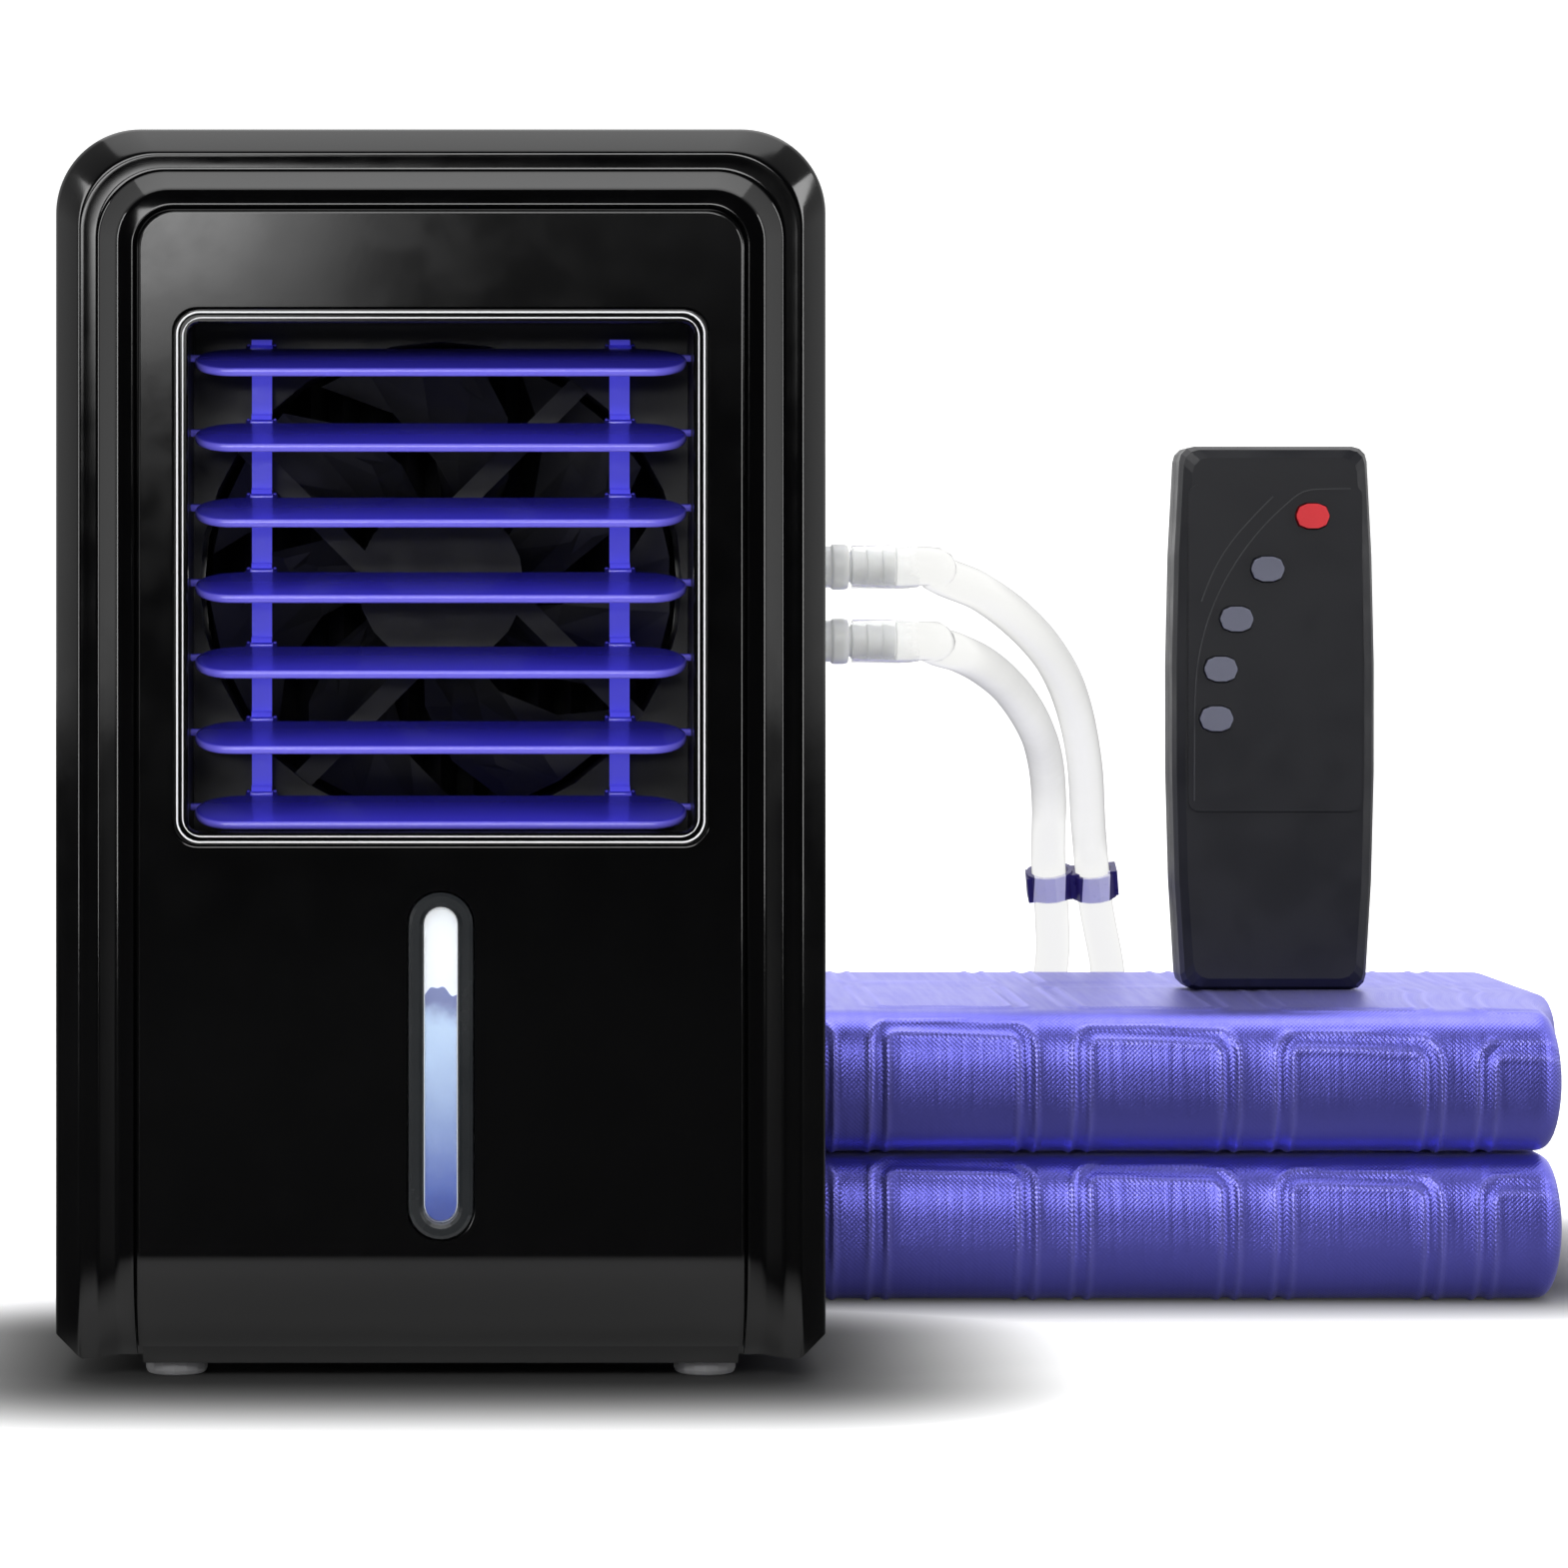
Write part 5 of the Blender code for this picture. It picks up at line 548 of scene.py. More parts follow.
@dataclass
class PadLobe:
    """One of the two stacked folds of the water pad, with its welded cells."""

    name: str
    floor: float
    roof: float
    row_edge: float
    left: float = -0.0462
    right: float = 0.2940
    front: float = 0.1387
    back: float = 0.2912
    nose: float = 0.014
    end_run: float = 0.008
    tip_shares: tuple[float, ...] = (0.012, 0.03, 0.05)
    press_gap: float = 0.0001
    press_spread: float = 0.02
    roof_swell: float = 0.0006
    back_flare: float = 0.010
    pitch: float = 0.0529
    width: float = 0.0435
    first: float = 0.1121
    row_pitch: float = 0.0814
    row_length: float = 0.072
    row_slant: float = 0.041
    corner: float = 0.0075
    inner_line: float = 0.0047
    line_half: float = 0.0009
    coarse: float = 0.0048
    rise_cap: float = 0.0026

    def section(self) -> np.ndarray:
        """Points round the fold's section: front nose, top, back nose and underside, then their run from the front.

        Returns:
            Rows of depth, height share from -1 to 1, and distance round the section from the nose's middle.
        """
        turn = np.linspace(-math.pi / 2, math.pi / 2, 61)
        inset = self.nose * (1 - np.maximum(np.cos(turn), 0.0) ** 0.75)
        rise = np.sign(turn) * np.abs(np.sin(turn)) ** 0.8
        flat = np.linspace(self.front + self.nose, self.back - self.nose, 82)[1:-1]
        depth = np.concatenate([self.front + inset, flat, (self.back - inset)[::-1], flat[::-1]])
        share = np.concatenate([rise, np.ones(len(flat)), rise[::-1], -np.ones(len(flat))])
        height = (self.floor + self.roof) / 2 + share * (self.roof - self.floor) / 2
        steps = np.hypot(np.diff(depth), np.diff(height))
        run = np.concatenate([[0.0], np.cumsum(steps)])
        return np.stack([depth, share, run - run[30]], axis=1)

    def stations(self, fine: bool) -> np.ndarray:
        """Places along the fold, close together at the weld lines when fine."""
        if not fine:
            return np.linspace(self.left, self.right, round((self.right - self.left) / self.coarse) + 1)
        marks = set(np.round(np.arange(self.left, self.right + 1e-9, (self.right - self.left) / 96), 6))
        for index in range(-4, 5):
            start = self.first + index * self.pitch
            for line in (start, start + self.inner_line, start + self.width - self.inner_line, start + self.width):
                marks |= {round(line + shift * self.line_half, 6) for shift in (-2.0, -1.3, -0.65, 0.0, 0.65, 1.3, 2.0)}
        shares = (*np.linspace(0.0, 1.0, 15), *self.tip_shares)
        ends = [self.end_run * (1 - math.cos(math.pi / 2 * share)) for share in shares]
        tips = {round(self.left + end, 7) for end in ends} | {round(self.right - end, 7) for end in ends}
        inner = sorted(mark for mark in marks if self.left + self.end_run < mark < self.right - self.end_run)
        spaced = [inner[0], *(b for a, b in zip(inner, inner[1:]) if b - a > 0.0002)]
        return np.array(sorted(tips | set(spaced)))

    def runs(self, fine: bool) -> np.ndarray:
        """Distances round the section at which the skin has points."""
        run = self.section()[:, 2]
        if not fine:
            return np.linspace(run[0], run[-1], round((run[-1] - run[0]) / self.coarse) + 1)
        seen = np.arange(-0.024, 0.075, 0.0011)
        rest = np.linspace(0.075, run[-1], 60)
        under = np.linspace(run[0], -0.024, 5)[:-1]
        return np.concatenate([under, seen, rest])

    def skin(self, x: np.ndarray, run: np.ndarray) -> np.ndarray:
        """Smooth surface of the fold before it is filled.

        Args:
            x: Places along the fold.
            run: Distances round the section.

        Returns:
            An array of points, one row for each place along the fold.
        """
        table = self.section()
        depth = np.interp(run, table[:, 2], table[:, 0])
        share = np.interp(run, table[:, 2], table[:, 1])
        away = np.maximum(0.0, np.maximum(self.left + self.end_run - x, x - self.right + self.end_run)) / self.end_run
        tall = np.maximum(0.0, 1 - away ** 3.2) ** (1 / 3.2)
        trim = self.nose * 0.55 * (1 - np.sqrt(np.maximum(0.0, 1 - away ** 2)))
        middle = (self.front + self.back) / 2
        points = np.zeros((len(x), len(run), 3))
        points[:, :, 0] = x[:, None]
        squeeze = 1 - trim / (middle - self.front)
        points[:, :, 1] = middle + (depth[None, :] - middle) * squeeze[:, None]
        half = (self.roof - self.floor) / 2
        points[:, :, 2] = (self.floor + self.roof) / 2 + share[None, :] * half * tall[:, None]
        behind = np.clip((points[:, :, 1] - self.front - 0.01) / 0.05, 0.0, 1.0)
        points[:, :, 2] += self.roof_swell * behind * np.maximum(share, 0.0)[None, :] ** 2 * tall[:, None]
        points[:, :, 0] += self.back_flare * behind ** 2 * np.clip((x - 0.2) / 0.09, 0.0, 1.0)[:, None]
        return points

    def cell_distance(self, x: np.ndarray, run: np.ndarray) -> np.ndarray:
        """Distance outside the nearest cell's round-cornered outline, less than nothing inside it."""
        across = (x[:, None] - self.first) % self.pitch - self.width / 2
        across = np.where(across > self.pitch / 2, across - self.pitch, across)
        slid = run[None, :] + self.row_slant * (x[:, None] - self.first) - self.row_edge
        along = slid % self.row_pitch - (self.row_pitch - self.row_length / 2)
        over_x = np.abs(across) - self.width / 2 + self.corner
        over_y = np.abs(along) - self.row_length / 2 + self.corner
        outside = np.hypot(np.maximum(over_x, 0.0), np.maximum(over_y, 0.0))
        return outside + np.minimum(np.maximum(over_x, over_y), 0.0) - self.corner

    def relief(self, distance: np.ndarray) -> np.ndarray:
        """Height of the welded lines and of the bands between them."""
        outer = np.exp(-(distance / self.line_half) ** 2)
        inner = np.exp(-((distance + self.inner_line) / self.line_half) ** 2)
        band = np.exp(-((distance + self.inner_line / 2) / (self.inner_line * 0.36)) ** 2)
        return -0.0006 * outer - 0.0005 * inner + 0.0003 * band

    def fill(self) -> tuple[np.ndarray, np.ndarray, np.ndarray]:
        """Swell the cells with water by a cloth simulation with the welds held.

        Returns:
            The coarse places along, the coarse runs, and how far each coarse point moved.
        """
        x, run = self.stations(False), self.runs(False)
        start = self.skin(x, run)
        distance = self.cell_distance(x, run)
        table = self.section()
        share = np.interp(run, table[:, 2], table[:, 1])
        ends = np.minimum(x - self.left, self.right - x)[:, None] < 0.010
        held = (distance > -0.0015) | ends | (share[None, :] < -0.9) | (np.abs(run[None, :] - run[-1]) < 0.006)
        skin = grid_object("filling", start)
        group = skin.vertex_groups.new(name="welds")
        group.add([int(index) for index in np.flatnonzero(held.ravel())], 1.0, "REPLACE")
        cloth = skin.modifiers.new("water", "CLOTH")
        cloth.settings.quality, cloth.settings.mass = 6, 0.12
        cloth.settings.tension_stiffness = cloth.settings.compression_stiffness = 18.0
        cloth.settings.bending_stiffness = 0.8
        cloth.settings.use_pressure, cloth.settings.uniform_pressure_force = True, 4.0
        cloth.settings.vertex_group_mass = "welds"
        cloth.settings.effector_weights.gravity = 0.0
        cloth.collision_settings.use_collision = False
        scene = bpy.context.scene
        for frame in range(1, 21):
            scene.frame_set(frame)
        shaped = skin.evaluated_get(bpy.context.evaluated_depsgraph_get()).data
        after = np.empty(len(shaped.vertices) * 3)
        shaped.vertices.foreach_get("co", after)
        moved = after.reshape(start.shape) - start
        bpy.data.objects.remove(skin)
        scene.frame_set(1)
        reach = np.linalg.norm(moved, axis=2)
        moved *= (np.minimum(reach, self.rise_cap) / np.maximum(reach, 1e-9))[:, :, None]
        LOG.info("%s: cells rose up to %.1f mm", self.name, reach.max() * 1000)
        return x, run, moved

    def bear(self, points: np.ndarray) -> None:
        """Press the skin down where the remote stands on it.

        Args:
            points: The skin's points, changed in place.
        """
        boxes = [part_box(node) for node in ("remote_front_shell", "remote_back_shell")]
        low = np.min([np.array(box[0]) for box in boxes], axis=0) - np.array(SHIFT)
        high = np.max([np.array(box[1]) for box in boxes], axis=0) - np.array(SHIFT)
        beyond = [np.maximum(np.maximum(low[axis] - points[..., axis], points[..., axis] - high[axis]), 0.0)
                  for axis in (0, 1)]
        cap = low[2] - self.press_gap + np.hypot(*beyond) ** 2 / self.press_spread
        points[..., 2] = np.minimum(points[..., 2], cap)

    def build(self, finish: bpy.types.Material) -> bpy.types.Object:
        """Make the fold's skin with its swollen cells and welded lines.

        Args:
            finish: The coated cloth.

        Returns:
            The fold's object.
        """
        coarse_x, coarse_run, moved = self.fill()
        x, run = self.stations(True), self.runs(True)
        points = self.skin(x, run)
        calm = 1 - 0.55 * np.clip((run - 0.022) / 0.008, 0.0, 1.0)
        points += resampled(moved, coarse_x, coarse_run, x, run) * calm[None, :, None]
        distance = self.cell_distance(x, run)
        ends = np.clip(np.minimum(x - self.left, self.right - x) / 0.02, 0.0, 1.0)
        pressed = self.relief(distance) * ends[:, None] * (0.4 + 0.6 * calm[None, :])
        points += surface_normals(points) * pressed[:, :, None]
        self.bear(points)
        fold = grid_object(self.name, points + np.array(SHIFT), (x, run), closed=True)
        # Weld-line mask, kept as the "weld" attribute, that the cloth uses for its painted highlight along the welds.
        lines = np.exp(-(distance / 0.0009) ** 2) + np.exp(-((distance + self.inner_line) / 0.0008) ** 2)
        form = bmesh.new()
        form.from_mesh(fold.data)
        mark, skin_map = form.verts.layers.float.new("weld"), form.loops.layers.uv["skin"]
        for face in form.faces:
            for corner in face.loops:
                along, round_it = corner[skin_map].uv
                corner.vert[mark] = float(lines[min(len(x) - 1, np.searchsorted(x, along - 1e-5)),
                                                min(len(run) - 1, np.searchsorted(run, round_it - 1e-5))])
        form.to_mesh(fold.data)
        form.free()
        fold.data.materials.append(finish)
        return fold


def eased(points: list[tuple[float, ...]], radius: float, steps: int = 4, loop: bool = True) -> list[np.ndarray]:
    """Round the corners of a line of points.

    Args:
        points: The corners, each with two or more numbers of which the first two are lengths.
        radius: How far from a corner its rounding starts.
        steps: Points in each rounding, less one.
        loop: Whether the line is closed.

    Returns:
        The rounded line's points.
    """
    corners = [np.array(point, dtype=float) for point in points]
    count, line = len(corners), []
    for index, corner in enumerate(corners):
        if not loop and index in (0, count - 1):
            line.append(corner)
            continue
        before, after = corners[index - 1], corners[(index + 1) % count]
        into, away = np.linalg.norm((corner - before)[:2]), np.linalg.norm((after - corner)[:2])
        start = corner + (before - corner) * min(0.42, radius / max(into, 1e-9))
        end = corner + (after - corner) * min(0.42, radius / max(away, 1e-9))
        for share in np.linspace(0.0, 1.0, steps + 1):
            line.append(start * (1 - share) ** 2 + corner * 2 * share * (1 - share) + end * share ** 2)
    return line


def rounded_box_line(half_x: float, half_z: float, radius: float, steps: int = 12,
                     centre: tuple[float, float] = (0.0, 0.0)) -> list[tuple[float, float]]:
    """Closed outline (x, z) of a rectangle with round corners."""
    points = []
    for index, (side, rise) in enumerate(((1, 1), (-1, 1), (-1, -1), (1, -1))):
        for step in range(steps + 1):
            angle = math.pi / 2 * (index + step / steps)
            points.append((centre[0] + side * (half_x - radius) + radius * math.cos(angle),
                           centre[1] + rise * (half_z - radius) + radius * math.sin(angle)))
    return points


def form_object(name: str, form: bmesh.types.BMesh, finish: bpy.types.Material | None = None,
                angle: float = 35.0) -> bpy.types.Object:
    """Object from a bmesh, its normals turned out and its faces smooth up to an edge angle.

    Args:
        name: The object's name.
        form: The mesh, in the frame's place; it is freed.
        finish: The material, where it has one.
        angle: Edges sharper than this many degrees stay crisp.

    Returns:
        The object, linked to the scene.
    """
    bmesh.ops.remove_doubles(form, verts=form.verts, dist=0.000005)
    bmesh.ops.recalc_face_normals(form, faces=form.faces)
    for edge in form.edges:
        edge.smooth = len(edge.link_faces) == 2 and edge.calc_face_angle(0.0) < math.radians(angle)
    for face in form.faces:
        face.smooth = True
    data = bpy.data.meshes.new(name)
    form.to_mesh(data)
    form.free()
    thing = bpy.data.objects.new(name, data)
    bpy.context.scene.collection.objects.link(thing)
    if finish:
        data.materials.append(finish)
    return thing


def stacked(form: bmesh.types.BMesh, rings: list[list[Vector]], capped: bool = True) -> None:
    """Add a skin through equal closed rings to a mesh, with both ends closed when capped."""
    made = [[form.verts.new(point) for point in ring] for ring in rings]
    for near, far in zip(made, made[1:]):
        for index in range(len(near)):
            after = (index + 1) % len(near)
            form.faces.new((near[index], near[after], far[after], far[index]))
    if capped:
        form.faces.new(made[0])
        form.faces.new(made[-1])


def pin(form: bmesh.types.BMesh, start: Vector, end: Vector, radius: float, dome: float = 0.35,
        sides: int = 20) -> None:
    """Add a round pin with softly domed ends to a mesh."""
    way = end - start
    turn = Vector((0, 0, 1)).rotation_difference(way).to_matrix()
    length = way.length
    profile = [(radius * 0.45, 0.0), (radius * 0.85, radius * dome * 0.3), (radius, radius * dome),
               (radius, length - radius * dome), (radius * 0.85, length - radius * dome * 0.3), (radius * 0.45, length)]
    rings = [[start + turn @ Vector((reach * math.cos(math.tau * step / sides),
                                     reach * math.sin(math.tau * step / sides),
                                     along)) for step in range(sides)] for reach, along in profile]
    stacked(form, rings)


@dataclass
class FrontFrame:
    """Stepped bezel, curled panel and the two bright beads round the louvre window."""

    half_width: float = 0.091
    foot: float = 0.0055
    top: float = 0.2955
    chamfer_width: float = 0.0065
    chamfer_height: float = 0.0055
    corner: float = 0.020
    width: float = 0.0192
    depth: float = 0.016
    ledge: float = 0.0043
    wall: float = 0.0019
    ledge_y: float = 0.0027
    panel_inset: float = 0.0204
    panel_corner: float = 0.0082
    panel_wall: float = 0.0024
    bend_radius: float = 0.032
    bend_rise: float = 0.0265
    window: tuple[float, float, float] = (0.06225, 0.06255, 0.0056)
    window_z: float = 0.18955
    gauge: tuple[float, float] = (0.0075, 0.04055)
    gauge_z: float = 0.07525

    def bend(self, height: float) -> float:
        """How far the front has curled back at a height above the foot line."""
        rest = max(0.0, self.bend_rise - height)
        return self.bend_radius - math.sqrt(self.bend_radius ** 2 - rest ** 2)

    def arch(self, inset: float, radius: float) -> list[tuple[float, float]]:
        """Points up one leg, round the top corners and down the other leg, at one inset."""
        half, top = self.half_width - inset, self.top - inset
        foot = self.foot + self.chamfer_height * max(0.0, 1 - inset / self.chamfer_width)
        bend_top = self.foot + self.bend_rise
        side = [(-half, foot + (bend_top - foot) * share) for share in np.linspace(0.0, 1.0, 18)]
        for share in np.linspace(0.0, 1.0, 25):
            angle = math.pi / 2 * share
            side.append((-half + radius * (1 - math.cos(angle)), top - radius * (1 - math.sin(angle))))
        return side + [(-x, z) for x, z in reversed(side)]

    def bezel(self, finish: bpy.types.Material) -> bpy.types.Object:
        """Skin the stepped frame with softened steps."""
        w, d = self.width, self.depth
        front = ((0.0, 1.0, 0.0), (0.0, 0.75, 0.0), (0.30, 0.469, 0.0), (0.33, 0.456, 0.10), (0.535, 0.469, 0.16),
                 (0.785, 0.156, 1.0), (1.0, 0.075, 1.0))
        back = ((0.90, 0.36, 1.0), (0.80, 0.36, 1.0), (0.60, 0.60, 0.36), (0.38, 0.61, 0.14))
        section = [(across * w, deep * d, bend) for across, deep, bend in front]
        section += [(w, self.ledge_y, 1.0), (w + self.ledge, self.ledge_y, 1.0),
                    (w + self.ledge, self.ledge_y + self.wall, 1.0)]
        section += [(across * w, deep * d, bend) for across, deep, bend in back]
        section += [(self.wall, d * 0.75 + self.wall / 2, 0.0), (self.wall, d, 0.0)]
        loops = []
        for inset, deep, bend in eased(section, 0.0009):
            radius = self.corner - (self.corner - self.panel_corner) * min(1.0, inset / self.panel_inset) ** 1.5
            loops.append([placed(x, deep + bend * self.bend(z - self.foot), z) for x, z in self.arch(inset, radius)])
        form = bmesh.new()
        stacked(form, [list(station) for station in zip(*loops)])
        return form_object("front_bezel_skin", form, finish)

    def panel(self, finish: bpy.types.Material) -> bpy.types.Object:
        """Flat sheet with both openings, and its curl at the foot."""
        half, top, fold = self.half_width - self.panel_inset, self.top - self.panel_inset, self.foot + self.bend_rise
        edge = 0.0004
        outline = [(-half + edge, fold), (half - edge, fold)]
        for step in range(17):
            angle = math.pi / 2 * step / 16
            outline.append((half - edge - self.panel_corner * (1 - math.cos(angle)),
                            top - edge - self.panel_corner * (1 - math.sin(angle))))
        outline += [(-x, z) for x, z in reversed(outline[2:])]
        lines = [outline, rounded_box_line(self.window[0] + 0.0003 + edge, self.window[1] + 0.0003 + edge,
                                           self.window[2] + edge, 12, (0.0, self.window_z)),
                 rounded_box_line(self.gauge[0] + 0.0003 + edge, self.gauge[1] + 0.0003 + edge,
                                  self.gauge[0] + edge, 16, (0.0, self.gauge_z))]
        curve = bpy.data.curves.new("panel_sheet", "CURVE")
        curve.dimensions, curve.fill_mode = "2D", "BOTH"
        curve.extrude, curve.bevel_depth, curve.bevel_resolution = self.panel_wall / 2 - edge, edge, 3
        for line in lines:
            spline = curve.splines.new("POLY")
            spline.points.add(len(line) - 1)
            spline.use_cyclic_u = True
            for knot, (x, z) in zip(spline.points, line):
                knot.co = (x, z, 0.0, 1.0)
        sheet = bpy.data.objects.new("panel_sheet", curve)
        data = bpy.data.meshes.new_from_object(sheet)
        bpy.data.objects.remove(sheet)
        form = bmesh.new()
        form.from_mesh(data)
        for vert in form.verts:
            x, z, y = vert.co
            vert.co = placed(x, self.panel_wall / 2 + y, z)
        rings = []
        for height in np.linspace(0.0, self.bend_rise + 0.001, 22):
            deep = self.bend(height)
            slope = (self.bend(height + 0.0001) - self.bend(height - 0.0001)) / 0.0002
            way = Vector((0.0, 1.0, slope)).normalized() * self.panel_wall
            near, far = placed(0.0, deep, self.foot + height), placed(0.0, deep, self.foot + height) + way
            if height > self.bend_rise - 0.002:
                near.y, far.y = placed(0, -0.00002, 0).y, placed(0, self.panel_wall, 0).y
            aside = Vector((half - edge / 2, 0.0, 0.0))
            rings.append([near - aside, near + aside, far + aside, far - aside])
        stacked(form, rings)
        return form_object("front_panel_skin", form, finish, 7.0)

    def beads(self, finish: bpy.types.Material) -> list[bpy.types.Object]:
        """Thin bright beads round the window, each a closed tube on the trim."""
        made = []
        for name, inset, thick, proud in (("window_bead_outer", 0.0006, 0.00026, 0.0004),
                                          ("window_bead_inner", 0.0019, 0.00018, 0.0004)):
            line = rounded_box_line(self.window[0] - inset, self.window[1] - inset, self.window[2] - inset * 0.6, 14,
                                    (0.0, self.window_z))
            count, rings = len(line), []
            for index, (x, z) in enumerate(line):
                before, after = line[index - 1], line[(index + 1) % count]
                way = Vector((after[0] - before[0], 0.0, after[1] - before[1])).normalized()
                out = Vector((way.z, 0.0, -way.x))
                rings.append([placed(x, -proud, z) + out * thick * math.cos(turn) + Vector((0, thick * math.sin(turn), 0))
                              for turn in np.linspace(0.0, math.tau, 9)[:-1]])
            form = bmesh.new()
            stacked(form, rings + [rings[0]], capped=False)
            made.append(form_object(name, form, finish))
        return made


@dataclass
class CabinetWrap:
    """Glossy outer skin of the cabinet: truly round corners, softened foot chamfers and the rear bevel."""

    half: float = 0.091
    foot: float = 0.0055
    top: float = 0.2955
    corner: float = 0.020
    chamfer: tuple[float, float] = (0.0065, 0.0055)
    proud: float = 0.00008
    thick: float = 0.00035
    bevel: float = 0.005
    housing: tuple[float, float] = (0.0166, 0.1117)
    cover: tuple[float, float] = (0.1124, 0.1300)

    def outline(self, inset: float) -> list[tuple[float, float]]:
        """Closed outline (x, z) drawn in by an inset, up the left, over the top and back along the foot."""
        half, top, foot = self.half - inset, self.top - inset, self.foot + inset
        radius = max(0.001, self.corner - inset)
        across, up = (length - max(0.0, inset) * 0.414 for length in self.chamfer)
        side = [(-half + across, foot), (-half, foot + up)]
        arc = [(-half + radius * (1 - math.cos(turn)), top - radius * (1 - math.sin(turn)))
               for turn in np.linspace(0.0, math.pi / 2, 25)]
        left = [tuple(point[:2]) for point in eased([(0.0, foot), *side, arc[0]], 0.0012, 3, loop=False)][1:-1]
        points = left + arc
        return points + [(-x, z) for x, z in reversed(points)]

    def tube(self, name: str, levels: list[tuple[float, float]], finish: bpy.types.Material) -> bpy.types.Object:
        """Thin closed band through levels of (inset, depth), with an inner wall."""
        outer = [[placed(x, depth, z) for x, z in self.outline(inset - self.proud)] for inset, depth in levels]
        inner = [[placed(x, depth, z) for x, z in self.outline(inset + self.thick)]
                 for inset, depth in reversed(levels)]
        form = bmesh.new()
        stacked(form, outer + inner + [outer[0]], capped=False)
        return form_object(name, form, finish)

    def openings(self) -> list[bpy.types.Object]:
        """Cutters for the two hose ports and the filler lid."""
        cutters = []
        for height in (0.1926, 0.1737):
            form = bmesh.new()
            pin(form, placed(0.085, 0.105, height), placed(0.097, 0.105, height), 0.0060, 0.01, 40)
            cutters.append(form_object("port_cutter", form))
        form = bmesh.new()
        rings = [[placed(x, y, z) for x, y in ((-0.0362, 0.0715), (0.0362, 0.0715), (0.0362, 0.1010), (-0.0362, 0.1010))]
                 for z in (0.290, 0.299)]
        stacked(form, rings)
        cutters.append(form_object("lid_cutter", form))
        return cutters

    def build(self, gloss: bpy.types.Material, satin: bpy.types.Material) -> None:
        """Make the housing's band with its openings and the rear cover's bevelled band."""
        low, high = self.housing
        levels = [(0.0003, low), (0.0, low + 0.0004), (0.0, high - 0.0004), (0.0003, high)]
        band = self.tube("housing_skin", levels, gloss)
        cutters = self.openings()
        for cutter in cutters:
            cut = band.modifiers.new("opening", "BOOLEAN")
            cut.operation, cut.solver, cut.object = "DIFFERENCE", "EXACT", cutter
        shaped = bpy.data.meshes.new_from_object(band.evaluated_get(bpy.context.evaluated_depsgraph_get()))
        for thing in (*cutters, band):
            bpy.data.objects.remove(thing)
        form = bmesh.new()
        form.from_mesh(shaped)
        low, high = self.cover
        depth = high - low
        steps = [(0.0003, low), (0.0, low + 0.0004), (0.0, low + depth * 0.72), (self.bevel * 0.35, low + depth * 0.9),
                 (self.bevel, high + self.proud)]
        softened = [(float(point[0]), float(point[1])) for point in eased(steps, 0.0016, 5, loop=False)]
        cover = self.tube("rear_cover_skin", softened, satin)
        for piece in (form_object("housing_skin", form, gloss), cover):
            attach(piece, "cooler")


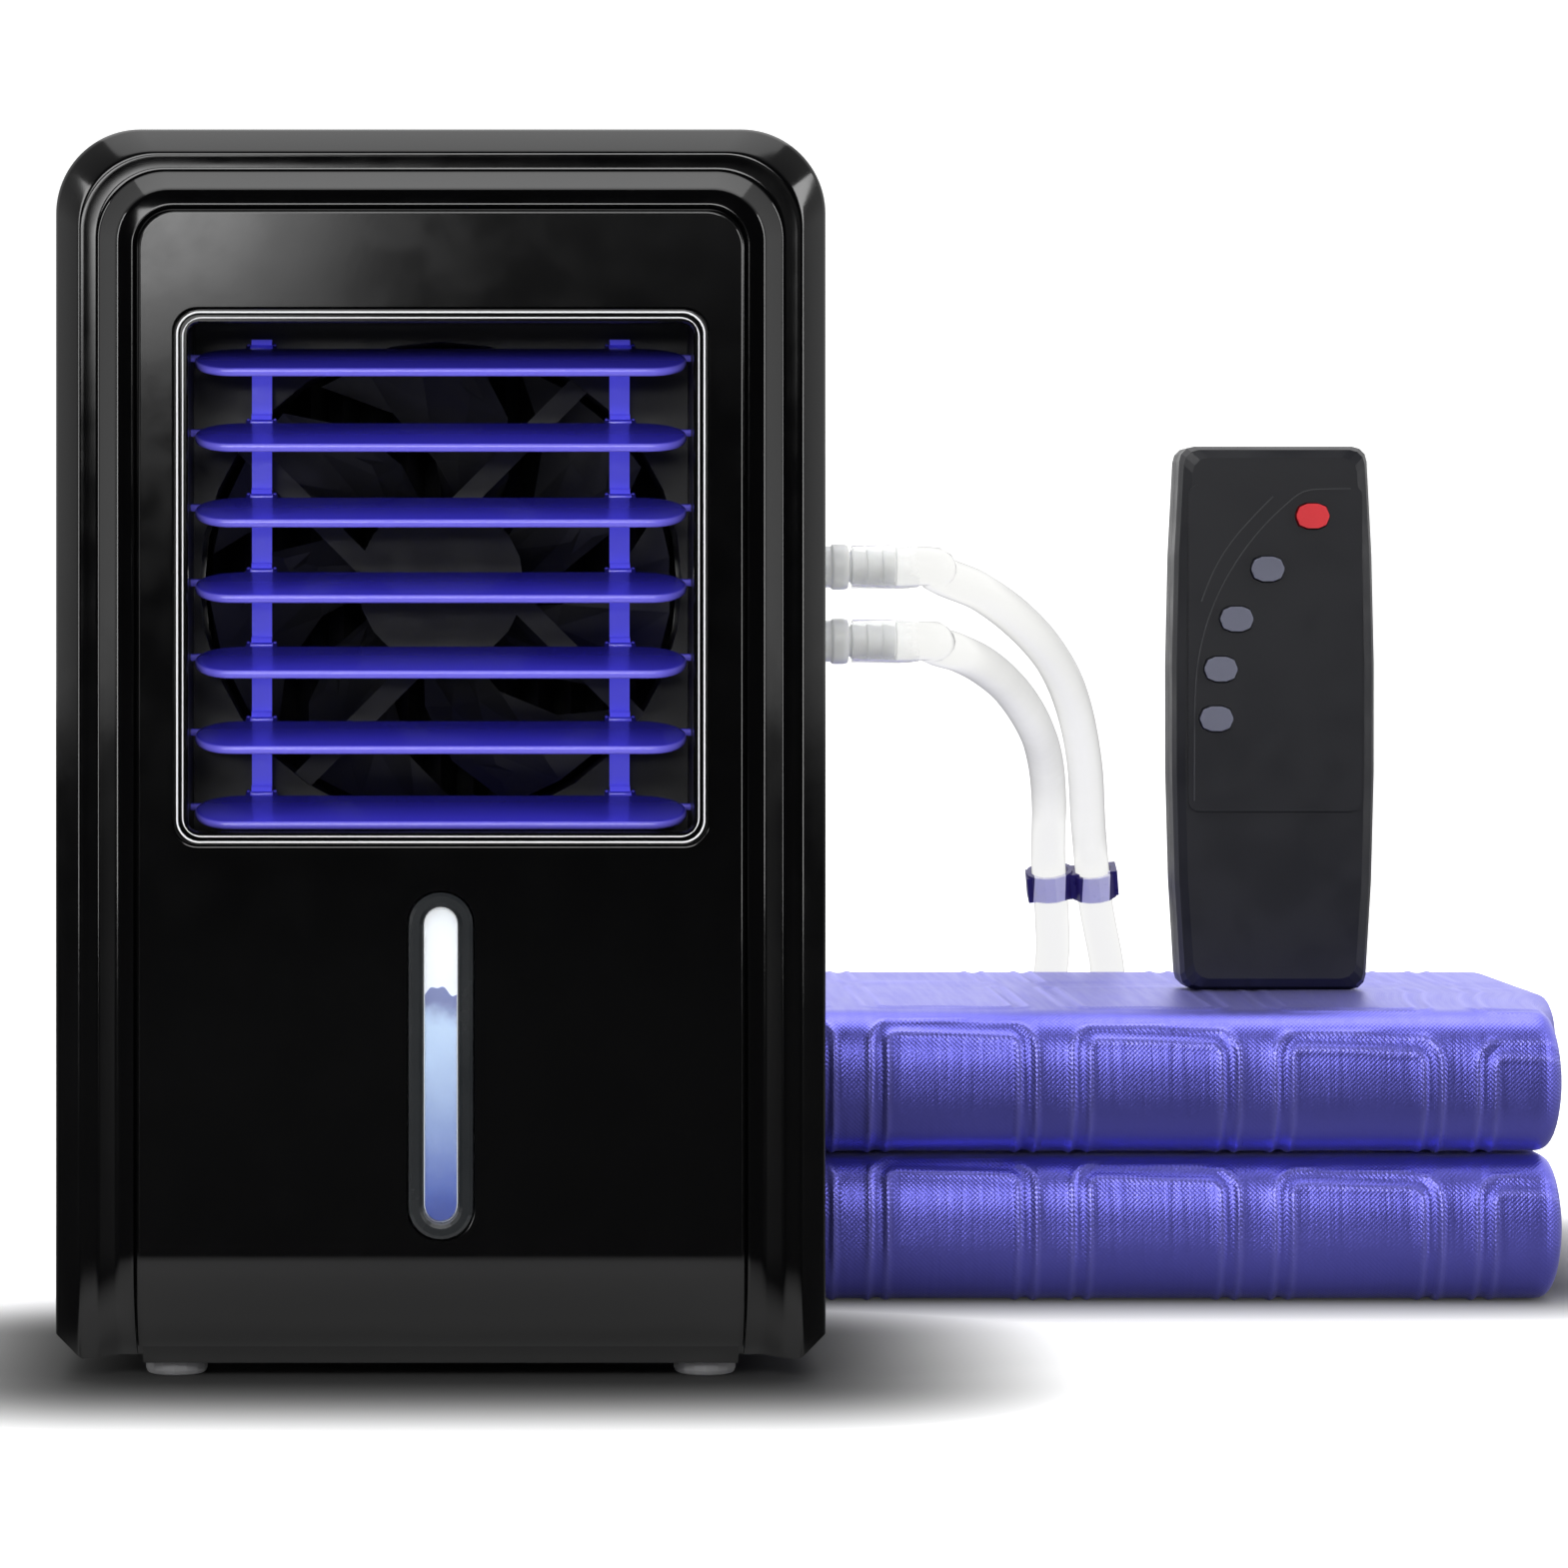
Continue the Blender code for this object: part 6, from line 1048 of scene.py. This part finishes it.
@dataclass
class LouvreBank:
    """Seven violet blades with soft rims, their pivot knobs and link pins."""

    count: int = 7
    pitch: float = 0.01775
    top_z: float = 0.2416
    pivot_y: float = 0.018
    lead: float = 0.014
    length: float = 0.1164
    chord: float = 0.020
    thick: float = 0.002
    reach: float = 0.0100
    tilt: float = math.radians(17.0)
    tunnel_half: float = 0.0593
    link_x: float = 0.0428
    link_arm: float = 0.009
    link_width: float = 0.0048
    pin_radius: float = 0.001

    def outline(self, inset: float) -> list[tuple[float, float]]:
        """Blade outline (x, y) drawn in by an inset, with blunt elliptical ends."""
        half, deep = self.length / 2 - inset, self.chord / 2 - inset
        middle = self.pivot_y - self.lead + self.chord / 2
        end = []
        for step in range(29):
            angle = -math.pi / 2 + math.pi * step / 28
            reach = self.reach * (0.9 if angle < 0 else 1.18)
            end.append((half - reach + reach * abs(math.cos(angle)) ** 0.85, middle + deep * math.sin(angle)))
        return end + [(-x, y) for x, y in reversed(end)]

    def blade(self, number: int, finish: bpy.types.Material) -> bpy.types.Object:
        """One blade with its knobs, ears and pins, tilted about its pivot."""
        height = self.top_z - self.pitch * (number - 1)
        form, edge = bmesh.new(), self.thick / 2
        rings = []
        for step in (-1, *range(9), 9):
            angle = -math.pi / 2 + math.pi * min(8, max(0, step)) / 8
            inset = edge * (1 - math.cos(angle)) * 0.8 + (0.0005 if step in (-1, 9) else 0.0)
            rings.append([Vector((x, y, edge * math.sin(angle))) for x, y in self.outline(inset)])
        stacked(form, rings)
        for side in (-1, 1):
            pin(form, Vector((side * (self.length / 2 - 0.004), self.pivot_y, 0.0)),
                Vector((side * (self.tunnel_half + 0.0009), self.pivot_y, 0.0)), 0.0009)
            middle, deep = side * self.link_x, self.pivot_y + self.link_arm
            pin(form, Vector((middle - 0.0037, deep, 0.0)), Vector((middle + 0.0037, deep, 0.0)), self.pin_radius, 0.6)
            for edge_side in (-1, 1):
                ear = middle + edge_side * (self.link_width / 2 + 0.0008)
                pin(form, Vector((ear - 0.0005, deep, 0.0)), Vector((ear + 0.0005, deep, 0.0)), 0.00125, 0.5)
                rings = [[Vector((ear + x, y, z)) for x, y in ((-0.0005, self.pivot_y + 0.0055), (0.0005, self.pivot_y + 0.0055),
                                                               (0.0005, deep), (-0.0005, deep))] for z in (-0.0009, 0.0009)]
                stacked(form, rings)
        for vert in form.verts:
            arm = vert.co - Vector((0.0, self.pivot_y, 0.0))
            arm.y, arm.z = (arm.y * math.cos(self.tilt) - arm.z * math.sin(self.tilt),
                            arm.y * math.sin(self.tilt) + arm.z * math.cos(self.tilt))
            vert.co = placed(arm.x, self.pivot_y + arm.y, height + arm.z)
        return form_object(f"louver_blade_skin_{number}", form, finish)

    def build(self, finish: bpy.types.Material) -> None:
        """Make every blade, each riding on its own body."""
        for number in range(1, self.count + 1):
            blade = self.blade(number, finish)
            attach(blade, f"louver_{number}")
            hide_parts(f"louver_blade_{number}")


@dataclass
class PortFitting:
    """Ribbed hose fitting, finely turned, with the hose end that is pushed over its barb."""

    label: str
    height: float
    y: float = 0.105
    start: float = 0.0783
    tip: float = 0.1155
    half_width: float = 0.091
    sides: int = 56

    def turned(self, name: str, profile: list[tuple[float, ...]], finish: bpy.types.Material) -> bpy.types.Object:
        """Spin a closed profile of (along, radius) about the fitting's axis."""
        form = bmesh.new()
        rings = []
        for step in range(self.sides + 1):
            angle = math.tau * step / self.sides
            rings.append([placed(along, self.y + radius * math.cos(angle), self.height + radius * math.sin(angle))
                          for along, radius in profile])
        stacked(form, rings, capped=False)
        return form_object(name, form, finish)

    def fitting(self, finish: bpy.types.Material) -> bpy.types.Object:
        """Nipple, nut, neck, collar and three saw-tooth ribs, bored through."""
        nut, wall = self.start + 0.006, self.start + 0.0102
        flange, collar, rib, core = self.half_width + 0.0003, self.half_width + 0.0125, 0.004, 0.00387
        outline = [(self.tip, 0.002)]
        for index in range(3):
            end = self.tip - rib * index
            outline += [(end, core), (end - rib * 0.8, 0.0045), (end - rib * 0.82, core)]
        outline += [(collar, core), (collar, 0.0055), (collar - 0.0012, 0.0058), (collar - 0.004, 0.0058),
                    (collar - 0.0044, 0.0052), (flange + 0.0024, 0.0052), (flange + 0.0024, 0.0075), (flange, 0.0075),
                    (flange, 0.0052), (wall, 0.0052), (wall, 0.0075), (nut, 0.0075), (nut, 0.003), (self.start, 0.003),
                    (self.start, 0.002)]
        return self.turned(f"{self.label}_port_turned", [tuple(p) for p in eased(outline, 0.0004, 3)], finish)

    def sleeve(self, finish: bpy.types.Material) -> bpy.types.Object:
        """Thin stretched end of the hose over the barb, drawn in to the hose's own size."""
        outline = [(0.1045, 0.0047), (0.1045, 0.0055), (0.1160, 0.0056), (0.1185, 0.00545), (0.1215, 0.00512),
                   (0.1215, 0.00504), (0.1185, 0.00512), (0.1157, 0.0050)]
        return self.turned(f"{self.label}_hose_end", [tuple(p) for p in eased(outline, 0.0004, 3)], finish)

    def build(self, body: bpy.types.Material, skin: bpy.types.Material) -> None:
        """Make both and let them ride on the cabinet."""
        fitting = self.fitting(body)
        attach(fitting, "cooler")
        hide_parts(f"{self.label}_port")
        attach(self.sleeve(skin), "cooler")


class Way(Enum):
    """Which way a fastener's head looks, as the turn of its axis."""

    FRONT = (math.pi / 2, 0.0, 0.0)
    BACK = (-math.pi / 2, 0.0, 0.0)


@dataclass(frozen=True)
class ScrewGroup:
    """Equal cross-head screws at listed places, instanced by geometry nodes."""

    label: str
    body: str
    spots: tuple[tuple[float, float, float], ...]
    way: Way
    radius: float = 0.0029
    height: float = 0.0011

    def tree(self) -> tuple[bpy.types.NodeTree, dict[str, str]]:
        """Node tree that sets a screw on every point.

        Returns:
            The tree and the identifiers of its named inputs.
        """
        tree = bpy.data.node_groups.new(f"{self.label}_heads", "GeometryNodeTree")
        face = tree.interface
        face.new_socket("Geometry", in_out="INPUT", socket_type="NodeSocketGeometry")
        names = {}
        for name, kind in (("Head Size", "NodeSocketVector"), ("Turn", "NodeSocketRotation"), ("Seed", "NodeSocketInt"),
                           ("Finish", "NodeSocketMaterial")):
            names[name] = face.new_socket(name, in_out="INPUT", socket_type=kind).identifier
        face.new_socket("Geometry", in_out="OUTPUT", socket_type="NodeSocketGeometry")
        new, link = tree.nodes.new, tree.links.new
        given, out = new("NodeGroupInput"), new("NodeGroupOutput")
        ball, cut, bar, far_bar = (new("GeometryNodeMeshUVSphere"), new("GeometryNodeMeshBoolean"),
                                   new("GeometryNodeMeshCube"), new("GeometryNodeMeshCube"))
        ball.inputs["Segments"].default_value, ball.inputs["Rings"].default_value = 40, 20
        ball.inputs["Radius"].default_value = 1.0
        bar.inputs["Size"].default_value, far_bar.inputs["Size"].default_value = (1.15, 0.2, 0.9), (0.2, 1.15, 0.9)
        cut.operation = "DIFFERENCE"
        link(ball.outputs["Mesh"], cut.inputs[0])
        for cube in (bar, far_bar):
            lift = new("GeometryNodeTransform")
            lift.inputs["Translation"].default_value = (0.0, 0.0, 1.0)
            link(cube.outputs["Mesh"], lift.inputs["Geometry"])
            link(lift.outputs["Geometry"], cut.inputs[1])
        points, place = new("GeometryNodeMeshToPoints"), new("GeometryNodeInstanceOnPoints")
        spin, random = new("FunctionNodeRotateRotation"), new("FunctionNodeRandomValue")
        joined = new("FunctionNodeEulerToRotation")
        random.data_type, spin.rotation_space = "FLOAT_VECTOR", "LOCAL"
        random.inputs[1].default_value = (0.0, 0.0, math.pi / 2)
        link(given.outputs["Seed"], random.inputs["Seed"])
        link(random.outputs[0], joined.inputs[0])
        link(given.outputs["Turn"], spin.inputs[0])
        link(joined.outputs[0], spin.inputs[1])
        link(given.outputs["Geometry"], points.inputs["Mesh"])
        link(points.outputs["Points"], place.inputs["Points"])
        link(cut.outputs["Mesh"], place.inputs["Instance"])
        link(spin.outputs[0], place.inputs["Rotation"])
        link(given.outputs["Head Size"], place.inputs["Scale"])
        real, paint = new("GeometryNodeRealizeInstances"), new("GeometryNodeSetMaterial")
        link(place.outputs["Instances"], real.inputs["Geometry"])
        link(real.outputs["Geometry"], paint.inputs["Geometry"])
        link(given.outputs["Finish"], paint.inputs["Material"])
        link(paint.outputs["Geometry"], out.inputs[0])
        return tree, names

    def build(self, finish: bpy.types.Material) -> None:
        """Evaluate the tree into a plain mesh that rides on the body."""
        tree, names = self.tree()
        data = bpy.data.meshes.new(f"{self.label}_spots")
        data.from_pydata([placed(*spot) for spot in self.spots], [], [])
        holder = bpy.data.objects.new(f"{self.label}_spots", data)
        bpy.context.scene.collection.objects.link(holder)
        heads = holder.modifiers.new("heads", "NODES")
        heads.node_group = tree
        heads[names["Head Size"]] = (self.radius, self.radius, self.height)
        heads[names["Turn"]] = self.way.value
        heads[names["Seed"]] = 7
        heads[names["Finish"]] = finish
        shaped = bpy.data.meshes.new_from_object(holder.evaluated_get(bpy.context.evaluated_depsgraph_get()))
        bpy.data.objects.remove(holder)
        form = bmesh.new()
        form.from_mesh(shaped)
        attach(form_object(self.label, form, finish), self.body)


@dataclass
class OverlayLines:
    """Two fine raised arcs printed on the remote's overlay, with no words."""

    face: float = 0.2041
    radius: float = 0.00016
    lines: tuple[tuple[tuple[float, float], ...], ...] = (
        ((0.2082, 0.1838), (0.2105, 0.1905), (0.2150, 0.1985), (0.2215, 0.2063), (0.2278, 0.2125)),
        ((0.2062, 0.1292), (0.2062, 0.1450), (0.2064, 0.1600), (0.2075, 0.1700), (0.2105, 0.1810), (0.2160, 0.1925),
         (0.2240, 0.2035), (0.2330, 0.2120), (0.2362, 0.2140), (0.2400, 0.2146), (0.2490, 0.2146)))

    def build(self, finish: bpy.types.Material) -> None:
        """Draw the arcs as thin tubes that ride on the remote."""
        for number, line in enumerate(self.lines):
            curve = bpy.data.curves.new(f"overlay_arc_{number}", "CURVE")
            curve.dimensions, curve.bevel_depth = "3D", self.radius
            curve.bevel_resolution, curve.use_fill_caps = 2, True
            spline = curve.splines.new("NURBS")
            spline.points.add(len(line) - 1)
            spline.use_endpoint_u, spline.order_u = True, 3
            for knot, (x, z) in zip(spline.points, line):
                knot.co = (*placed(x, self.face, z), 1.0)
            drawn = bpy.data.objects.new(f"overlay_arc_{number}", curve)
            data = bpy.data.meshes.new_from_object(drawn)
            bpy.data.objects.remove(drawn)
            form = bmesh.new()
            form.from_mesh(data)
            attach(form_object(f"overlay_arc_{number}", form, finish), "remote")


@dataclass(frozen=True)
class LouvreViolet:
    """Blade plastic with painted light: painted shade, deep on the upper face and darker towards the back, and a
    painted highlight, paler on the rounded front rim.
    """

    name: str = "louvre_violet_painted_light"
    face_front_painted_light: Colour = (0.050, 0.042, 0.60)
    face_back_painted_shade: Colour = (0.020, 0.017, 0.24)
    rim: Colour = (0.15, 0.13, 0.74)

    def make(self) -> bpy.types.Material:
        """Build the material."""
        shade = Shade(self.name)
        front = placed(0.0, 0.006, 0.0).y
        # Painted shade: the upper face darkens from front to back, deeper into the tunnel.
        face = shade.blend(shade.ramp(shade.axis("Y"), front, front + 0.016, 0.0, 1.0), self.face_front_painted_light, self.face_back_painted_shade)
        turned = shade.add("SeparateXYZ", {0: shade.add("TexCoord").outputs["Normal"]})
        # Painted highlight: faces that turn from up towards the front take the paler rim colour.
        rim = shade.ramp(turned.outputs["Z"], 0.93, 0.62, 0.0, 1.0)
        shade.feed("Base Color", shade.blend(rim, face, self.rim))
        shade.feed("Roughness", shade.ramp(shade.cloud(90.0, 3.0), 0.3, 0.7, 0.235, 0.25))
        shade.feed("Coat Weight", 0.6)
        shade.feed("Coat Roughness", 0.08)
        shade.relief(shade.cloud(600.0), 0.000004)
        return shade.material


@dataclass(frozen=True)
class CoatedCloth:
    """Violet coated pad cloth: fine basket weave, satin sheen, fine creases beside the welds and a painted highlight
    along them.
    """

    name: str = "pad_cloth"
    thread: float = 2600.0

    def make(self) -> bpy.types.Material:
        """Build the material."""
        shade = Shade(self.name)
        skin = shade.add("UVMap", uv_map="skin").outputs["UV"]
        soft = shade.cloud(26.0, 3.0)
        body = shade.blend(soft, (0.125, 0.121, 0.56), (0.175, 0.17, 0.72))
        weld = shade.add("Attribute", attribute_name="weld").outputs["Fac"]
        # Painted highlight: the cloth turns paler along the weld lines.
        shade.feed("Base Color", shade.blend(shade.maths("MULTIPLY", weld, 0.45), body, (0.28, 0.27, 0.84)))
        shade.feed("Metallic", 0.9)
        streak = shade.add("Mapping", {"Vector": skin, "Scale": (520.0, 26.0, 1.0)}).outputs["Vector"]
        creases = shade.cloud(1.0, 3.0, streak)
        shade.feed("Roughness", shade.ramp(creases, 0.25, 0.75, 0.33, 0.41))
        shade.feed("Sheen Weight", 0.15)
        shade.feed("Sheen Roughness", 0.4)
        shade.feed("Sheen Tint", (0.7, 0.68, 1.0))
        turned = shade.add("SeparateXYZ", {0: shade.add("TexCoord").outputs["Normal"]})
        creases = shade.maths("MULTIPLY", creases, shade.ramp(turned.outputs["Z"], 0.92, 0.6, 0.12, 1.0))
        split = shade.add("SeparateXYZ", {0: skin})
        warp = shade.maths("SINE", shade.maths("MULTIPLY", split.outputs["X"], self.thread * 2.0))
        weft = shade.maths("SINE", shade.maths("MULTIPLY", split.outputs["Y"], self.thread * 2.0))
        under = shade.relief(shade.maths("MULTIPLY", warp, weft), 0.00003)
        shade.relief(creases, 0.00022, under)
        return shade.material


@dataclass(frozen=True)
class HoseWall:
    """Clear vinyl whose milky look is a painted glow: emission that stands in for the light through the wall, paler in
    the middle and greyer towards the grazing edges.
    """

    name: str = "hose_wall"

    def make(self) -> bpy.types.Material:
        """Build the material."""
        shade = Shade(self.name)
        facing = shade.add("LayerWeight", {"Blend": 0.3}).outputs["Facing"]
        edge = shade.ramp(facing, 0.35, 0.95, 0.0, 1.0)
        shade.feed("Base Color", shade.blend(edge, (0.10, 0.10, 0.10), (0.10, 0.10, 0.10)))
        # Painted glow, dimmer at the grazing edges as painted shade.
        shade.feed("Emission Color", shade.blend(edge, (0.84, 0.84, 0.82), (0.30, 0.30, 0.30)))
        shade.feed("Emission Strength", 1.0)
        shade.feed("Specular IOR Level", 0.15)
        shade.feed("Roughness", shade.ramp(shade.cloud(120.0, 3.0), 0.3, 0.7, 0.38, 0.45))
        shade.relief(shade.cloud(120.0, 2.0), 0.000002)
        return shade.material


@dataclass(frozen=True)
class GaugeWater:
    """Still water seen through the gauge, pale at its top and deep blue at its foot."""

    name: str
    top: float
    foot: float

    def make(self) -> bpy.types.Material:
        """Build the material."""
        shade = Shade(self.name)
        height = shade.axis("Z")
        drift = shade.maths("MULTIPLY", shade.cloud(240.0, 2.0), 0.006)
        level = shade.maths("ADD", height, drift)
        down = shade.ramp(level, self.foot, self.top, 0.0, 1.0)
        body = shade.blend(down, (0.006, 0.040, 0.30), (0.46, 0.58, 0.76))
        deep = shade.ramp(level, self.foot, self.foot + 0.012, 0.7, 0.0)
        colour = shade.blend(deep, body, (0.006, 0.02, 0.16))
        wave = shade.ramp(level, self.top - 0.0055, self.top + 0.001, 0.0, 0.85)
        colour = shade.blend(wave, colour, (0.10, 0.11, 0.30))
        shade.feed("Base Color", colour)
        # Painted glow: the water emits its own colour, standing in for light through the tank.
        shade.feed("Emission Color", colour)
        shade.feed("Emission Strength", 0.8)
        shade.feed("Roughness", shade.ramp(shade.cloud(300.0), 0.3, 0.7, 0.05, 0.12))
        return shade.material


@dataclass(frozen=True)
class BackLight:
    """Pale strip behind the gauge that carries the room's light through the tank."""

    name: str = "gauge_pale_strip"

    def make(self) -> bpy.types.Material:
        """Build the material."""
        shade = Shade(self.name)
        tone = shade.blend(shade.cloud(60.0), (0.84, 0.86, 0.88), (0.92, 0.93, 0.94))
        shade.feed("Base Color", tone)
        shade.feed("Emission Color", tone)
        shade.feed("Emission Strength", 0.8)
        shade.feed("Roughness", 0.5)
        return shade.material


@dataclass(frozen=True)
class BandedClip:
    """Dark grip blocks with a pale lilac band between them, lightly subsurface-scattering, by place across the clip."""

    name: str
    low: float
    high: float

    def make(self) -> bpy.types.Material:
        """Build the material."""
        shade = Shade(self.name)
        across = shade.axis("X")
        middle = (self.low + self.high) / 2
        share = None
        for start, end in ((self.low - 0.01, self.low + 0.0021), (middle - 0.0025, middle + 0.0025),
                           (self.high - 0.0031, self.high + 0.01)):
            inside = shade.maths("MULTIPLY", shade.maths("GREATER_THAN", across, start),
                                 shade.maths("LESS_THAN", across, end))
            share = inside if share is None else shade.maths("MAXIMUM", share, inside)
        shade.feed("Base Color", shade.blend(share, (0.66, 0.65, 0.80), (0.022, 0.014, 0.11)))
        shade.feed("Roughness", shade.ramp(shade.cloud(200.0), 0.3, 0.7, 0.25, 0.4))
        shade.feed("Subsurface Weight", 0.15)
        shade.feed("Subsurface Radius", (0.003, 0.003, 0.004))
        shade.feed("Subsurface Scale", 1.0)
        shade.relief(shade.cloud(900.0), 0.00003)
        return shade.material


class Dressing:
    """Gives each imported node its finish."""

    plan: tuple[tuple[Moulding, tuple[str, ...]], ...] = (
        (CABINET_GLOSS, ("front_bezel", "front_panel", "window_trim", "main_housing", "filler_lid")),
        (RIM_GREY, ("gauge_bezel",)),
        (CABINET_SATIN, ("rear_cover", "louver_frame", "dc_inlet", "ioniser_module")),
        (FAN_PLASTIC, ("fan_frame", "fan_rotor", "fan_motor", "pump_body", "pump_impeller")),
        (LINK_VIOLET, ("louver_blade", "louver_link")),
        (FOOT_SILICONE, ("foot",)),
        (CLEAR_STYRENE, ("gauge_lens", "remote_ir_window")),
        (MILKY_FITTING, ("supply_port", "return_port", "pad_nozzle")),
        (TANK_MILKY, ("pump_tube", "return_tube", "water_tank")),
        (WICK_PAPER, ("evaporative_wick",)),
        (BOARD_GREEN, ("control_board", "remote_board")),
        (REMOTE_SHELL, ("remote_front_shell", "remote_back_shell", "battery_cover", "remote_overlay")),
        (KEY_GREY, ("key_speed", "key_cycle", "key_timer", "key_ion", "remote_key")),
        (KEY_RED, ("key_power", "remote_key_power")),
        (BATTERY_FOIL, ("remote_cell",)),
    )

    def dress(self, nodes: dict[str, bpy.types.Object]) -> list[str]:
        """Assign every planned finish.

        Args:
            nodes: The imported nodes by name.

        Returns:
            Names of the nodes that no line of the plan names.
        """
        left = set(nodes)
        for finish, starts in self.plan:
            material = None
            for name, node in nodes.items():
                if any(name.startswith(start) or start in name for start in starts):
                    material = material or finish.make()
                    self.assign(node, material)
                    left.discard(name)
        return sorted(left)

    @staticmethod
    def assign(node: bpy.types.Object, material: bpy.types.Material) -> None:
        """Put one material in all of a node's slots."""
        for slot in node.material_slots:
            slot.material = material
        if not node.material_slots:
            node.data.materials.append(material)


@dataclass
class Gauge:
    """What the water gauge shows: a pale strip and the column of water in front of it."""

    width: float = 0.0079
    height: float = 0.0735
    centre: float = 0.07525
    level: float = 0.0925
    strip_front: float = 0.0050
    water_front: float = 0.0028

    def outline(self, inset: float, top: float | None = None) -> list[tuple[float, float]]:
        """Obround outline, cut off by a wavy surface at the top where a level is given."""
        half, tall = self.width / 2 - inset, self.height / 2 - inset
        points = []
        for index in range(13):
            angle = math.pi + math.pi * index / 12
            points.append((half * math.cos(angle), self.centre - tall + half + half * math.sin(angle)))
        if top is None:
            for index in range(13):
                angle = math.pi * index / 12
                points.append((half * math.cos(angle), self.centre + tall - half + half * math.sin(angle)))
        else:
            for index in range(25):
                share = 1 - index / 12
                ripple = 0.0011 * math.cos(share * 2.6 + 0.5) + 0.0004 * math.sin(share * 7.0)
                points.append((half * share, top + ripple))
        return points

    def slab(self, name: str, outline: list[tuple[float, float]], front: float, back: float,
             finish: bpy.types.Material) -> bpy.types.Object:
        """Closed slab between two depths with a softened front edge."""
        form = bmesh.new()
        rings = []
        for depth, draw in ((front, 0.94), (front + 0.0002, 1.0), (back, 1.0)):
            rings.append([form.verts.new(placed(x * draw, depth, z)) for x, z in outline])
        for near, far in zip(rings, rings[1:]):
            for index in range(len(outline)):
                after = (index + 1) % len(outline)
                form.faces.new((near[index], near[after], far[after], far[index]))
        form.faces.new(rings[0])
        form.faces.new(rings[-1])
        bmesh.ops.recalc_face_normals(form, faces=form.faces)
        data = bpy.data.meshes.new(name)
        form.to_mesh(data)
        form.free()
        slab = bpy.data.objects.new(name, data)
        bpy.context.scene.collection.objects.link(slab)
        data.materials.append(finish)
        return slab

    def build(self) -> None:
        """Make the strip and the water and let them ride on the cabinet."""
        strip = self.slab("gauge_strip", self.outline(0.0), self.strip_front, self.strip_front + 0.001,
                          BackLight().make())
        foot = self.centre - self.height / 2
        water = GaugeWater("gauge_blue_water", self.level, foot).make()
        column = self.slab("gauge_water", self.outline(0.0002, self.level), self.water_front,
                           self.strip_front - 0.0003, water)
        for piece in (strip, column):
            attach(piece, "cooler")


def main() -> None:
    """Load the frame, build each group in order and finish."""
    logging.basicConfig(level=logging.INFO, format="%(name)s: %(message)s")
    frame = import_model()
    Studio().build()
    wall = HoseWall().make()
    for hose in HOSES:
        hose.build(wall)
        LOG.info("%s hose laid", hose.label)
    left = Dressing().dress(frame["nodes"])
    LOG.info("nodes without a planned finish: %s", left)
    clip_low, clip_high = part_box("hose_clip")
    Dressing.assign(frame["nodes"]["hose_clip"], BandedClip("clip_bands", clip_low.x, clip_high.x).make())
    gloss, violet = CABINET_GLOSS.make(), LouvreViolet().make()
    front = FrontFrame()
    for piece, node in ((front.bezel(gloss), "front_bezel"), (front.panel(gloss), "front_panel")):
        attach(piece, "cooler")
        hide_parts(node)
    for bead in front.beads(BRIGHT_BEAD.make()):
        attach(bead, "cooler")
    CabinetWrap().build(gloss, CABINET_SATIN.make())
    LouvreBank().build(violet)
    fitting, sleeve = MILKY_FITTING.make(), HOSE_SLEEVE.make()
    for port in (PortFitting("supply", 0.1926), PortFitting("return", 0.1737)):
        port.build(fitting, sleeve)
    for group in SCREWS:
        group.build(PLAIN_STEEL.make())
    OverlayLines().build(ARC_GREY.make())
    LOG.info("front frame and louvres made")
    cloth = CoatedCloth().make()
    folds = [lobe.build(cloth) for lobe in PAD_LOBES]
    for fold in folds:
        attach(fold, "cooler")
    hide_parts("mattress_pad")
    Gauge().build()


SCREWS = (
    ScrewGroup("rear_cover_screws", "cooler", tuple((x, 0.1300, z) for x in (-0.074, 0.074) for z in (0.030, 0.271)),
               Way.BACK),
    ScrewGroup("fan_frame_screws", "cooler", tuple((x, 0.0353, 0.18835 + z) for x in (-0.0524, 0.0524)
                                                   for z in (-0.0524, 0.0524)), Way.FRONT),
    ScrewGroup("remote_back_screws", "remote", ((0.2094, 0.2250, 0.2050), (0.2474, 0.2250, 0.2050)), Way.BACK,
               0.0018, 0.0006),
)
HOSES = (
    Hose("supply", (
        (.1265, .1075, .1910), (.1381, .1180, .1866), (.1525, .1450, .1780), (.1651, .1800, .1674), (.1745, .2150, .1548),
        (.1819, .2500, .1383), (.1872, .2840, .1200), (.1896, .2975, .1110), (.1907, .3000, .1017), (.1922, .3024, .0925),
        (.1955, .3070, .0780), (.1995, .3140, .0541), (.2109, .3210, .0339), (.2279, .3270, .0203)),
        port_height=0.1926, coil_x=0.2680, hand=1),
    Hose("return", (
        (.1250, .1070, .1729), (.1316, .1120, .1710), (.1415, .1350, .1669), (.1522, .1680, .1601), (.1624, .2050, .1501),
        (.1702, .2450, .1392), (.1757, .2820, .1250), (.1772, .2970, .1110), (.1779, .3000, .1017), (.1789, .3024, .0925),
        (.1795, .3070, .0780), (.1758, .3140, .0541), (.1654, .3210, .0339), (.1499, .3270, .0203)),
        port_height=0.1737, coil_x=0.1100, hand=-1),
)
PAD_LOBES = (
    PadLobe("pad_upper_fold", floor=0.0392, roof=0.0764, row_edge=-0.0626),
    PadLobe("pad_lower_fold", floor=0.0004, roof=0.0386, row_edge=-0.0600, roof_swell=0.0, back_flare=0.0),
)


if __name__ == "__main__":
    main()
